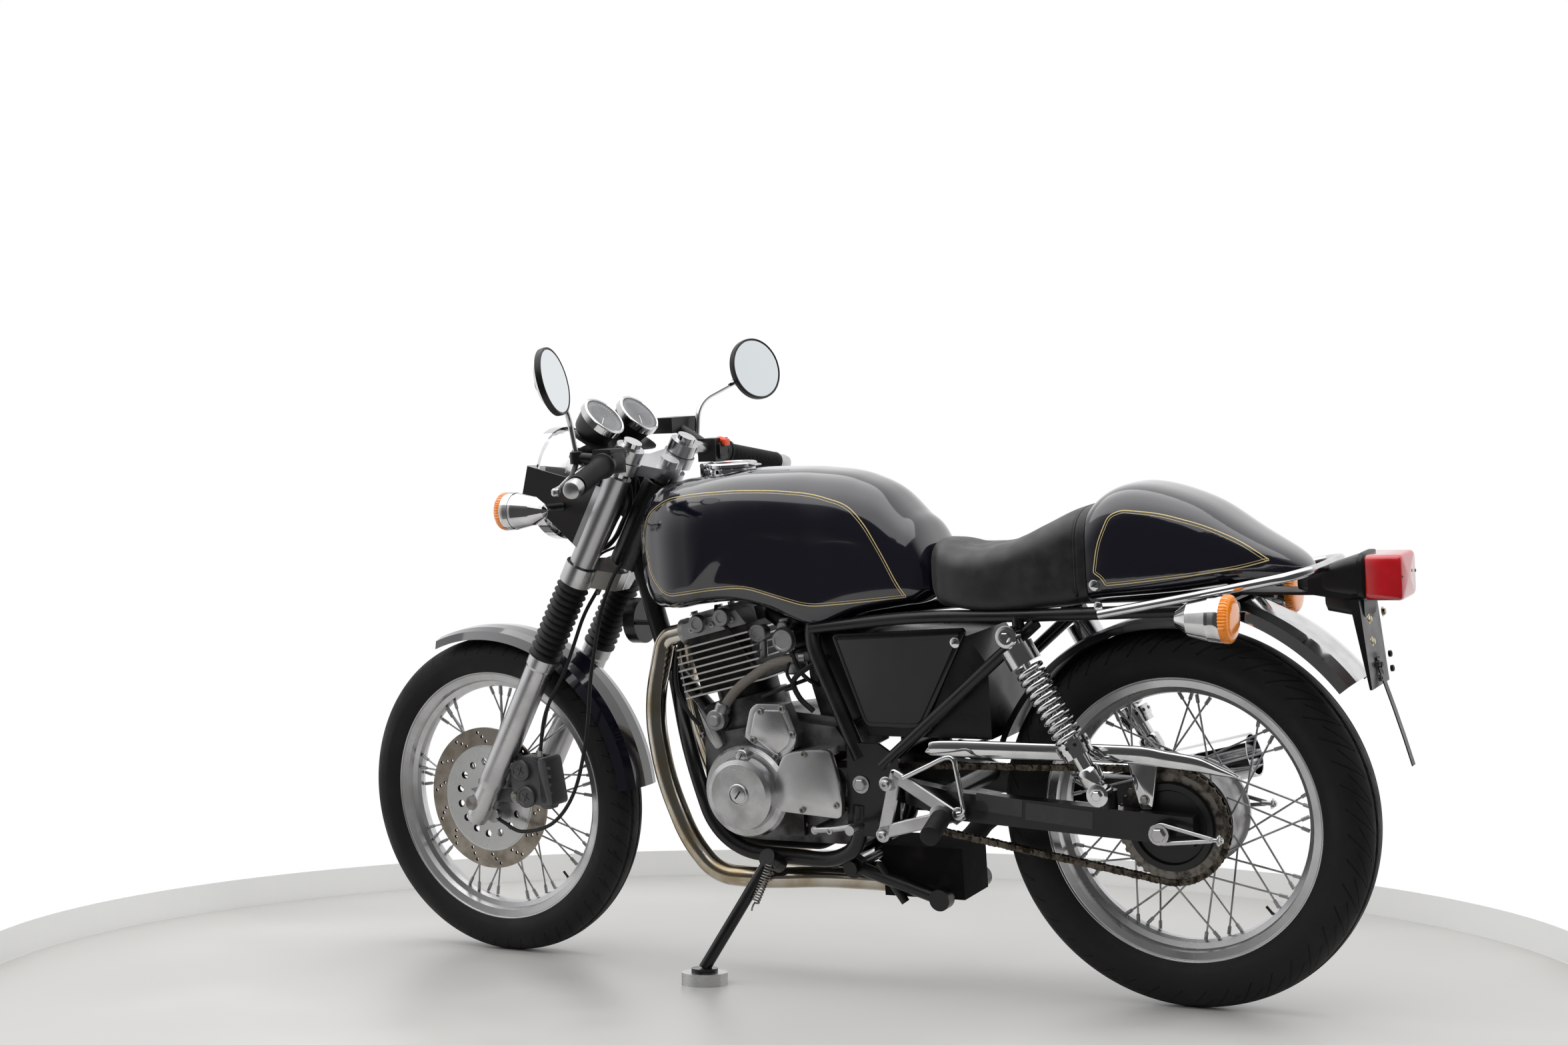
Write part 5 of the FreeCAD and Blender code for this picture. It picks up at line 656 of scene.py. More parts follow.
tank = joined("tank_shell", [grid(tank_points)], "tank_paint", "chassis", 60)
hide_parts("fuel_tank")
print("tank faces:", len(tank.data.polygons))

# %% [markdown]
# ## Gold lines
#
# Thin double lines are painted round the flank of the tank and of the seat cowl. They are
# ribbons laid on the paint: each point of a line drawn in side view is dropped onto the shell,
# and the ribbon is as wide as the brush and lies a hair above the paint.

# %% Lines on the paint
worn("gold_line", (0.74, 0.60, 0.30), 0.35, 0.2, (200,), ((), (0.78, 0.64, 0.33), (0.62, 0.48, 0.22)))


def laid_on(target, line, side, lift):
    """Points of a side-view line dropped onto a piece, with the normal at each."""
    tree = BVHTree.FromObject(target, bpy.context.evaluated_depsgraph_get())
    out = (UPRIGHT.to_3x3() @ Vector((0, side, 0))).normalized()
    found = []
    for x, z in line:
        start = UPRIGHT @ Vector((x, side * 400, z))
        spot, normal, _, _ = tree.ray_cast(start, -out)
        if spot is not None:
            if normal.dot(out) < 0:
                normal = -normal
            found.append((np.array(spot + normal * lift), np.array(normal)))
    return [np.array(part) for part in zip(*found)]


def ribbon(name, target, lines, width, finish, body, lift=0.0003, sides=(1, -1)):
    """A flat ribbon along each line: its edges lie half a width to both sides, on the surface."""
    parts = []
    for side in sides:
        for line in lines:
            spots, normals = laid_on(target, line, side, lift)
            way = np.gradient(spots, axis=0)
            across = np.cross(normals, way)
            across = across / np.linalg.norm(across, axis=1)[:, None] * width / 2000
            strip = np.stack([spots - across, spots + across], 1)
            normal = np.cross(strip[1:, 0] - strip[:-1, 0], strip[:-1, 1] - strip[:-1, 0])
            flip = float((normal * normals[:-1]).sum()) < 0
            parts.append(grid(strip, Matrix.Identity(4), (False, False), False, flip))
    return joined(name, parts, finish, body)


def closed_line(corners, radius, count=8, density=6.0):
    """A rounded closed outline with points every few millimetres."""
    outline = rounded_outline(corners, radius, count)
    outline = np.concatenate([outline, outline[:1]])
    length = np.concatenate([[0], np.cumsum(np.linalg.norm(np.diff(outline, axis=0), axis=1))])
    at = np.linspace(0, length[-1], int(length[-1] / density))
    return np.stack([np.interp(at, length, outline[:, 0]), np.interp(at, length, outline[:, 1])], 1)


def double_line(name, target, corners, bends, gap):
    """A broad line and, inside it, a thin one."""
    outer = closed_line(corners, bends, density=3.0)
    ribbon(name + "_wide", target, [outer], 1.6, "gold_line", "chassis")
    ribbon(name + "_thin", target, [inset(outer, gap)], 0.8, "gold_line", "chassis")


tank_line = [(980, 836), (966, 868), (926, 893), (860, 902), (780, 906), (705, 904), (630, 896), (561, 876), (525, 838),
             (502, 794), (478, 742), (462, 712), (560, 703), (647, 697), (700, 712), (770, 733), (850, 727), (930, 716),
             (962, 752)]
tank_bends = np.full((len(tank_line), 1), 26.0)
tank_bends[tank_line.index((462, 712))] = 2.5
double_line("tank_line", tank, tank_line, tank_bends, 4.2)
print("gold lines laid")

# %% [markdown]
# ### Lines on the seat hump
#
# The hump has the same pair of lines round its flank, with a sharp corner at the tail. They are
# dropped onto the solid itself, since the hump keeps its own shape.

# %% Lines on the seat hump
cowl_line = [(104, 757), (96, 802), (74, 851), (52, 860), (-12, 853), (-82, 832), (-139, 803), (-184, 771), (-138, 760),
             (-51, 749),
             (41, 739), (84, 735), (90, 747)]
cowl_bends = np.array([3, 20, 10, 10, 26, 26, 26, 2, 26, 26, 26, 3, 8.0])[:, None]
double_line("cowl_line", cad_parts["seat_cowl"], cowl_line, cowl_bends, 4.0)
print("hump lines laid")

# %% [markdown]
# ## Tyres
#
# Rubber with a rounded tread: the front has fine ribs and sipes, the rear long slanted grooves
# that meet at the middle. Cutting every sipe would take far too many faces, so the carcass is a
# turned profile whose two broad grooves are real, and the sipes are sums in the material, read
# from a map in millimetres round and across the tyre. The sipes are dented by a bump and painted
# near-black, which is painted shade inside the cuts.

# %% Tyres
BEAD_RADIUS = 243.0
TYRE_ROWS = [  # share of the half width, share of the height above the bead
    (0.62, -0.055), (0.68, -0.02), (0.76, 0.03), (0.84, 0.10), (0.93, 0.20), (1.0, 0.36), (0.99, 0.50), (0.95, 0.62),
    (0.88, 0.72), (0.80, 0.80), (0.66, 0.88), (0.5, 0.94), (0.36, 0.968), (0.25, 0.985), (0.12, 0.996), (0.0, 1.0)]


def tread_finish(name, slant, pitch, reach):
    """Tyre rubber whose sipes repeat round the tyre and lean back towards its edges, dented by a bump and painted
    near-black as painted shade.
    """
    finish = keep(name, Finish(name, (0.006, 0.006, 0.006), 0.6, specular_ior_level=0.3))
    around = finish.add("SeparateXYZ", {}, {0: finish.add("UVMap", {"uv_map": "UVMap"})})
    out = Flow(finish, around.socket.node.outputs[1]).math("ABSOLUTE")

    def cuts(lean, shift, narrow, wide):
        saw = ((around + out * lean + shift) * (1 / pitch)).math("FRACT")
        return finish.band((saw - 0.5).math("ABSOLUTE"), narrow, wide, 1.0, 0.0)

    def between(start, full, fade, end):
        return finish.band(out, reach * start, reach * full) * finish.band(out, reach * fade, reach * end, 1.0, 0.0)

    sipes = cuts(slant, 0.0, 0.05, 0.075) * between(0.10, 0.14, 1.0, 1.05)
    short = cuts(slant * 0.55, pitch * 0.5, 0.03, 0.055) * between(0.55, 0.6, 1.25, 1.32)
    sipe_and_shade = sipes.math("MAXIMUM", short)
    dust = finish.noise(11.0, 4.0)
    rubbery = finish.blend(finish.band(dust, *DUST, 0.5), (0.006, 0.006, 0.0062, 1), (0.020, 0.019, 0.018, 1))
    # The sipes are painted near-black: painted shade inside the cuts, not the rubber's own colour.
    finish.put(base_color=finish.blend(sipe_and_shade, rubbery, (0.0008, 0.0008, 0.0008, 1)),
               roughness=finish.band(dust, 0.3, 0.7, 0.5, 0.74))
    finish.bump(finish.noise(520.0, 2.0) * 0.1 - sipe_and_shade * 1.2, 1.0, 0.004)


def tyre_piece(name, place, centre, half, radius, finish, body, groove):
    """The profile turned about the axle in 288 steps, with its own map in millimetres.

    A groove is (place across, width, depth): the radius falls by depth*exp(-(distance/width)^4)."""
    height = radius - BEAD_RADIUS
    fine = smooth(np.array([(half * a, BEAD_RADIUS + height * u) for a, u in TYRE_ROWS]), 5)
    fine[:, 1] -= groove[2] * np.exp(-((fine[:, 0] - groove[0]) / groove[1]) ** 4)
    profile = np.concatenate([fine, (fine * (-1, 1))[::-1][1:]])
    run = np.concatenate([[0], np.cumsum(np.linalg.norm(np.diff(profile, axis=0), axis=1))])
    run -= run[-1] / 2
    angle = np.linspace(0, 2 * np.pi, 289)
    x = centre[0] + profile[:, 1][None] * np.cos(angle)[:, None]
    z = centre[2] + profile[:, 1][None] * np.sin(angle)[:, None]
    y = np.broadcast_to(profile[:, 0][None], x.shape)
    uv = np.stack([np.broadcast_to(angle[:, None] * radius, x.shape), np.broadcast_to(run[None], x.shape)], -1)
    shape = grid(np.stack([x, y, z], -1), place, (False, False), False, None, uv)
    return joined(name, [shape], finish, body, 60)


tread_finish("front_tread", 1.1, 2 * math.pi * FRONT_RADIUS / 58, 46.0)
tread_finish("rear_tread", 2.0, 2 * math.pi * REAR_RADIUS / 44, 60.0)
front = tyre_piece("front_tyre_tread", STEERED, FRONT_AXLE, 45, FRONT_RADIUS, "front_tread", "front_wheel",
                   (12, 2.2, 4))
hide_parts("front_tyre")
rear = tyre_piece("rear_tyre_tread", UPRIGHT, REAR_AXLE, 55, REAR_RADIUS, "rear_tread", "rear_wheel", (16, 2.4, 5))
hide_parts("rear_tyre")
print("tyres:", len(front.data.polygons), len(rear.data.polygons))

# %% [markdown]
# ## Rim lips
#
# The edge of an alloy rim is rolled over and polished, so it shows as a bright line inside the
# black tyre. Each lip is a small turned bead, and beside one spoke a valve stands inward.

# %% Lips and valves
VALVE_ANGLE, VALVE_FOOT = 4.0, 196
BEAD = [(-3.0, 240.2), (0.6, 240.6), (1.9, 241.8), (2.2, 243.2), (1.2, 244.6), (-1.0, 245.2), (-3.0, 244.6)]
STEM = [(0, 2.4), (14, 2.4), (15, 3.2), (19, 3.2), (20, 4.2), (26, 4.6)]
out = np.array((math.cos(VALVE_ANGLE), 0, math.sin(VALVE_ANGLE)))
for name, place, centre, half in (("front", STEERED, FRONT_AXLE, 30), ("rear", UPRIGHT, REAR_AXLE, 38)):
    lips = [lathe(BEAD, (centre[0], half * side, centre[2]), (0, side, 0), 180, place, True) for side in (1, -1)]
    joined(name + "_rim_lips", lips, "satin_alloy", name + "_wheel", 50)
    stem = lathe(STEM, np.array(centre) + VALVE_FOOT * out, out, 16, place)
    joined(name + "_valve", [stem], "black_rubber", name + "_wheel", 50)
print("rims have lips")

# %% [markdown]
# ## The seat
#
# One foam block under black leather: low where the rider sits, rising to the tail hump, with a
# piped seam before it. It could be blown up as cloth, but leather drawn over firm foam hardly
# moves, so its sections are modelled, with shallow creases where it is sat on.

# %% Seat cushion
RAILS = [((445, 100, 672), (246, 100, 683)), ((246, 100, 683), (77, 108, 690))]
RAIL_ROOM, SEAM_AT = 12.5, 136

cushion = boxy_skin(SEAT_ROWS, 300, 183, 122, 118.4, 687, 150, 144)
x, y, z = cushion[..., 0], cushion[..., 1], cushion[..., 2]
sat = soft_step(x, 190, 260) * (1 - soft_step(x, 370, 415)) * soft_step(z, 740, 790)
z = z + sat * (0.9 * np.sin(x / 7.5 + np.abs(y) / 26) * np.cos(y / 31) - 1.2 * np.exp(-(y / 60) ** 2))
seam = np.exp(-((x - SEAM_AT) / 2.6) ** 2)
points = np.stack([x, y * (1 - 0.012 * seam), z - 1.6 * seam * soft_step(z, 720, 760)], -1)
for start, end in RAILS:
    for side in (1, -1):
        a, b = (np.array(end_point, float) * (1, side, 1) for end_point in (start, end))
        points = pushed_off(points, a, (b - a) / np.linalg.norm(b - a), RAIL_ROOM)
seat = joined("seat_cushion", [grid(points)], "seat_leather", "chassis", 70)
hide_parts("seat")
ring = points[int(np.argmin(np.abs(points[:, 0, 0] - SEAM_AT)))]
ring = ring[ring[:, 2] > 716]
ring = ring[np.argsort(np.arctan2(ring[:, 2] - 740, ring[:, 1]))]
joined("seat_piping", [sweep(ring[::3], 1.9, 10)], "seat_leather", "chassis", 70)
print("seat faces:", len(seat.data.polygons))

# %% [markdown]
# ## Fins with bright edges
#
# The cylinder's fins are painted dark and machined bright at their rims. Where a point lies in
# the cylinder's own frame says whether it is on a rim, so the paint is a sum of that place.

# %% Fins, head and covers
def in_frame(finish, place):
    """The point in one of the frames, in millimetres, as three flows."""
    back = place.inverted()
    return [finish.add("VectorMath", {"operation": "DOT_PRODUCT"}, {0: finish.place, 1: tuple(row[:3])}, 1) + row[3]
            for row in list(back)[:3]]


fins = keep("fin_paint", Finish("fin_paint", (0.05, 0.05, 0.05), 0.45, 0.8))
along, across, _ = in_frame(fins, BARREL)
rim = fins.band(along.math("ABSOLUTE"), 76, 78).math("MAXIMUM", fins.band(across.math("ABSOLUTE"), 80.2, 81.2))
soot = fins.noise(30.0, 3.0)
dark = fins.blend(fins.band(soot, 0.4, 0.7), (0.035, 0.034, 0.033, 1), (0.085, 0.08, 0.075, 1))
fins.put(base_color=fins.blend(rim, dark, (0.62, 0.61, 0.59, 1)), roughness=fins.band(soot, 0.3, 0.7, 0.34, 0.55))
fins.bump(fins.noise(420.0, 2.0), 0.15, 0.0004)
dress("cylinder", "fin_paint")

BOSS = [(0, 17), (9, 17), (13, 15), (13, 9), (11, 8), (11, 0.5)]
heads = []
for sign in (1, -1):
    for spot in (42, -40):
        heads += bolt((spot, 46 * sign, 329.0), (0, 0, 1), 6.5, 6, BARREL)
    for spot in (-44, 0, 44):
        heads += cap_screw((spot, 66.2 * sign, 303), (0, sign, 0), 5.5, 4, BARREL)
    for spot in (26, -28):
        heads.append(lathe(BOSS, (spot, 66.2 * sign, 311), (0, sign, 0), 32, BARREL))
joined("head_fittings", heads, "cast_alloy", "chassis", 40)
print("head fittings:", len(heads))

# %% [markdown]
# ### Ground face of the flywheel cover
#
# The cover was faced on a lathe, which leaves fine circles round its middle. They are the sine of
# the distance from that middle, with a little noise so that they aren't perfect.

# %% Ground face of the flywheel cover
COVER_MIDDLE = (786, 364)


def distance_from(finish, x, z):
    """How far a point lies from an axis that runs across the machine, in millimetres."""
    along, _, up = in_frame(finish, UPRIGHT)
    along, up = along - x, up - z
    return (along * along + up * up).math("SQRT")


ground = keep("ground_cover", Finish("ground_cover", (0.55, 0.55, 0.56), 0.28, 1.0))
circles = (distance_from(ground, *COVER_MIDDLE) * 2.4 + ground.noise(30.0) * 3.0).math("SINE")
cloud = ground.noise(18.0, 4.0)
ground.put(base_color=ground.blend(ground.band(cloud, 0.4, 0.75), (0.62, 0.62, 0.63, 1), (0.40, 0.40, 0.40, 1)),
           roughness=ground.band(cloud, 0.3, 0.7, 0.22, 0.36))
ground.bump(circles, 0.10, 0.0003)
dress("flywheel_cover", "ground_cover")
print("flywheel cover is ground")

# %% [markdown]
# ### Two-tone parts
#
# The lamp's arm is black while its shell on the fork is satin, and the sprocket has a black
# carrier inside its steel teeth. Both are one solid, so the place of a point chooses the tone.

# %% Two-tone parts
ears = keep("ear_finish", Finish("ear_finish", (0.5, 0.5, 0.5), 0.3, 1.0))
ahead = in_frame(ears, FORK)[0]
arm_part = ears.band(ahead, 60.0, 61.5)
ears.put(base_color=ears.blend(arm_part, (0.50, 0.50, 0.51, 1), (0.004, 0.004, 0.0045, 1)), metallic=1 - arm_part)
dress("headlight_ears", "ear_finish")

carrier = keep("sprocket_finish", Finish("sprocket_finish", (0.2, 0.19, 0.18), 0.42, 1.0))
toothed = carrier.band(distance_from(carrier, 0, REAR_RADIUS), 76.0, 77.0)
oily = carrier.band(carrier.noise(70.0, 4.0), 0.4, 0.7)
teeth = carrier.blend(oily, (0.22, 0.20, 0.18, 1), (0.05, 0.042, 0.035, 1))
carrier.put(base_color=carrier.blend(toothed, (0.006, 0.006, 0.006, 1), teeth), metallic=toothed)
dress("rear_sprocket", "sprocket_finish")
print("two-tone finishes are on")

# %% [markdown]
# ## Engine covers
#
# The round flywheel cover has a ground face, a large slotted plug at its middle and a small one
# above. The covers beside it are held by socket screws along their edges.

# %% Plugs and screws of the covers
def slotted_plug(centre, axis, radius, height, place=UPRIGHT, slot=0.62, turn=0.9):
    """A plug with a rounded rim, and a dark bar in place of the slot's shadow."""
    rows = [(0, radius * 1.12), (height * 0.3, radius * 1.12), (height * 0.35, radius), (height * 0.8, radius),
            (height, radius * 0.88), (height, radius * 0.02)]
    first, second, way = basis(axis)
    face = np.asarray(centre, float) + way * (height + 0.2)
    length, width = radius * slot, max(radius * 0.1, 0.8)
    line = math.cos(turn) * first + math.sin(turn) * second
    side = np.cross(way, line)
    corners = np.array([face - line * length - side * width, face + line * length - side * width,
                        face + line * length + side * width, face - line * length + side * width])
    quad = np.stack([corners, corners - way * 0.6])
    return lathe(rows, centre, axis, 36, place), grid(quad[::-1], place)


plug, slot_shade_bar = slotted_plug((786, 156.5, 364), (0, 1, 0), 14.5, 3.0)
small_plug, small_slot_shade = slotted_plug((781, 146.0, 431), (0, 1, 0), 9.0, 3.0)
boss = lathe([(0, 14), (11, 13), (12.5, 11.5), (12.5, 1)], (781, 134.0, 431), (0, 1, 0), 36)
collar = lathe([(0, 20), (2.2, 20), (3.4, 18.5), (3.4, 16.8), (1.2, 16.2)], (786, 156.2, 364), (0, 1, 0), 48)
joined("cover_plugs", [plug, small_plug, boss, collar], "satin_alloy", "chassis")
# The slots are black bars: painted shadow of the slots.
joined("cover_plug_slot_shades", [slot_shade_bar, small_slot_shade], "black_plastic", "chassis")

STARTER_CORNERS = [(706, 522), (765, 522), (779, 511), (794, 459), (728, 414), (693, 440), (684, 468)]
SPROCKET_CORNERS = [(654, 446), (608, 447), (596, 400), (589, 352), (592, 328), (600, 323), (728, 332), (726, 385),
                    (704, 436)]
faces = [raised(STARTER_CORNERS, 102, 8, bevel=3.5, radius=12, step=(12.0, 2.2)),
         raised(SPROCKET_CORNERS, 124, 10.5, bevel=4, radius=16)]
joined("cover_faces", faces, "cover_alloy", "chassis", 30)
screws = []
for x, z in ((755, 507), (711, 514), (693, 468), (727, 427), (773, 456)):
    screws += cap_screw((x, 110.2, z), (0, 1, 0), 5.6, 5.0)
    screws.append(lathe([(0, 8.6), (1.6, 8.2), (2.0, 6.4)], (x, 110.0, z), (0, 1, 0), 24))
for level, tall, places in ((134.6, 4.0, ((660, 438), (669, 337), (600, 348))),
                            (68.6, 6.0, ((868, 438), (905, 452), (900, 330), (872, 290), (700, 296)))):
    for x, z in places:
        screws += cap_screw((x, level, z), (0, 1, 0), 5.6, tall)
joined("cover_screws", screws, "plain_steel", "chassis")
print("cover screws:", len(screws))

# %% [markdown]
# ## Carburettor and fuel tap
#
# Behind the cylinder sits the carburettor with its round silver cap and its float bowl. The fuel
# tap is over it, and the starter motor's end shows before the engine.

# %% Carburettor and fuel tap
parts = [lathe([(0, 21), (5, 21), (7, 19.5), (7, 16), (5.5, 14.5), (5.5, 1)], (716, 79, 632), (0, 1, 0), 40),
         lathe([(-24, 20), (-22, 22), (22, 22), (24, 20)], (716, 52, 632), (0, 1, 0), 40),
         lathe([(0, 25), (6, 25), (7, 23), (30, 21), (34, 14), (34, 1)], (716, 42, 600), (0, 0, -1), 36)]
for x, z in ((700, 646), (732, 646), (700, 618), (732, 618)):
    parts += cap_screw((x, 74, z), (0, 1, 0), 3.6, 3.0)
parts += [lathe([(0, 17), (3, 17), (4.5, 15.5), (4.5, 12), (3.5, 11), (3.5, 0.5)], (778, 62, 642), (0, 1, 0), 36),
          lathe([(0, 13), (26, 13)], (778, 38, 642), (0, 1, 0), 30),
          lathe([(0, 8), (30, 8), (32, 6), (32, 1)], (772, 56, 628), (0, 0, -1), 24)]
joined("carburettor_fittings", parts, "cast_alloy", "chassis")

tap = [lathe([(0, 11), (14, 11), (16, 9), (16, 1)], (723, 56, 654), (0, 1, 0), 28),
       raised([(716, 640), (734, 640), (734, 668), (716, 668)], 52, 8, bevel=1.5, radius=4),
       lathe([(0, 6), (18, 6), (20, 4), (20, 0.5)], (724, 62, 640), (0, 0, -1), 20)]
joined("fuel_tap", tap, "cast_alloy", "chassis")
starter = [lathe([(0, 24), (3, 26), (40, 26), (46, 22), (46, 1)], (866, 44, 490), (0, 1, 0), 40)]
joined("starter_motor_end", starter, "black_plastic", "chassis")
print("carburettor fittings:", len(parts))

# %% [markdown]
# ## Hoses
#
# A braided oil hose climbs across the engine from its pump, and thin black hoses run between the
# tank, the carburettor and the crankcase. Each hose is one circle carried along a smooth line,
# and the braid is two crossing waves in the material.

# %% Hoses
braid = keep("braided_hose", Finish("braided_hose", (0.16, 0.14, 0.12), 0.6, 0.2))
along, _, up = in_frame(braid, UPRIGHT)
weave = (along * 2.2 + up * 2.2).math("SINE") * (along * 2.2 - up * 2.2).math("SINE")
braid.put(base_color=braid.blend(braid.band(weave, -0.6, 0.6), (0.07, 0.062, 0.055, 1), (0.30, 0.27, 0.235, 1)))
braid.bump(weave, 0.6, 0.0008)
braided = [(848, 82, 498), (840, 84, 516), (812, 86, 545), (776, 84, 570), (744, 80, 588), (706, 72, 597),
           (676, 52, 599),
           (655, 40, 590)]
joined("braided_hose", [sweep(braided, 9.0, 16)], "braided_hose", "chassis", 50)

pump = [(0, 19), (16, 19), (18, 17), (18, 12), (24, 11), (26, 9), (26, 1)]
clips = [lathe([(-5, 10.3), (5, 10.3)], (845, 83, 505), (-0.45, 0.05, 0.9), 24),
         lathe([(-5, 10.3), (5, 10.3)], (690, 64, 598), (-0.9, -0.35, 0.05), 24),
         lathe(pump, (857, 84, 487), (0, 1, 0), 32),
         lathe([(0, 13), (30, 12), (34, 9), (34, 1)], (857, 88, 487), (-0.4, 0.1, 0.92), 28),
         raised([(884, 500), (900, 520), (880, 455), (862, 430), (846, 440), (862, 470)], 83, 12, bevel=2, radius=8)]
joined("oil_fittings", clips, "cast_alloy", "chassis")

HOSES = [  # radius, count round, route
    (4.2, 12, [(868, 50, 690), (861, 62, 674), (838, 66, 650), (815, 67, 624), (795, 72, 600), (777, 78, 577)]),
    (4.0, 12, [(723, 60, 650), (716, 70, 626), (700, 76, 602), (690, 78, 580), (672, 78, 562), (660, 60, 548)]),
    (3.2, 10, [(735, 40, 660), (712, 66, 648), (703, 74, 610), (712, 82, 575), (700, 84, 550), (716, 86, 543)]),
    (4.0, 12, [(940, 40, 640), (960, 48, 600), (955, 66, 540), (930, 76, 500), (905, 74, 470)]),
    (3.6, 10, [(680, 60, 560), (720, 84, 546), (742, 88, 538), (764, 86, 530)]),
    (5.0, 12, [(640, 60, 600), (668, 78, 585), (700, 80, 560), (690, 82, 530), (664, 80, 505)])]
hoses = [sweep(route, radius, count) for radius, count, route in HOSES]
joined("black_hoses", hoses, "black_rubber", "chassis", 60)
print("hoses:", len(hoses) + 1)

# %% [markdown]
# ## Shock absorbers
#
# Chrome bodies with a lower adjuster ring full of round holes, dark slotted cups, and big bolt
# heads at both eyes. The springs and bodies are solids already, so only the small parts are added.
# The adjuster's holes are black discs, which are painted shade inside the holes.

# %% Shock absorber details
SHOCK_TOP, SHOCK_FOOT = np.array((246.0, 145, 655)), np.array((98.0, 145, 392))
SHOCK_RIB = [(0, 14.4), (1, 16.2), (4, 16.2), (5, 14.4)]
CUPS = [(0.235, [(0, 27), (16, 27), (18, 25), (18, 15)], 40), (0.06, [(0, 18), (5, 20), (26, 20), (30, 17)], 40)]
CUPS += [(0.45 + 0.075 * step, SHOCK_RIB, 32) for step in range(5)]  # share of the way up, profile, count
RING_SHARE, RING_RADIUS = 0.30, 28.8

span = SHOCK_TOP - SHOCK_FOOT
bolts, hole_shades, cups = [], [], []
for sign in (1, -1):
    flat = np.array((1, sign, 1))
    way = span / np.linalg.norm(span) * flat
    for eye in (SHOCK_TOP, SHOCK_FOOT):
        bolts += bolt(eye * flat + (0, 17 * sign, 0), (0, sign, 0), 9, 8)
        bolts.append(lathe([(0, 19), (2.4, 19), (3, 18)], eye * flat + (0, 15.5 * sign, 0), (0, sign, 0), 36))
    first, second, _ = basis(way)
    for angle in np.linspace(0, 2 * np.pi, 12, endpoint=False):
        out = math.cos(angle) * first + math.sin(angle) * second
        spot = (SHOCK_FOOT + span * RING_SHARE) * flat + out * RING_RADIUS
        # Each hole is a black disc: painted shade inside the hole.
        hole_shades.append(lathe([(0, 3.4), (0.8, 3.2), (0.8, 0.2)], spot, out, 16))
    cups += [lathe(rows, (SHOCK_FOOT + span * share) * flat, way, count) for share, rows, count in CUPS]
joined("shock_bolts", bolts, "bright_chrome", "chassis")
joined("shock_adjuster_hole_shades", hole_shades, "black_plastic", "chassis")
joined("shock_cups", cups, "bright_chrome", "chassis")
print("shock parts:", len(bolts) + len(hole_shades) + len(cups))

# %% [markdown]
# ## Turn signals
#
# Chrome bullets with a ribbed orange lens at their open end. The lens is turned, and its radius
# swells a little at each of its ribs.

# %% Ribbed lenses
LENS_ROWS = np.array([(0.0, 0.985), (0.02, 1.03), (0.30, 1.04), (0.46, 1.0), (0.56, 0.92), (0.62, 0.78), (0.655, 0.5),
                      (0.66, 0.02)])  # share of the reach, share of the radius
RIM_ROWS = [(-8, 0.5), (0, 1.2), (6, 1.8), (9, 1.0), (10, -1.4)]
SIGNALS = {"steering": (1181.7, 215, 880, 1, 33.4, STEERED), "chassis": (-131.7, 175, 690, -1, 37.4, UPRIGHT)}


def ribbed_lens(centre, facing, radius, reach, place):
    """Radius = profile * (1 + 0.016*sign(cos(44*angle))) on the band, so that the ribs run along the axis."""
    angle = np.linspace(0, 2 * np.pi, 176, endpoint=False)
    share = LENS_ROWS[:, 1][:, None]
    r = share * radius * (1 + 0.016 * np.sign(np.cos(44 * angle)) * (share > 0.7))
    x = centre[0] + facing * (0.3 + LENS_ROWS[:, 0])[:, None] * reach + 0 * r
    return grid(np.stack([x, centre[1] + r * np.cos(angle), centre[2] + r * np.sin(angle)], -1), place)


for body, (x, out, z, facing, radius, place) in SIGNALS.items():
    lenses = [ribbed_lens((x, out * side, z), facing, radius, 26, place) for side in (1, -1)]
    joined("lenses_" + body, lenses, "amber_lens", body, 30)
    rows = [(along, radius + more) for along, more in RIM_ROWS]
    rims = [lathe(rows, (x - 0.7 * facing, out * side, z), (facing, 0, 0), 48, place, True) for side in (1, -1)]
    joined("lens_rings_" + body, rims, "bright_chrome", body)
print("lenses:", 2 * len(SIGNALS))

# %% [markdown]
# ## Tail light and plate bracket
#
# A black housing that narrows forward, with a raised rib before its rectangular red lens, and
# under it a plain folded bracket with its bolts and a thin hanging strip.

# %% Tail light
def lofted(sections, place=UPRIGHT, power=5.0, around=64):
    """Rounded boxes joined along x: each section is (x, middle y, middle z, half width, half height)."""
    angle = np.linspace(0, 2 * np.pi, around, endpoint=False)
    cos, sin = np.cos(angle), np.sin(angle)
    box_y = np.sign(cos) * np.abs(cos) ** (2 / power)
    box_z = np.sign(sin) * np.abs(sin) ** (2 / power)
    rows = [np.stack([np.full(around, x), y + wide * box_y, z + tall * box_z], -1) for x, y, z, wide, tall in sections]
    return grid(np.array(rows), place)


housing = [lofted([(-216, 0, 729, 30, 8), (-219, 0, 729, 36, 12), (-240, 0, 731, 42, 18), (-270, 0, 734, 45, 25),
                   (-300, 0, 737, 46.5, 32), (-318, 0, 738, 47, 36), (-320, 0, 738, 50, 39), (-327, 0, 738, 50, 39),
                   (-329, 0, 738, 47, 37), (-331, 0, 738, 46, 36)]),
           lofted([(-262, 0, 706, 34, 16), (-266, 0, 702, 38, 20), (-322, 0, 694, 38, 22), (-326, 0, 692, 36, 20)])]
joined("tail_housing", housing, "black_plastic", "chassis", 50)
lens = [lofted([(x, 0, 737.5, wide, tall) for x, wide, tall in
                ((-331.5, 44, 36), (-333, 45, 37), (-384, 45, 37), (-388, 43.5, 35.5), (-390, 40, 32), (-390.4, 2, 2))],
               UPRIGHT, 9.0)]
tail_lens = joined("tail_lens_shell", lens, "ruby_lens", "chassis", 50)
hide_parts("tail_lens")
lens_screws = cap_screw((-390.2, 38, 740), (-1, 0, 0), 2.6, 1.5) + cap_screw((-390.2, -38, 740), (-1, 0, 0), 2.6, 1.5)
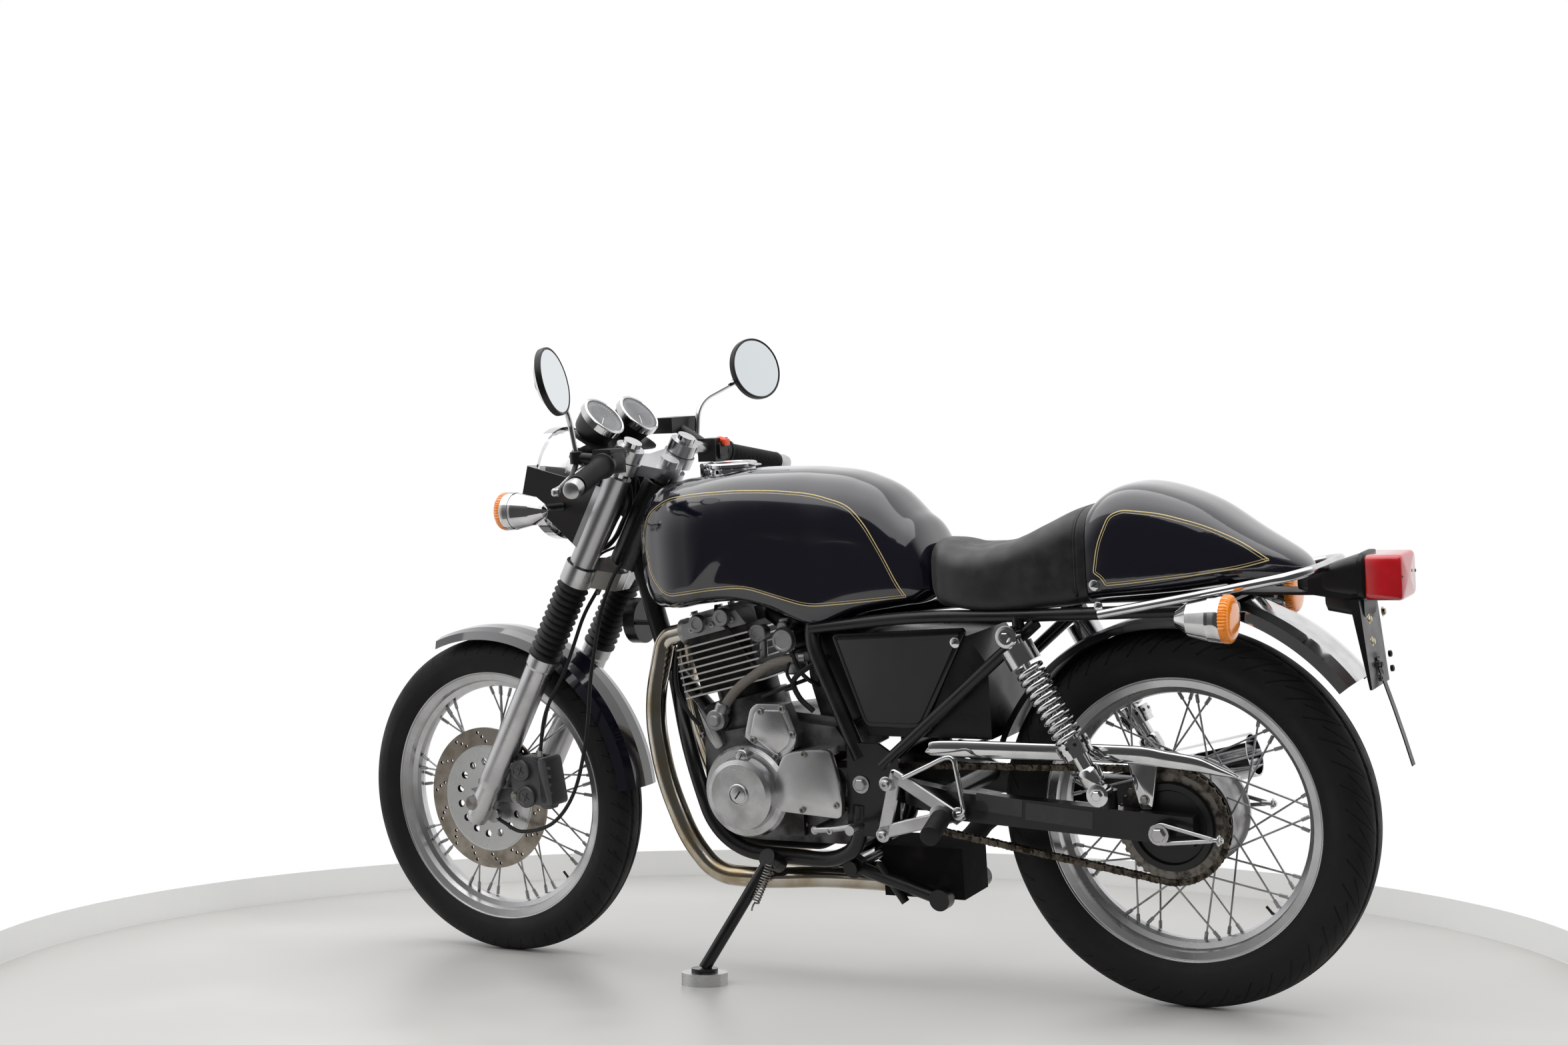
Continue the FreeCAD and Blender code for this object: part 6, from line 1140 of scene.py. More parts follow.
joined("tail_lens_screws", lens_screws, "plain_steel", "chassis")
print("tail light parts:", len(housing) + len(lens) + len(lens_screws))

# %% [markdown]
# ### Plate bracket and strip
#
# The bracket hangs from the housing and leans back a little. Zinc bolts hold it, small black
# bolts wait for a plate, and a thin strip hangs from it.

# %% Plate bracket and strip
BRACKET_TOP, BRACKET_LEAN = 704, 0.11


def on_bracket(x, y, z):
    return (x - (BRACKET_TOP - z) * BRACKET_LEAN, y, z)


bracket_bolts, small = [], []
for y, z in ((42, 672), (-42, 672), (42, 636)):
    bracket_bolts += bolt(on_bracket(-330, y, z), (-0.99, 0, BRACKET_LEAN), 5.6, 5)
for y, z in ((40, 600), (40, 576), (-34, 604), (-34, 580)):
    small += cap_screw(on_bracket(-332, y, z), (-0.99, 0, BRACKET_LEAN), 5.4, 5)
worn("zinc_bolt", (0.55, 0.50, 0.36), 0.35, 1.0, (200,), None, (0.3, 0.7, 0.28, 0.45))
joined("bracket_bolts", bracket_bolts, "zinc_bolt", "chassis")
joined("bracket_small_bolts", small, "black_plastic", "chassis")
strip = [(-334, 0, 604), (-337, 0, 585), (-345, 0, 560), (-358, 0, 520), (-372, 0, 474), (-385, 0, 428)]
strip_head = lathe([(0, 5), (4, 5)], (-338, 0, 592), (-1, 0, -0.2), 12)
joined("plate_strip", [strap(strip, 8, 2.0), strip_head], "frame_enamel", "chassis")
print("bracket bolts:", len(bracket_bolts) + len(small))

# %% [markdown]
# ## The chain
#
# A roller chain: pairs of waisted plates on pins, an inner pair and an outer pair in turn. One
# plate outline is placed between each two pins along the loop, which is two straight runs and
# two arcs around the sprockets.

# %% Chain links
def chain_pins(count, rear_radius=96.0, front_radius=38.0, front_at=(640.0, 372.0)):
    """Pins at equal steps along the loop around both sprockets, in side view."""
    run = np.array(front_at) - (0, REAR_RADIUS)
    distance, tilt = np.hypot(*run), math.atan2(run[1], run[0])
    spread = math.acos((rear_radius - front_radius) / distance)
    front = np.linspace(tilt + spread, tilt - spread, 60)
    back = np.linspace(tilt - spread, tilt + spread - 2 * math.pi, 160)
    arc_front = np.array(front_at) + front_radius * np.stack([np.cos(front), np.sin(front)], 1)
    arc_back = np.array((0, REAR_RADIUS)) + rear_radius * np.stack([np.cos(back), np.sin(back)], 1)
    loop = np.concatenate([arc_front, arc_back, arc_front[:1]])
    length = np.concatenate([[0], np.cumsum(np.linalg.norm(np.diff(loop, axis=0), axis=1))])
    at = np.linspace(0, length[-1], count + 1)[:-1]
    return np.stack([np.interp(at, length, loop[:, 0]), np.interp(at, length, loop[:, 1])], 1)


pins = chain_pins(104)
ahead = np.roll(pins, -1, 0)
angle = np.linspace(0, 2 * np.pi, 24, endpoint=False)
waist = 6.4 - 1.7 * np.exp(-(np.cos(angle) / 0.34) ** 2)
plate = np.stack([7.9 * np.cos(angle) / np.maximum(np.abs(np.cos(angle)), 0.72) * 0.5 + 6.2 * np.cos(angle),
                  waist * np.sin(angle)], 1)
links = []
for i, (a, b) in enumerate(zip(pins, ahead)):
    way = (b - a) / np.linalg.norm(b - a)
    flat = (a + b) / 2 + plate[:, :1] * way + plate[:, 1:] * np.array((-way[1], way[0]))
    near, wall = (3.4, 1.7) if i % 2 else (5.6, 1.7)
    for side in (1, -1):
        rows = [np.stack([flat[:, 0], np.full(24, 80 + side * level), flat[:, 1]], 1) for level in (near, near + wall)]
        links.append(grid(np.array(rows)))
    links.append(lathe([(-8.2, 0.3), (-8.2, 2.4), (8.2, 2.4), (8.2, 0.3)], (a[0], 80, a[1]), (0, 1, 0), 8))
    links.append(lathe([(-3.2, 4.8), (3.2, 4.8)], (a[0], 80, a[1]), (0, 1, 0), 10))
chain = joined("chain_links", links, "chain_steel", "chassis", 40)
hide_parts("chain")
print("chain faces:", len(chain.data.polygons))

# %% [markdown]
# ## The front brake
#
# The disc is drilled: small holes in threes near its rim, and a ring of larger ones in the
# carrier. Holes are cut by the material, which is clear inside each circle, as the disc is thin.
# The caliper has two round caps with crossed slots, and two bolts to the fork.

# %% Drilled disc
drilled = keep("drilled_disc", Finish("drilled_disc", (0.30, 0.26, 0.22), 0.32, 1.0))
x, _, z = in_frame(drilled, STEERED)
x, z = x - FRONT_AXLE[0], z - FRONT_AXLE[2]
radius = (x * x + z * z).math("SQRT")
turned = z.math("ARCTAN2", x)


def ring_of_holes(at, count, hole, shift=0.0):
    """One inside any of the holes on a ring: the nearest hole's centre is found by rounding the angle."""
    step = 2 * math.pi / count
    offset = ((turned + (shift + 4 * math.pi)) * (1 / step)).math("FRACT") - 0.5
    side = offset * (step * at)
    gap = (side * side + (radius - at) * (radius - at)).math("SQRT")
    return gap.math("LESS_THAN", hole)


open_at = ring_of_holes(71, 15, 7.2)
for at, shift in ((111, 0.0), (120, 0.075), (129, 0.15)):
    open_at = open_at.math("MAXIMUM", ring_of_holes(at, 14, 3.1, shift))
wear = drilled.noise(40.0, 4.0)
carrier = drilled.band(radius, 103.4, 104.2)
bronze = drilled.blend(drilled.band(wear, 0.35, 0.75), (0.36, 0.32, 0.28, 1), (0.22, 0.19, 0.15, 1))
drilled.put(base_color=drilled.blend(carrier, (0.60, 0.60, 0.60, 1), bronze), alpha=1 - open_at,
            roughness=drilled.band(wear, 0.3, 0.7, 0.24, 0.4))
drilled.bump((radius * 3.0).math("SINE"), 0.05, 0.0003)
dress("front_disc", "drilled_disc")
fixings = []
for turn_angle in np.linspace(0, 2 * np.pi, 6, endpoint=False):
    spot = (FRONT_AXLE[0] + 34 * math.cos(turn_angle), 54.6, FRONT_AXLE[2] + 34 * math.sin(turn_angle))
    fixings += bolt(spot, (0, 1, 0), 6.0, 5.0, STEERED)
joined("disc_bolts", fixings, "plain_steel", "front_wheel")
print("disc is drilled")

# %% [markdown]
# ### Caliper
#
# Two halves of a grey casting sit on both sides of the disc, joined by a ribbed bridge. The outer
# half shows two round caps with crossed slots, and two lugs take the bolts to the fork.

# %% Caliper
CALIPER = [(1229, 304), (1300, 309), (1324, 316), (1332, 366), (1313, 401), (1256, 400)]
CAP = [(0, 21), (9, 21), (11, 19), (11, 15), (9.5, 14), (9.5, 1)]
BLOCKS = [  # corners, level, height, bevel, radius of the corners
    (CALIPER, 49, -12, 4, 20), ([(1227, 306), (1260, 306), (1262, 398), (1240, 400)], 38, 50, 5, 12),
    ([(1300, 374), (1350, 366), (1360, 388), (1312, 404)], 62, 16, 3, 10),
    ([(1300, 312), (1372, 306), (1378, 330), (1316, 340)], 62, 16, 3, 10),
    ([(1232, 300), (1262, 300), (1262, 396), (1240, 400)], 62, 22, 4, 10)]
BLOCKS += [([(1230, level - 3), (1264, level - 3), (1264, level + 3), (1230, level + 3)], 82, 4, 1.2, 2)
           for level in (316, 332, 348, 364, 380)]


def slot_corners(x, z, turn, half_length=9, half_width=1.4):
    """The four corners of a bar that is turned about its middle."""
    c, s = math.cos(turn), math.sin(turn)
    return [(x + half_length * a * c - half_width * b * s, z + half_length * a * s + half_width * b * c)
            for a, b in ((-1, 1), (1, 1), (1, -1), (-1, -1))]


parts = [raised(CALIPER, 59, 27, bevel=5, radius=24, place=STEERED, step=(5.0, 2.0))]
for corners, level, height, bevel, radius in BLOCKS:
    parts.append(raised(corners, level, height, bevel=bevel, radius=radius, place=STEERED))
for x, z in ((1296, 374), (1286, 324)):
    parts.append(lathe(CAP, (x, 86.5, z), (0, 1, 0), 40, STEERED))
    for turn in (0.5, 0.5 + math.pi / 2):
        parts.append(raised(slot_corners(x, z, turn), 95.5, 2.2, bevel=0.4, radius=0.8, place=STEERED))
worn("caliper_grey", (0.11, 0.11, 0.115), 0.4, 0.8, (60,), None, (0.3, 0.7, 0.36, 0.52))
caliper = joined("caliper_body", parts, "caliper_grey", "steering")
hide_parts("front_caliper")
bolts = bolt((1322, 86, 386), (0, 1, 0), 8, 7, STEERED) + bolt((1316, 86, 322), (0, 1, 0), 8, 7, STEERED)
joined("caliper_bolts", bolts, "plain_steel", "steering")
print("caliper parts:", len(parts))

# %% [markdown]
# ## Instruments
#
# Two round dials in chrome cups. A dial is a black disc with white marks round its edge and a
# white needle; the marks are painted by the material from the angle round the dial.

# %% Dials
GAUGE = FORK @ about((140, 0, 775), (0, 1, 0), -math.radians(18))
DIAL_AHEAD, DIAL_ACROSS, FACE_COLOUR = 140, 57, (0.012, 0.012, 0.013)
BEZEL = [(-14, 43.6), (-13, 44.6), (0, 44.4), (1.6, 43), (2.2, 41.2), (1.4, 39.2), (-1.5, 38.6)]
CUP = [(-50, 1), (-50, 30), (-46, 34), (-40, 36), (-16, 41), (-12, 42.8), (-2, 42.8), (-2, 38.8), (-3.4, 38.4),
       (-3.4, 1)]


def dial_finish(name, side, marks, needle):
    """White marks where the angle repeats, on a ring near the edge, and one needle."""
    dial = keep(name, Finish(name, FACE_COLOUR, 0.4))
    x, y, _ = in_frame(dial, GAUGE)
    x, y = x - DIAL_AHEAD, y - DIAL_ACROSS * side
    r = (x * x + y * y).math("SQRT")
    cell = ((y.math("ARCTAN2", x) + 6.3) * (marks / (2 * math.pi))).math("FRACT") - 0.5
    ticks = dial.band(cell.math("ABSOLUTE"), 0.42, 0.46) * dial.band(r, 29.5, 30.0) * dial.band(r, 35.5, 36.0, 1.0, 0.0)
    across = x * math.sin(needle) - y * math.cos(needle)
    along = x * math.cos(needle) + y * math.sin(needle)
    hand = dial.band(across.math("ABSOLUTE"), 0.8, 1.0, 1.0,
                     0.0) * dial.band(along, -6, -5) * dial.band(r, 28, 29, 1.0, 0.0)
    white = ticks.math("MAXIMUM", hand) * (1 - dial.band(r, 4.5, 5.0, 1.0, 0.0))
    dial.put(base_color=dial.blend(white, (*FACE_COLOUR, 1), (0.75, 0.74, 0.7, 1)))


def on_dial(rows, side, level, count, hoop=False):
    return lathe(rows, (DIAL_AHEAD, DIAL_ACROSS * side, level), (0, 0, 1), count, GAUGE, hoop)


glasses, bezels, cups = [], [], []
for side, name, marks, needle in ((1, "left_dial", 40, 2.2), (-1, "right_dial", 48, 2.6)):
    dial_finish(name, side, marks, needle)
    joined(name, [on_dial([(0, 38.4), (0.8, 38.2), (0.8, 0.2)], side, 797.4, 64)], name, "steering")
    glasses.append(on_dial([(0, 38.6), (0.6, 37.5), (1.4, 25), (1.7, 10), (1.8, 0.3)], side, 799.6, 64))
    bezels.append(on_dial(BEZEL, side, 800, 72, True))
    cups.append(on_dial(CUP, side, 800, 64))
    cups.append(lathe([(0, 9), (14, 9)], (DIAL_AHEAD, DIAL_ACROSS * side, 744), (0, 0, 1), 24, FORK))
cups.append(raised([(84, -100), (170, -100), (170, 100), (84, 100)], 747, 3, "xy", bevel=0.8, radius=30, place=FORK))
cups.append(raised([(50, -12), (100, -12), (100, 12), (50, 12)], 747, 3, "xy", bevel=0.8, radius=4, place=FORK))
pane = keep("dial_glass", Finish("dial_glass", (0.8, 0.82, 0.85), 0.06, 0.0))
pane.put(alpha=pane.band(pane.noise(24.0), 0.3, 0.7, 0.10, 0.16))
joined("dial_glasses", glasses, "dial_glass", "steering")
joined("dial_bezels", bezels, "bright_chrome", "steering")
cup_piece = joined("dial_cups", cups, "black_plastic", "steering", 40)
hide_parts("gauges")
print("dials:", len(glasses))

# %% [markdown]
# ## Mirrors
#
# Round mirrors in thin black rims, each on a small boss at its back. The face is a shallow disc of
# clean mirror, and the rim is a ring that stands a little proud of it.

# %% Mirror faces
MIRROR_AT = np.array((985.0, 333.0, 1115.0))
RIM = [(-9, 60.6), (-2, 61.2), (1.8, 60.6), (2.6, 59.2), (1.8, 57.2), (0.4, 56.8)]

worn("mirror_face", (0.82, 0.86, 0.88), 0.03, 1.0, (8,), None, (0.4, 0.8, 0.02, 0.07))
faces, rims = [], []
for side in (1, -1):
    facing = np.array((-1, -0.28 * side, 0.22))
    facing = facing / np.linalg.norm(facing)
    centre = MIRROR_AT * (1, side, 1)
    faces.append(lathe([(0, 56.5), (0.9, 56.3), (0.9, 0.3)], centre + facing * 0.6, facing, 72, STEERED))
    rims.append(lathe(RIM, centre, facing, 72, STEERED, True))
    rims.append(lathe([(-12, 9), (-12, 12), (0, 14), (4, 14)], centre - facing * 20.4, facing, 28, STEERED))
joined("mirror_faces", faces, "mirror_face", "steering")
joined("mirror_rims", rims, "black_plastic", "steering")
print("mirrors:", len(faces))

# %% [markdown]
# ## Grips, levers and switches
#
# Grips of black rubber with fine rings, weights at the bar ends, alloy levers with a ball at the
# tip, and a box of switches inside each grip. A red stop switch stands on the right one.

# %% Grips, levers and switches
BAR_ROOT, BAR_TIP = np.array((1012.0, 94, 982)), np.array((950.0, 335, 930))
BOX_SHARE = 0.345
WEIGHT = [(1.001, 9), (1.002, 16.5), (1.06, 17), (1.10, 15), (1.11, 11), (1.11, 1)]
LEVER = [(0.42, 46, -6), (0.62, 56, -11), (0.82, 52, -12), (0.98, 46, -10)]  # share of the bar, ahead of it, above it
LEVER_RADII = [6.5, 6.5, 5.6, 5.2, 5.2, 7.5]
BALL = [(-7, 1), (-7, 5), (-4, 7.6), (4, 7.6), (7, 5), (7, 1)]


def on_bar(side, share):
    return (BAR_ROOT + (BAR_TIP - BAR_ROOT) * share) * (1, side, 1)


grip_rows = [(0.45, 21), (0.455, 23.5), (0.47, 23.5), (0.48, 18.5)]
for ridge in np.linspace(0.49, 0.955, 34):
    grip_rows += [(ridge, 17.0), (ridge + 0.003, 18.6), (ridge + 0.009, 18.6), (ridge + 0.012, 17.0)]
grip_rows += [(0.975, 19), (0.985, 18.5)]
size = float(np.linalg.norm(BAR_TIP - BAR_ROOT))
grips, ends, boxes, levers = [], [], [], []
for side in (1, -1):
    start, way = on_bar(side, 0), (BAR_TIP - BAR_ROOT) * (1, side, 1)
    grips.append(lathe([(share * size, radius) for share, radius in grip_rows], start, way, 32, STEERED))
    ends.append(lathe([(share * size, radius) for share, radius in WEIGHT], start, way, 36, STEERED))
    ends.append(lathe([(0.05 * size, 15), (0.12 * size, 15)], start, way, 28, STEERED))
    for share in (0.30, 0.405):
        boxes.append(lathe([(-0.5, 17.5), (1, 21.5), (16, 21.5), (18, 18.5)], on_bar(side, share), way, 28, STEERED))
    x, y, z = on_bar(side, BOX_SHARE)
    boxes.append(lofted([(x + ahead, y, z, 19, tall) for ahead, tall in ((-24, 12), (-22, 17), (22, 19), (25, 14))],
                        STEERED))
    pivot = on_bar(side, 0.30) + (26, 0, 2)
    levers.append(lathe([(-9, 1), (-9, 8), (9, 8), (9, 1)], pivot, (0, 0, 1), 24, STEERED))
    route = [pivot] + [on_bar(side, share) + (ahead, 0, above) for share, ahead, above in LEVER]
    levers.append(sweep(route, LEVER_RADII, 14, STEERED))
    levers.append(lathe(BALL, on_bar(side, 0.985) + (46, 0, -10), (0, 0, 1), 20, STEERED))
grip_piece = joined("grip_rubbers", grips, "black_rubber", "steering", 50)
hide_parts("grips")
joined("bar_ends", ends, "satin_alloy", "steering")
joined("switch_boxes", boxes, "black_plastic", "steering", 50)
joined("hand_levers", levers, "satin_alloy", "steering", 50)
worn("stop_switch", (0.72, 0.07, 0.02), 0.4, 0.0, (90,), None, (0.3, 0.7, 0.34, 0.5))
x, y, z = on_bar(-1, BOX_SHARE)
key = lofted([(x - 30, y, z + 14, 8, 5), (x - 29, y, z + 14, 9.5, 6.5), (x - 12, y, z + 19, 9.5, 6.5),
              (x - 10, y, z + 19, 8, 5)],
             STEERED)
joined("stop_switch_key", [key], "stop_switch", "steering")
print("bar pieces:", len(grips) + len(ends) + len(boxes) + len(levers))

# %% [markdown]
# ## Filler neck and lid
#
# The tank's filler is a short neck with two small lugs, and over it a chrome lid on a hinge with
# a latch tab. The neck goes with the tank; the lid is its own body and opens.

# %% Filler
HINGE = (896.5, 944.5)
neck = [lathe([(-40, 44), (-4, 44), (-1, 43), (0, 40), (0, 1)], (845, 0, 940), (0, 0, 1), 72)]
for sign in (1, -1):
    neck.append(lathe([(0, 4.5), (9.6, 4.5)], (HINGE[0], 10.6 * sign, HINGE[1]), (0, sign, 0), 24))
    neck.append(raised([(883, 905), (901, 905), (901, 944), (892, 944), (892, 937), (883, 937)], 10.6 * sign,
                       9.6 * sign,
                       bevel=0.8, radius=1.5))
joined("filler_neck", neck, "bright_chrome", "chassis")
lid = [lathe([(0.4, 46), (1.0, 47), (6.5, 47), (8.4, 45.5), (9.2, 43), (9.2, 34), (8.2, 32.6), (7.8, 30), (8.6, 12),
              (8.8, 0.5)],
             (845, 0, 940), (0, 0, 1), 96),
       lathe([(-9.8, 4.5), (9.8, 4.5)], (HINGE[0], 0, HINGE[1]), (0, 1, 0), 24),
       raised([(884, 942.4), (897, 942.4), (897, 947), (884, 947.4)], -9.6, 19.2, bevel=0.8, radius=1.5),
       raised([(789, 941), (802, 941), (802, 946), (789, 944)], -12, 24, bevel=0.8, radius=1.5)]
lid_piece = joined("filler_lid_shell", lid, "bright_chrome", "filler_lid")
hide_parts("filler_lid")
print("filler parts:", len(neck) + len(lid))

# %% [markdown]
# ## Side covers, frame bolts and the seat's screws
#
# Black plastic covers with soft edges and one slotted screw each; a domed bolt holds the
# swingarm; slotted screws hold the hump.

# %% Side covers
COVER_AT, COVER_SIZE = (353, 481), (259, 178)
COVER_SHARES = [(0.35, 0.0), (0.79, 0.0), (1.0, 0.90), (0.97, 0.93), (0.54, 0.96), (0.02, 1.0), (0.0, 0.95)]
corners = np.array(COVER_AT) + np.array(COVER_SHARES) * COVER_SIZE
covers = [raised(corners, 84 * sign, 8 * sign, bevel=2.6, radius=14, step=(9.0, 1.4)) for sign in (1, -1)]
cover_piece = joined("side_cover_shells", covers, "cover_black", "chassis", 40)
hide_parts("side_covers")
screws, slots, bolts = [], [], []
for (x, y, z), size in (((373, 92, 634), 8.5), ((104, 111, 736), 8.5), ((96, 118, 702), 7.0)):
    for sign in (1, -1):
        head, slot_shade_bar = slotted_plug((x, y * sign, z), (0, sign, 0), size, 3.0, turn=0.5)
        screws.append(head)
        slots.append(slot_shade_bar)
joined("body_screws", screws, "bright_chrome", "chassis")
# The screws' slots are black bars: painted shadow of the slots.
joined("body_screw_slot_shades", slots, "black_plastic", "chassis")
for sign in (1, -1):
    bolts += bolt((560, 114 * sign, 383), (0, sign, 0), 11, 9)
    for x, z in ((509, 301), (497, 392)):
        bolts += cap_screw((x, 144.4 * sign, z), (0, sign, 0), 8, 7)
bolts += cap_screw((616, 134, 302), (0, 1, 0), 6, 6)
joined("frame_bolts", bolts, "satin_alloy", "chassis")
print("covers and bolts:", len(screws), len(bolts))

# %% [markdown]
# ## Footrests
#
# A folding peg in ribbed black rubber, and a polished wire loop that keeps the rider's boot off
# the wheel. The peg is turned, with a small step for each rib.

# %% Peg rubber and boot loop
PEG_ROOT, PEG_TIP = np.array((392.0, 140, 342)), np.array((376.0, 232, 325))
LOOP = [(461, 405), (420, 424), (378, 443), (364, 440), (360, 425), (354, 385), (351, 352), (362, 346)]

peg_rows = [(0.14, 12), (0.15, 15.5)]
for ridge in np.linspace(0.18, 0.9, 12):
    peg_rows += [(ridge, 15.8), (ridge + 0.02, 17.2), (ridge + 0.04, 17.2), (ridge + 0.055, 15.8)]
peg_rows += [(0.985, 17), (1.0, 15), (1.001, 1)]
size = float(np.linalg.norm(PEG_TIP - PEG_ROOT))
pegs, loops = [], []
for sign in (1, -1):
    flat = np.array((1, sign, 1))
    rows = [(share * size, radius) for share, radius in peg_rows]
    pegs.append(lathe(rows, PEG_ROOT * flat, (PEG_TIP - PEG_ROOT) * flat, 32))
    loops.append(sweep([(x, 146 * sign, z) for x, z in LOOP], 4.6, 14))
joined("peg_rubbers", pegs, "black_rubber", "chassis", 50)
joined("boot_loops", loops, "bright_chrome", "chassis", 50)
print("pegs and loops:", len(pegs) + len(loops))

# %% [markdown]
# ### Footrest brackets
#
# A cast triangle with an opening, bossed at its corners. Two spacers hold it off the frame, and
# the peg's stem leaves it near its rear corner.

# %% Footrest brackets
BRACKET_LEVEL = 136
FRAME_HOLES = ((497, 392), (509, 301))
plates = []
for sign in (1, -1):
    level = BRACKET_LEVEL * sign
    plates.append(framed([(486, 424), (523, 291), (341, 337)], level, 8 * sign, 23, bevel=2.0, radius=16))
    for x, z, wide in ((497, 392, 13), (509, 301, 13), (362, 345, 12), (398, 343, 18)):
        plates.append(lathe([(0.5, wide), (7.5, wide), (9, wide - 2), (9, 1)], (x, level - 0.5 * sign, z), (0, sign, 0),
                            32))
    plates.append(raised([(497, 404), (486, 404), (470, 392), (480, 380), (497, 380)], level, 8 * sign, bevel=1.5,
                         radius=6))
    for x, z in FRAME_HOLES:
        plates.append(lathe([(0, 9), (23.5, 9)], (x, 113.5 * sign, z), (0, sign, 0), 24))
    plates.append(lathe([(0, 9), (30, 9), (34, 12.5), (86, 12.5)], (392, level + 2 * sign, 342), (-0.17, sign, -0.18),
                        24))
bracket_piece = joined("footrest_brackets_cast", plates, "satin_alloy", "chassis", 40)
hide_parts("footrest_brackets")
print("bracket parts:", len(plates))

# %% [markdown]
# ## Chain guard
#
# The guard is pressed from thin steel with a rounded outer face, and chrome plated. It is one long
# rounded box whose height swells and fades along its length, and a plate bolts it to the swingarm.

# %% Chain guard
GUARD = [(-128, 420, 1.5), (-118, 423, 4), (-95, 429, 8), (-60, 438, 13), (-4, 445, 14.7), (52, 451, 15.6),
         (208, 451.4, 14.8),
         (404, 451, 14.5), (424, 448, 9), (432, 445, 3)]  # place along, middle, half height
guard = [lofted([(x, 106, z, 6.5, tall) for x, z, tall in smooth(GUARD, 6)], UPRIGHT, 2.4, 48),
         raised([(24, 359.6), (45, 359.6), (66, 446), (10, 446)], 102.5, 4.5, bevel=1.2, radius=6)]
guard_piece = joined("chain_guard_shell", guard, "bright_chrome", "chassis", 50)
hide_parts("chain_guard")
joined("guard_bolts", bolt((36, 107, 376), (0, 1, 0), 6, 5), "plain_steel", "chassis")
print("guard faces:", len(guard_piece.data.polygons))

# %% [markdown]
# ## Axle adjusters and label plates
#
# The wheel is drawn back by an adjuster at each end of its axle: a slotted plate, a threaded rod
# and a nut. Two label plates lie on the swingarm, and they are left bare.

# %% Axle adjusters and label plates
ADJUSTER = [(-92, 327), (-92, 318), (-4, 309), (16, 318), (16, 340), (-4, 348)]
adjusters = []
for sign in (1, -1):
    face = 143 * sign
    adjusters.append(framed(ADJUSTER, face, 4 * sign, 6.5, bevel=0.8, radius=5))
    adjusters.append(lathe([(0, 17), (3, 17), (4, 15)], (0, face, REAR_RADIUS), (0, sign, 0), 32))
    adjusters += bolt((0, face + 4 * sign, REAR_RADIUS), (0, sign, 0), 12, 9)
    adjusters.append(lathe([(0, 4), (26, 4)], (-82, face, 323), (-1, 0, -0.06), 16))
    adjusters += bolt((-100, face, 322), (-1, 0, -0.06), 6.5, 6)
joined("axle_adjusters", adjusters, "satin_alloy", "chassis")

worn("blank_plate", (0.010, 0.010, 0.011), 0.3, 0.0, (60,), None, (0.3, 0.7, 0.25, 0.4), coat_weight=0.4)
for name, start, end in (("swingarm_plate_long", (244, 352), (123, 341)),
                         ("swingarm_plate_short", (335, 365), (250, 356))):
    ribbon(name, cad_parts["swingarm"], [np.linspace(start, end, 12)], 30, "blank_plate", "chassis", lift=0.0006,
           sides=(1,))
print("adjuster parts:", len(adjusters))

# %% [markdown]
# ## Air box and sump
#
# Between the side covers and the carburettor sits a moulded air box, and under the crankcase the
# oil sump. Both are dark, and they close the gaps that daylight showed through.

# %% Air box and sump
AIR_BOX = [(560, 652), (560, 500), (606, 474), (660, 480), (682, 560), (682, 636), (664, 652)]
SUMP = [(646, 300), (646, 262), (676, 246), (838, 246), (856, 264), (856, 300)]
joined("air_box", [raised(AIR_BOX, -60, 120, bevel=8, radius=20)], "black_plastic", "chassis", 50)
joined("oil_sump", [raised(SUMP, -58, 116, bevel=6, radius=14)], "black_plastic", "chassis", 50)
print("air box and sump are in")

# %% [markdown]
# ## Wires behind the lamp
#
# A harness leaves the lamp and the dials between the fork legs, as a loose bunch of black wires
# that turns with the bars.

# %% Harness
WIRES = [(-34, 44, 470), (-20, 52, 520), (-8, 48, 450), (6, 54, 500), (18, 46, 440), (30, 52, 480), (40, 44, 540),
         (-28, 58, 560), (12, 60, 430)]  # across, out, height of the lower end
wires = []
for number, (y, q, low) in enumerate(WIRES):
    bow = 10 * math.sin(2.1 * number)
    route = [(96, y * 0.4, 668 + bow), (74, y * 0.8, 700 + bow), (q, y, 660), (q - 2, y + bow * 0.6, 610),
             (q + 6, y, 560),
             (q + 34, y * 0.9, 520), (q + 36, y * 0.8 + bow * 0.5, low)]
    wires.append(sweep(route, 2.6 + 0.9 * (number % 3), 10, FORK))
joined("steering_wires", wires, "black_rubber", "steering", 60)
print("wires:", len(wires))

# %% [markdown]
# ## Stand spring and cable
#
# The side stand is held by a coil spring with a hook at each end. The speedometer's cable runs
# from the front hub up to the dials, and the brake hose ends in steel fittings.

# %% Spring and cable
def coil(start, end, radius, wire, turns):
    """A helix: radius*(cos, sin) of the angle, carried evenly from the start to the end."""
    a, b = np.asarray(start, float), np.asarray(end, float)
    first, second, _ = basis(b - a)
    t = np.linspace(0, 1, int(turns * 14))
    angle = 2 * np.pi * turns * t
    line = a + (b - a) * t[:, None] + radius * (np.cos(angle)[:, None] * first + np.sin(angle)[:, None] * second)
    return sweep(line, wire, 7, rounded=False)


spring = [coil((744, 132, 232), (770, 150, 168), 7.5, 1.5, 14),
          sweep([(738, 124, 244), (742, 130, 236), (744, 132, 230)], 1.6, 8),
          sweep([(770, 150, 168), (774, 153, 160), (778, 150, 152)], 1.6, 8)]
joined("stand_spring", spring, "plain_steel", "side_stand", 60)

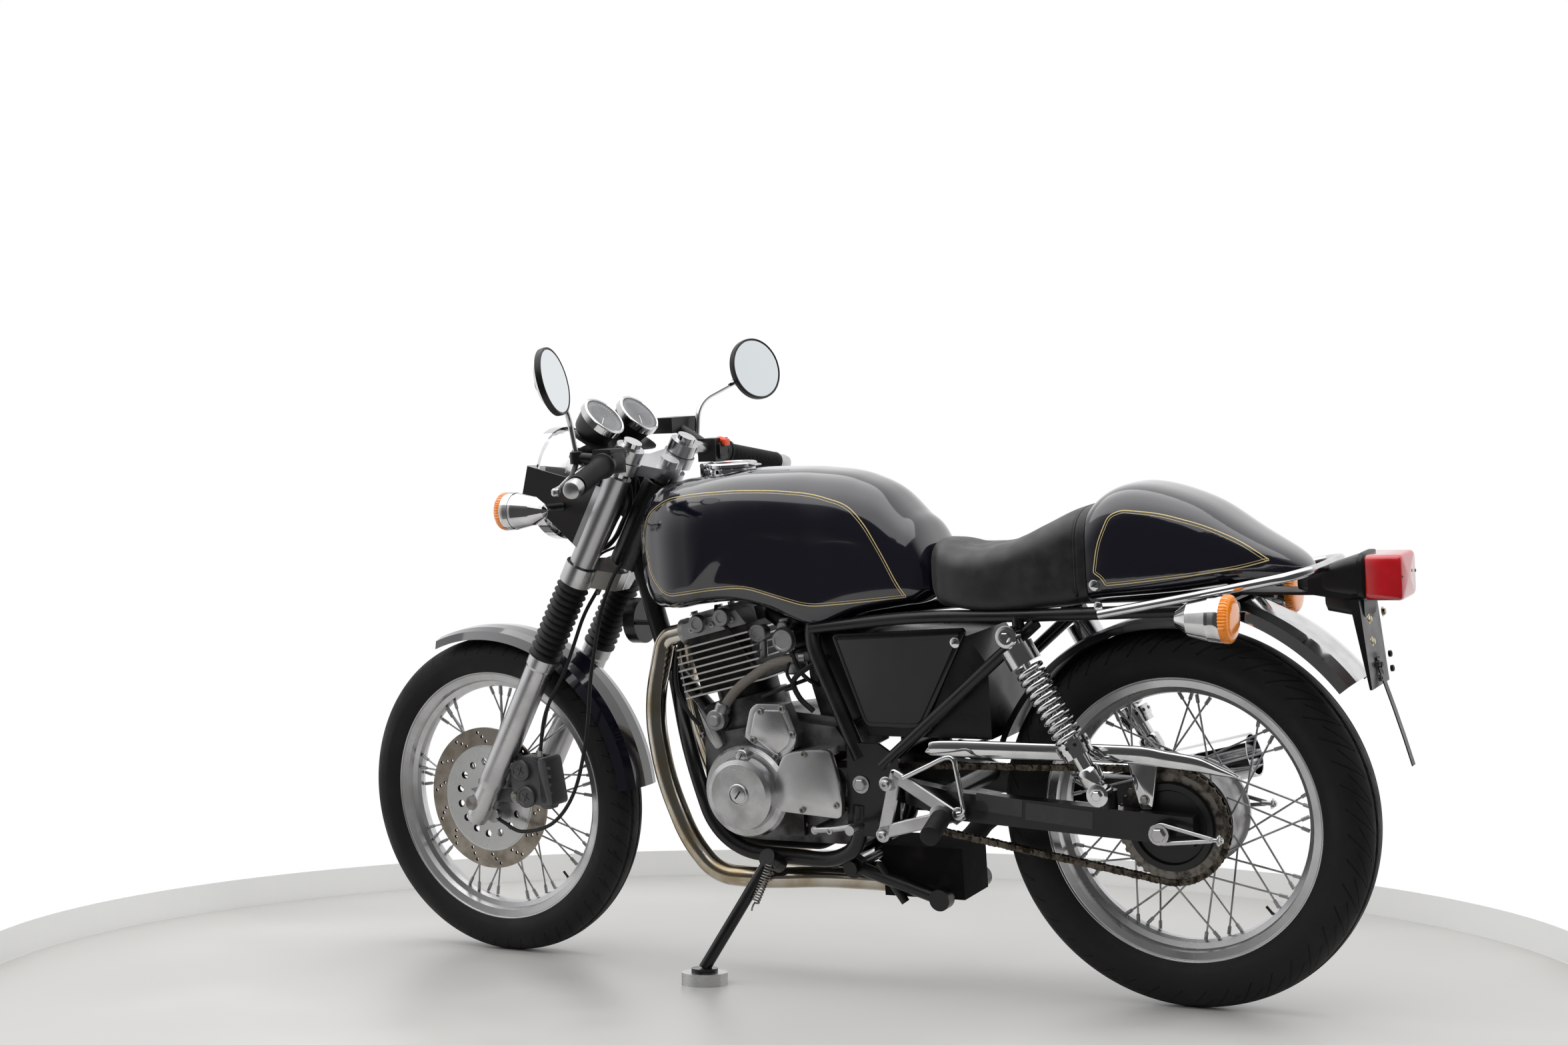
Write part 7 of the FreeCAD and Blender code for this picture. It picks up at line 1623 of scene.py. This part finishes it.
speedo = [(1052, 66, 770), (1058, 92, 742), (1066, 112, 700), (1076, 118, 660), (1100, 118, 561), (1118, 118, 450),
          (1156, 113, 345),
          (1216, 106, 280), (1300, 92, 256), (1352, 80, 268), (1374, 76, 277)]
drive = [lathe([(-6, 13), (-5, 14), (5, 14), (6, 13)], (1380, 74, 280), (0, 1, 0), 28, STEERED)]
joined("speedometer_cable", [sweep(speedo, 3.6, 12, STEERED)], "black_rubber", "steering", 60)
joined("speedometer_drive", drive, "cast_alloy", "steering")
ends = [lathe([(-6, 5.5), (6, 5.5), (8, 4)], (1122, 48, 716), (0.1, 0.6, -0.75), 20, STEERED),
        lathe([(-8, 5.5), (4, 5.5), (5, 4.5)], (1248, 92, 408), (0.2, -0.1, -0.95), 20, STEERED)]
joined("hose_ends", ends, "plain_steel", "steering")
print("spring, cable and fittings:", len(spring) + 1 + len(ends))
# %% [markdown]
# ## The room
#
# A round pale concrete floor ends at a low white skirting, and the wall above it is so bright
# that it has no shade. So the wall is the white world itself, and only the skirting is built:
# an arc on the far side, so that it hides nothing from the near side.

# %% Floor and skirting
ROOM = np.array((0.161, -0.182, 0.0))
FLOOR_RADIUS, FLOOR_STEPS, ARC_STEPS = 1.48, 192, 120
FAR_SIDE, HALF_ARC = -61.2, 105
SKIRT = ((1.481, 0.0), (1.481, 0.062), (1.495, 0.062), (1.495, 0.0))  # radius and height of the arc's edges


def around_room(angles):
    return np.stack([np.cos(angles), np.sin(angles), 0 * angles], 1)


def room_piece(name, points, faces, finish):
    mesh = bpy.data.meshes.new(name)
    mesh.from_pydata(points.tolist(), [], faces)
    mesh.materials.append(finish.material)
    made = bpy.data.objects.new(name, mesh)
    bpy.context.scene.collection.objects.link(made)
    return made


concrete = worn("concrete", (0.52, 0.51, 0.49), 0.5, 0.0, (1.3, 6),
                ((0.35, 0.7), (0.46, 0.455, 0.44), (0.54, 0.535, 0.52)),
                (0.3, 0.7, 0.3, 0.5), (70, 3, 0.05, 0.001))
edge = ROOM + FLOOR_RADIUS * around_room(np.linspace(0, 2 * np.pi, FLOOR_STEPS + 1)[:-1])
floor = room_piece("room_floor", edge, [tuple(range(FLOOR_STEPS))], concrete)

skirt = worn("skirting", (0.86, 0.86, 0.85), 0.5, 0.0, (4,), None, (0.3, 0.7, 0.4, 0.6))
arc = around_room(np.linspace(math.radians(FAR_SIDE - HALF_ARC), math.radians(FAR_SIDE + HALF_ARC), ARC_STEPS + 1))
band_points = np.concatenate([ROOM + radius * arc + (0, 0, height) for radius, height in SKIRT])
row = ARC_STEPS + 1
band_faces = [(start + i, start + i + 1, start + i + row + 1, start + i + row)
              for start in range(0, 3 * row, row) for i in range(ARC_STEPS)]
skirting = room_piece("room_skirting", band_points, band_faces, skirt)
print("room faces:", 1 + len(band_faces))

# %% [markdown]
# ## The light
#
# The wall is white to the eye. What the paint and the chrome mirror is less even: a bright
# ceiling and far wall, and a dim near side where the photographer stands. So the world is
# white for camera rays and shaded by direction for the others.

# %% Lamps and world
DARK_WAY, SHADE_BAND = (-0.50, 0.86, -0.25), (-0.15, 0.65, 0.92, 0.07)

world = bpy.data.worlds.new("studio")
bpy.context.scene.world = world
world.use_nodes = True
sky, sky_links = world.node_tree.nodes, world.node_tree.links
direction = sky.new("ShaderNodeTexCoord")
facing = sky.new("ShaderNodeVectorMath")
facing.operation = "DOT_PRODUCT"
sky_links.new(direction.outputs["Generated"], facing.inputs[0])
facing.inputs[1].default_value = DARK_WAY
shade = sky.new("ShaderNodeMapRange")
shade.interpolation_type = "SMOOTHSTEP"
for index, value in enumerate(SHADE_BAND):
    shade.inputs[index + 1].default_value = value
sky_links.new(facing.outputs["Value"], shade.inputs[0])
seen = sky.new("ShaderNodeLightPath")
choice = sky.new("ShaderNodeMix")
sky_links.new(seen.outputs["Is Camera Ray"], choice.inputs[0])
sky_links.new(shade.outputs[0], choice.inputs[2])
choice.inputs[3].default_value = 1.0
sky_links.new(choice.outputs[0], sky["Background"].inputs["Strength"])
sky["Background"].inputs["Color"].default_value = (1, 1, 1, 1)


def lamp(name, at, towards, size, power, mirrored=True):
    """A soft rectangle of light, which polished things mirror or don't."""
    light = bpy.data.lights.new(name, "AREA")
    light.shape, light.size, light.size_y, light.energy = "RECTANGLE", size[0], size[1], power
    body = bpy.data.objects.new(name, light)
    body.location = at
    body.visible_glossy = mirrored
    body.rotation_euler = (Vector(towards) - Vector(at)).to_track_quat("-Z", "Y").to_euler()
    bpy.context.scene.collection.objects.link(body)


lamp("overhead", (0.2, 0.6, 3.2), (0, 0, 0.4), (6.0, 5.0), 115)
lamp("left_soft", (-0.6, 3.9, 2.1), (0.1, 0, 0.5), (3.0, 1.6), 42, False)
lamp("rear_soft", (-3.4, 0.6, 1.9), (-0.3, 0, 0.5), (2.0, 2.0), 26, False)
bpy.context.scene.view_settings.view_transform = "Standard"
print("lamps:", len(bpy.data.lights))

# %% Finish
print("the scene is dressed")
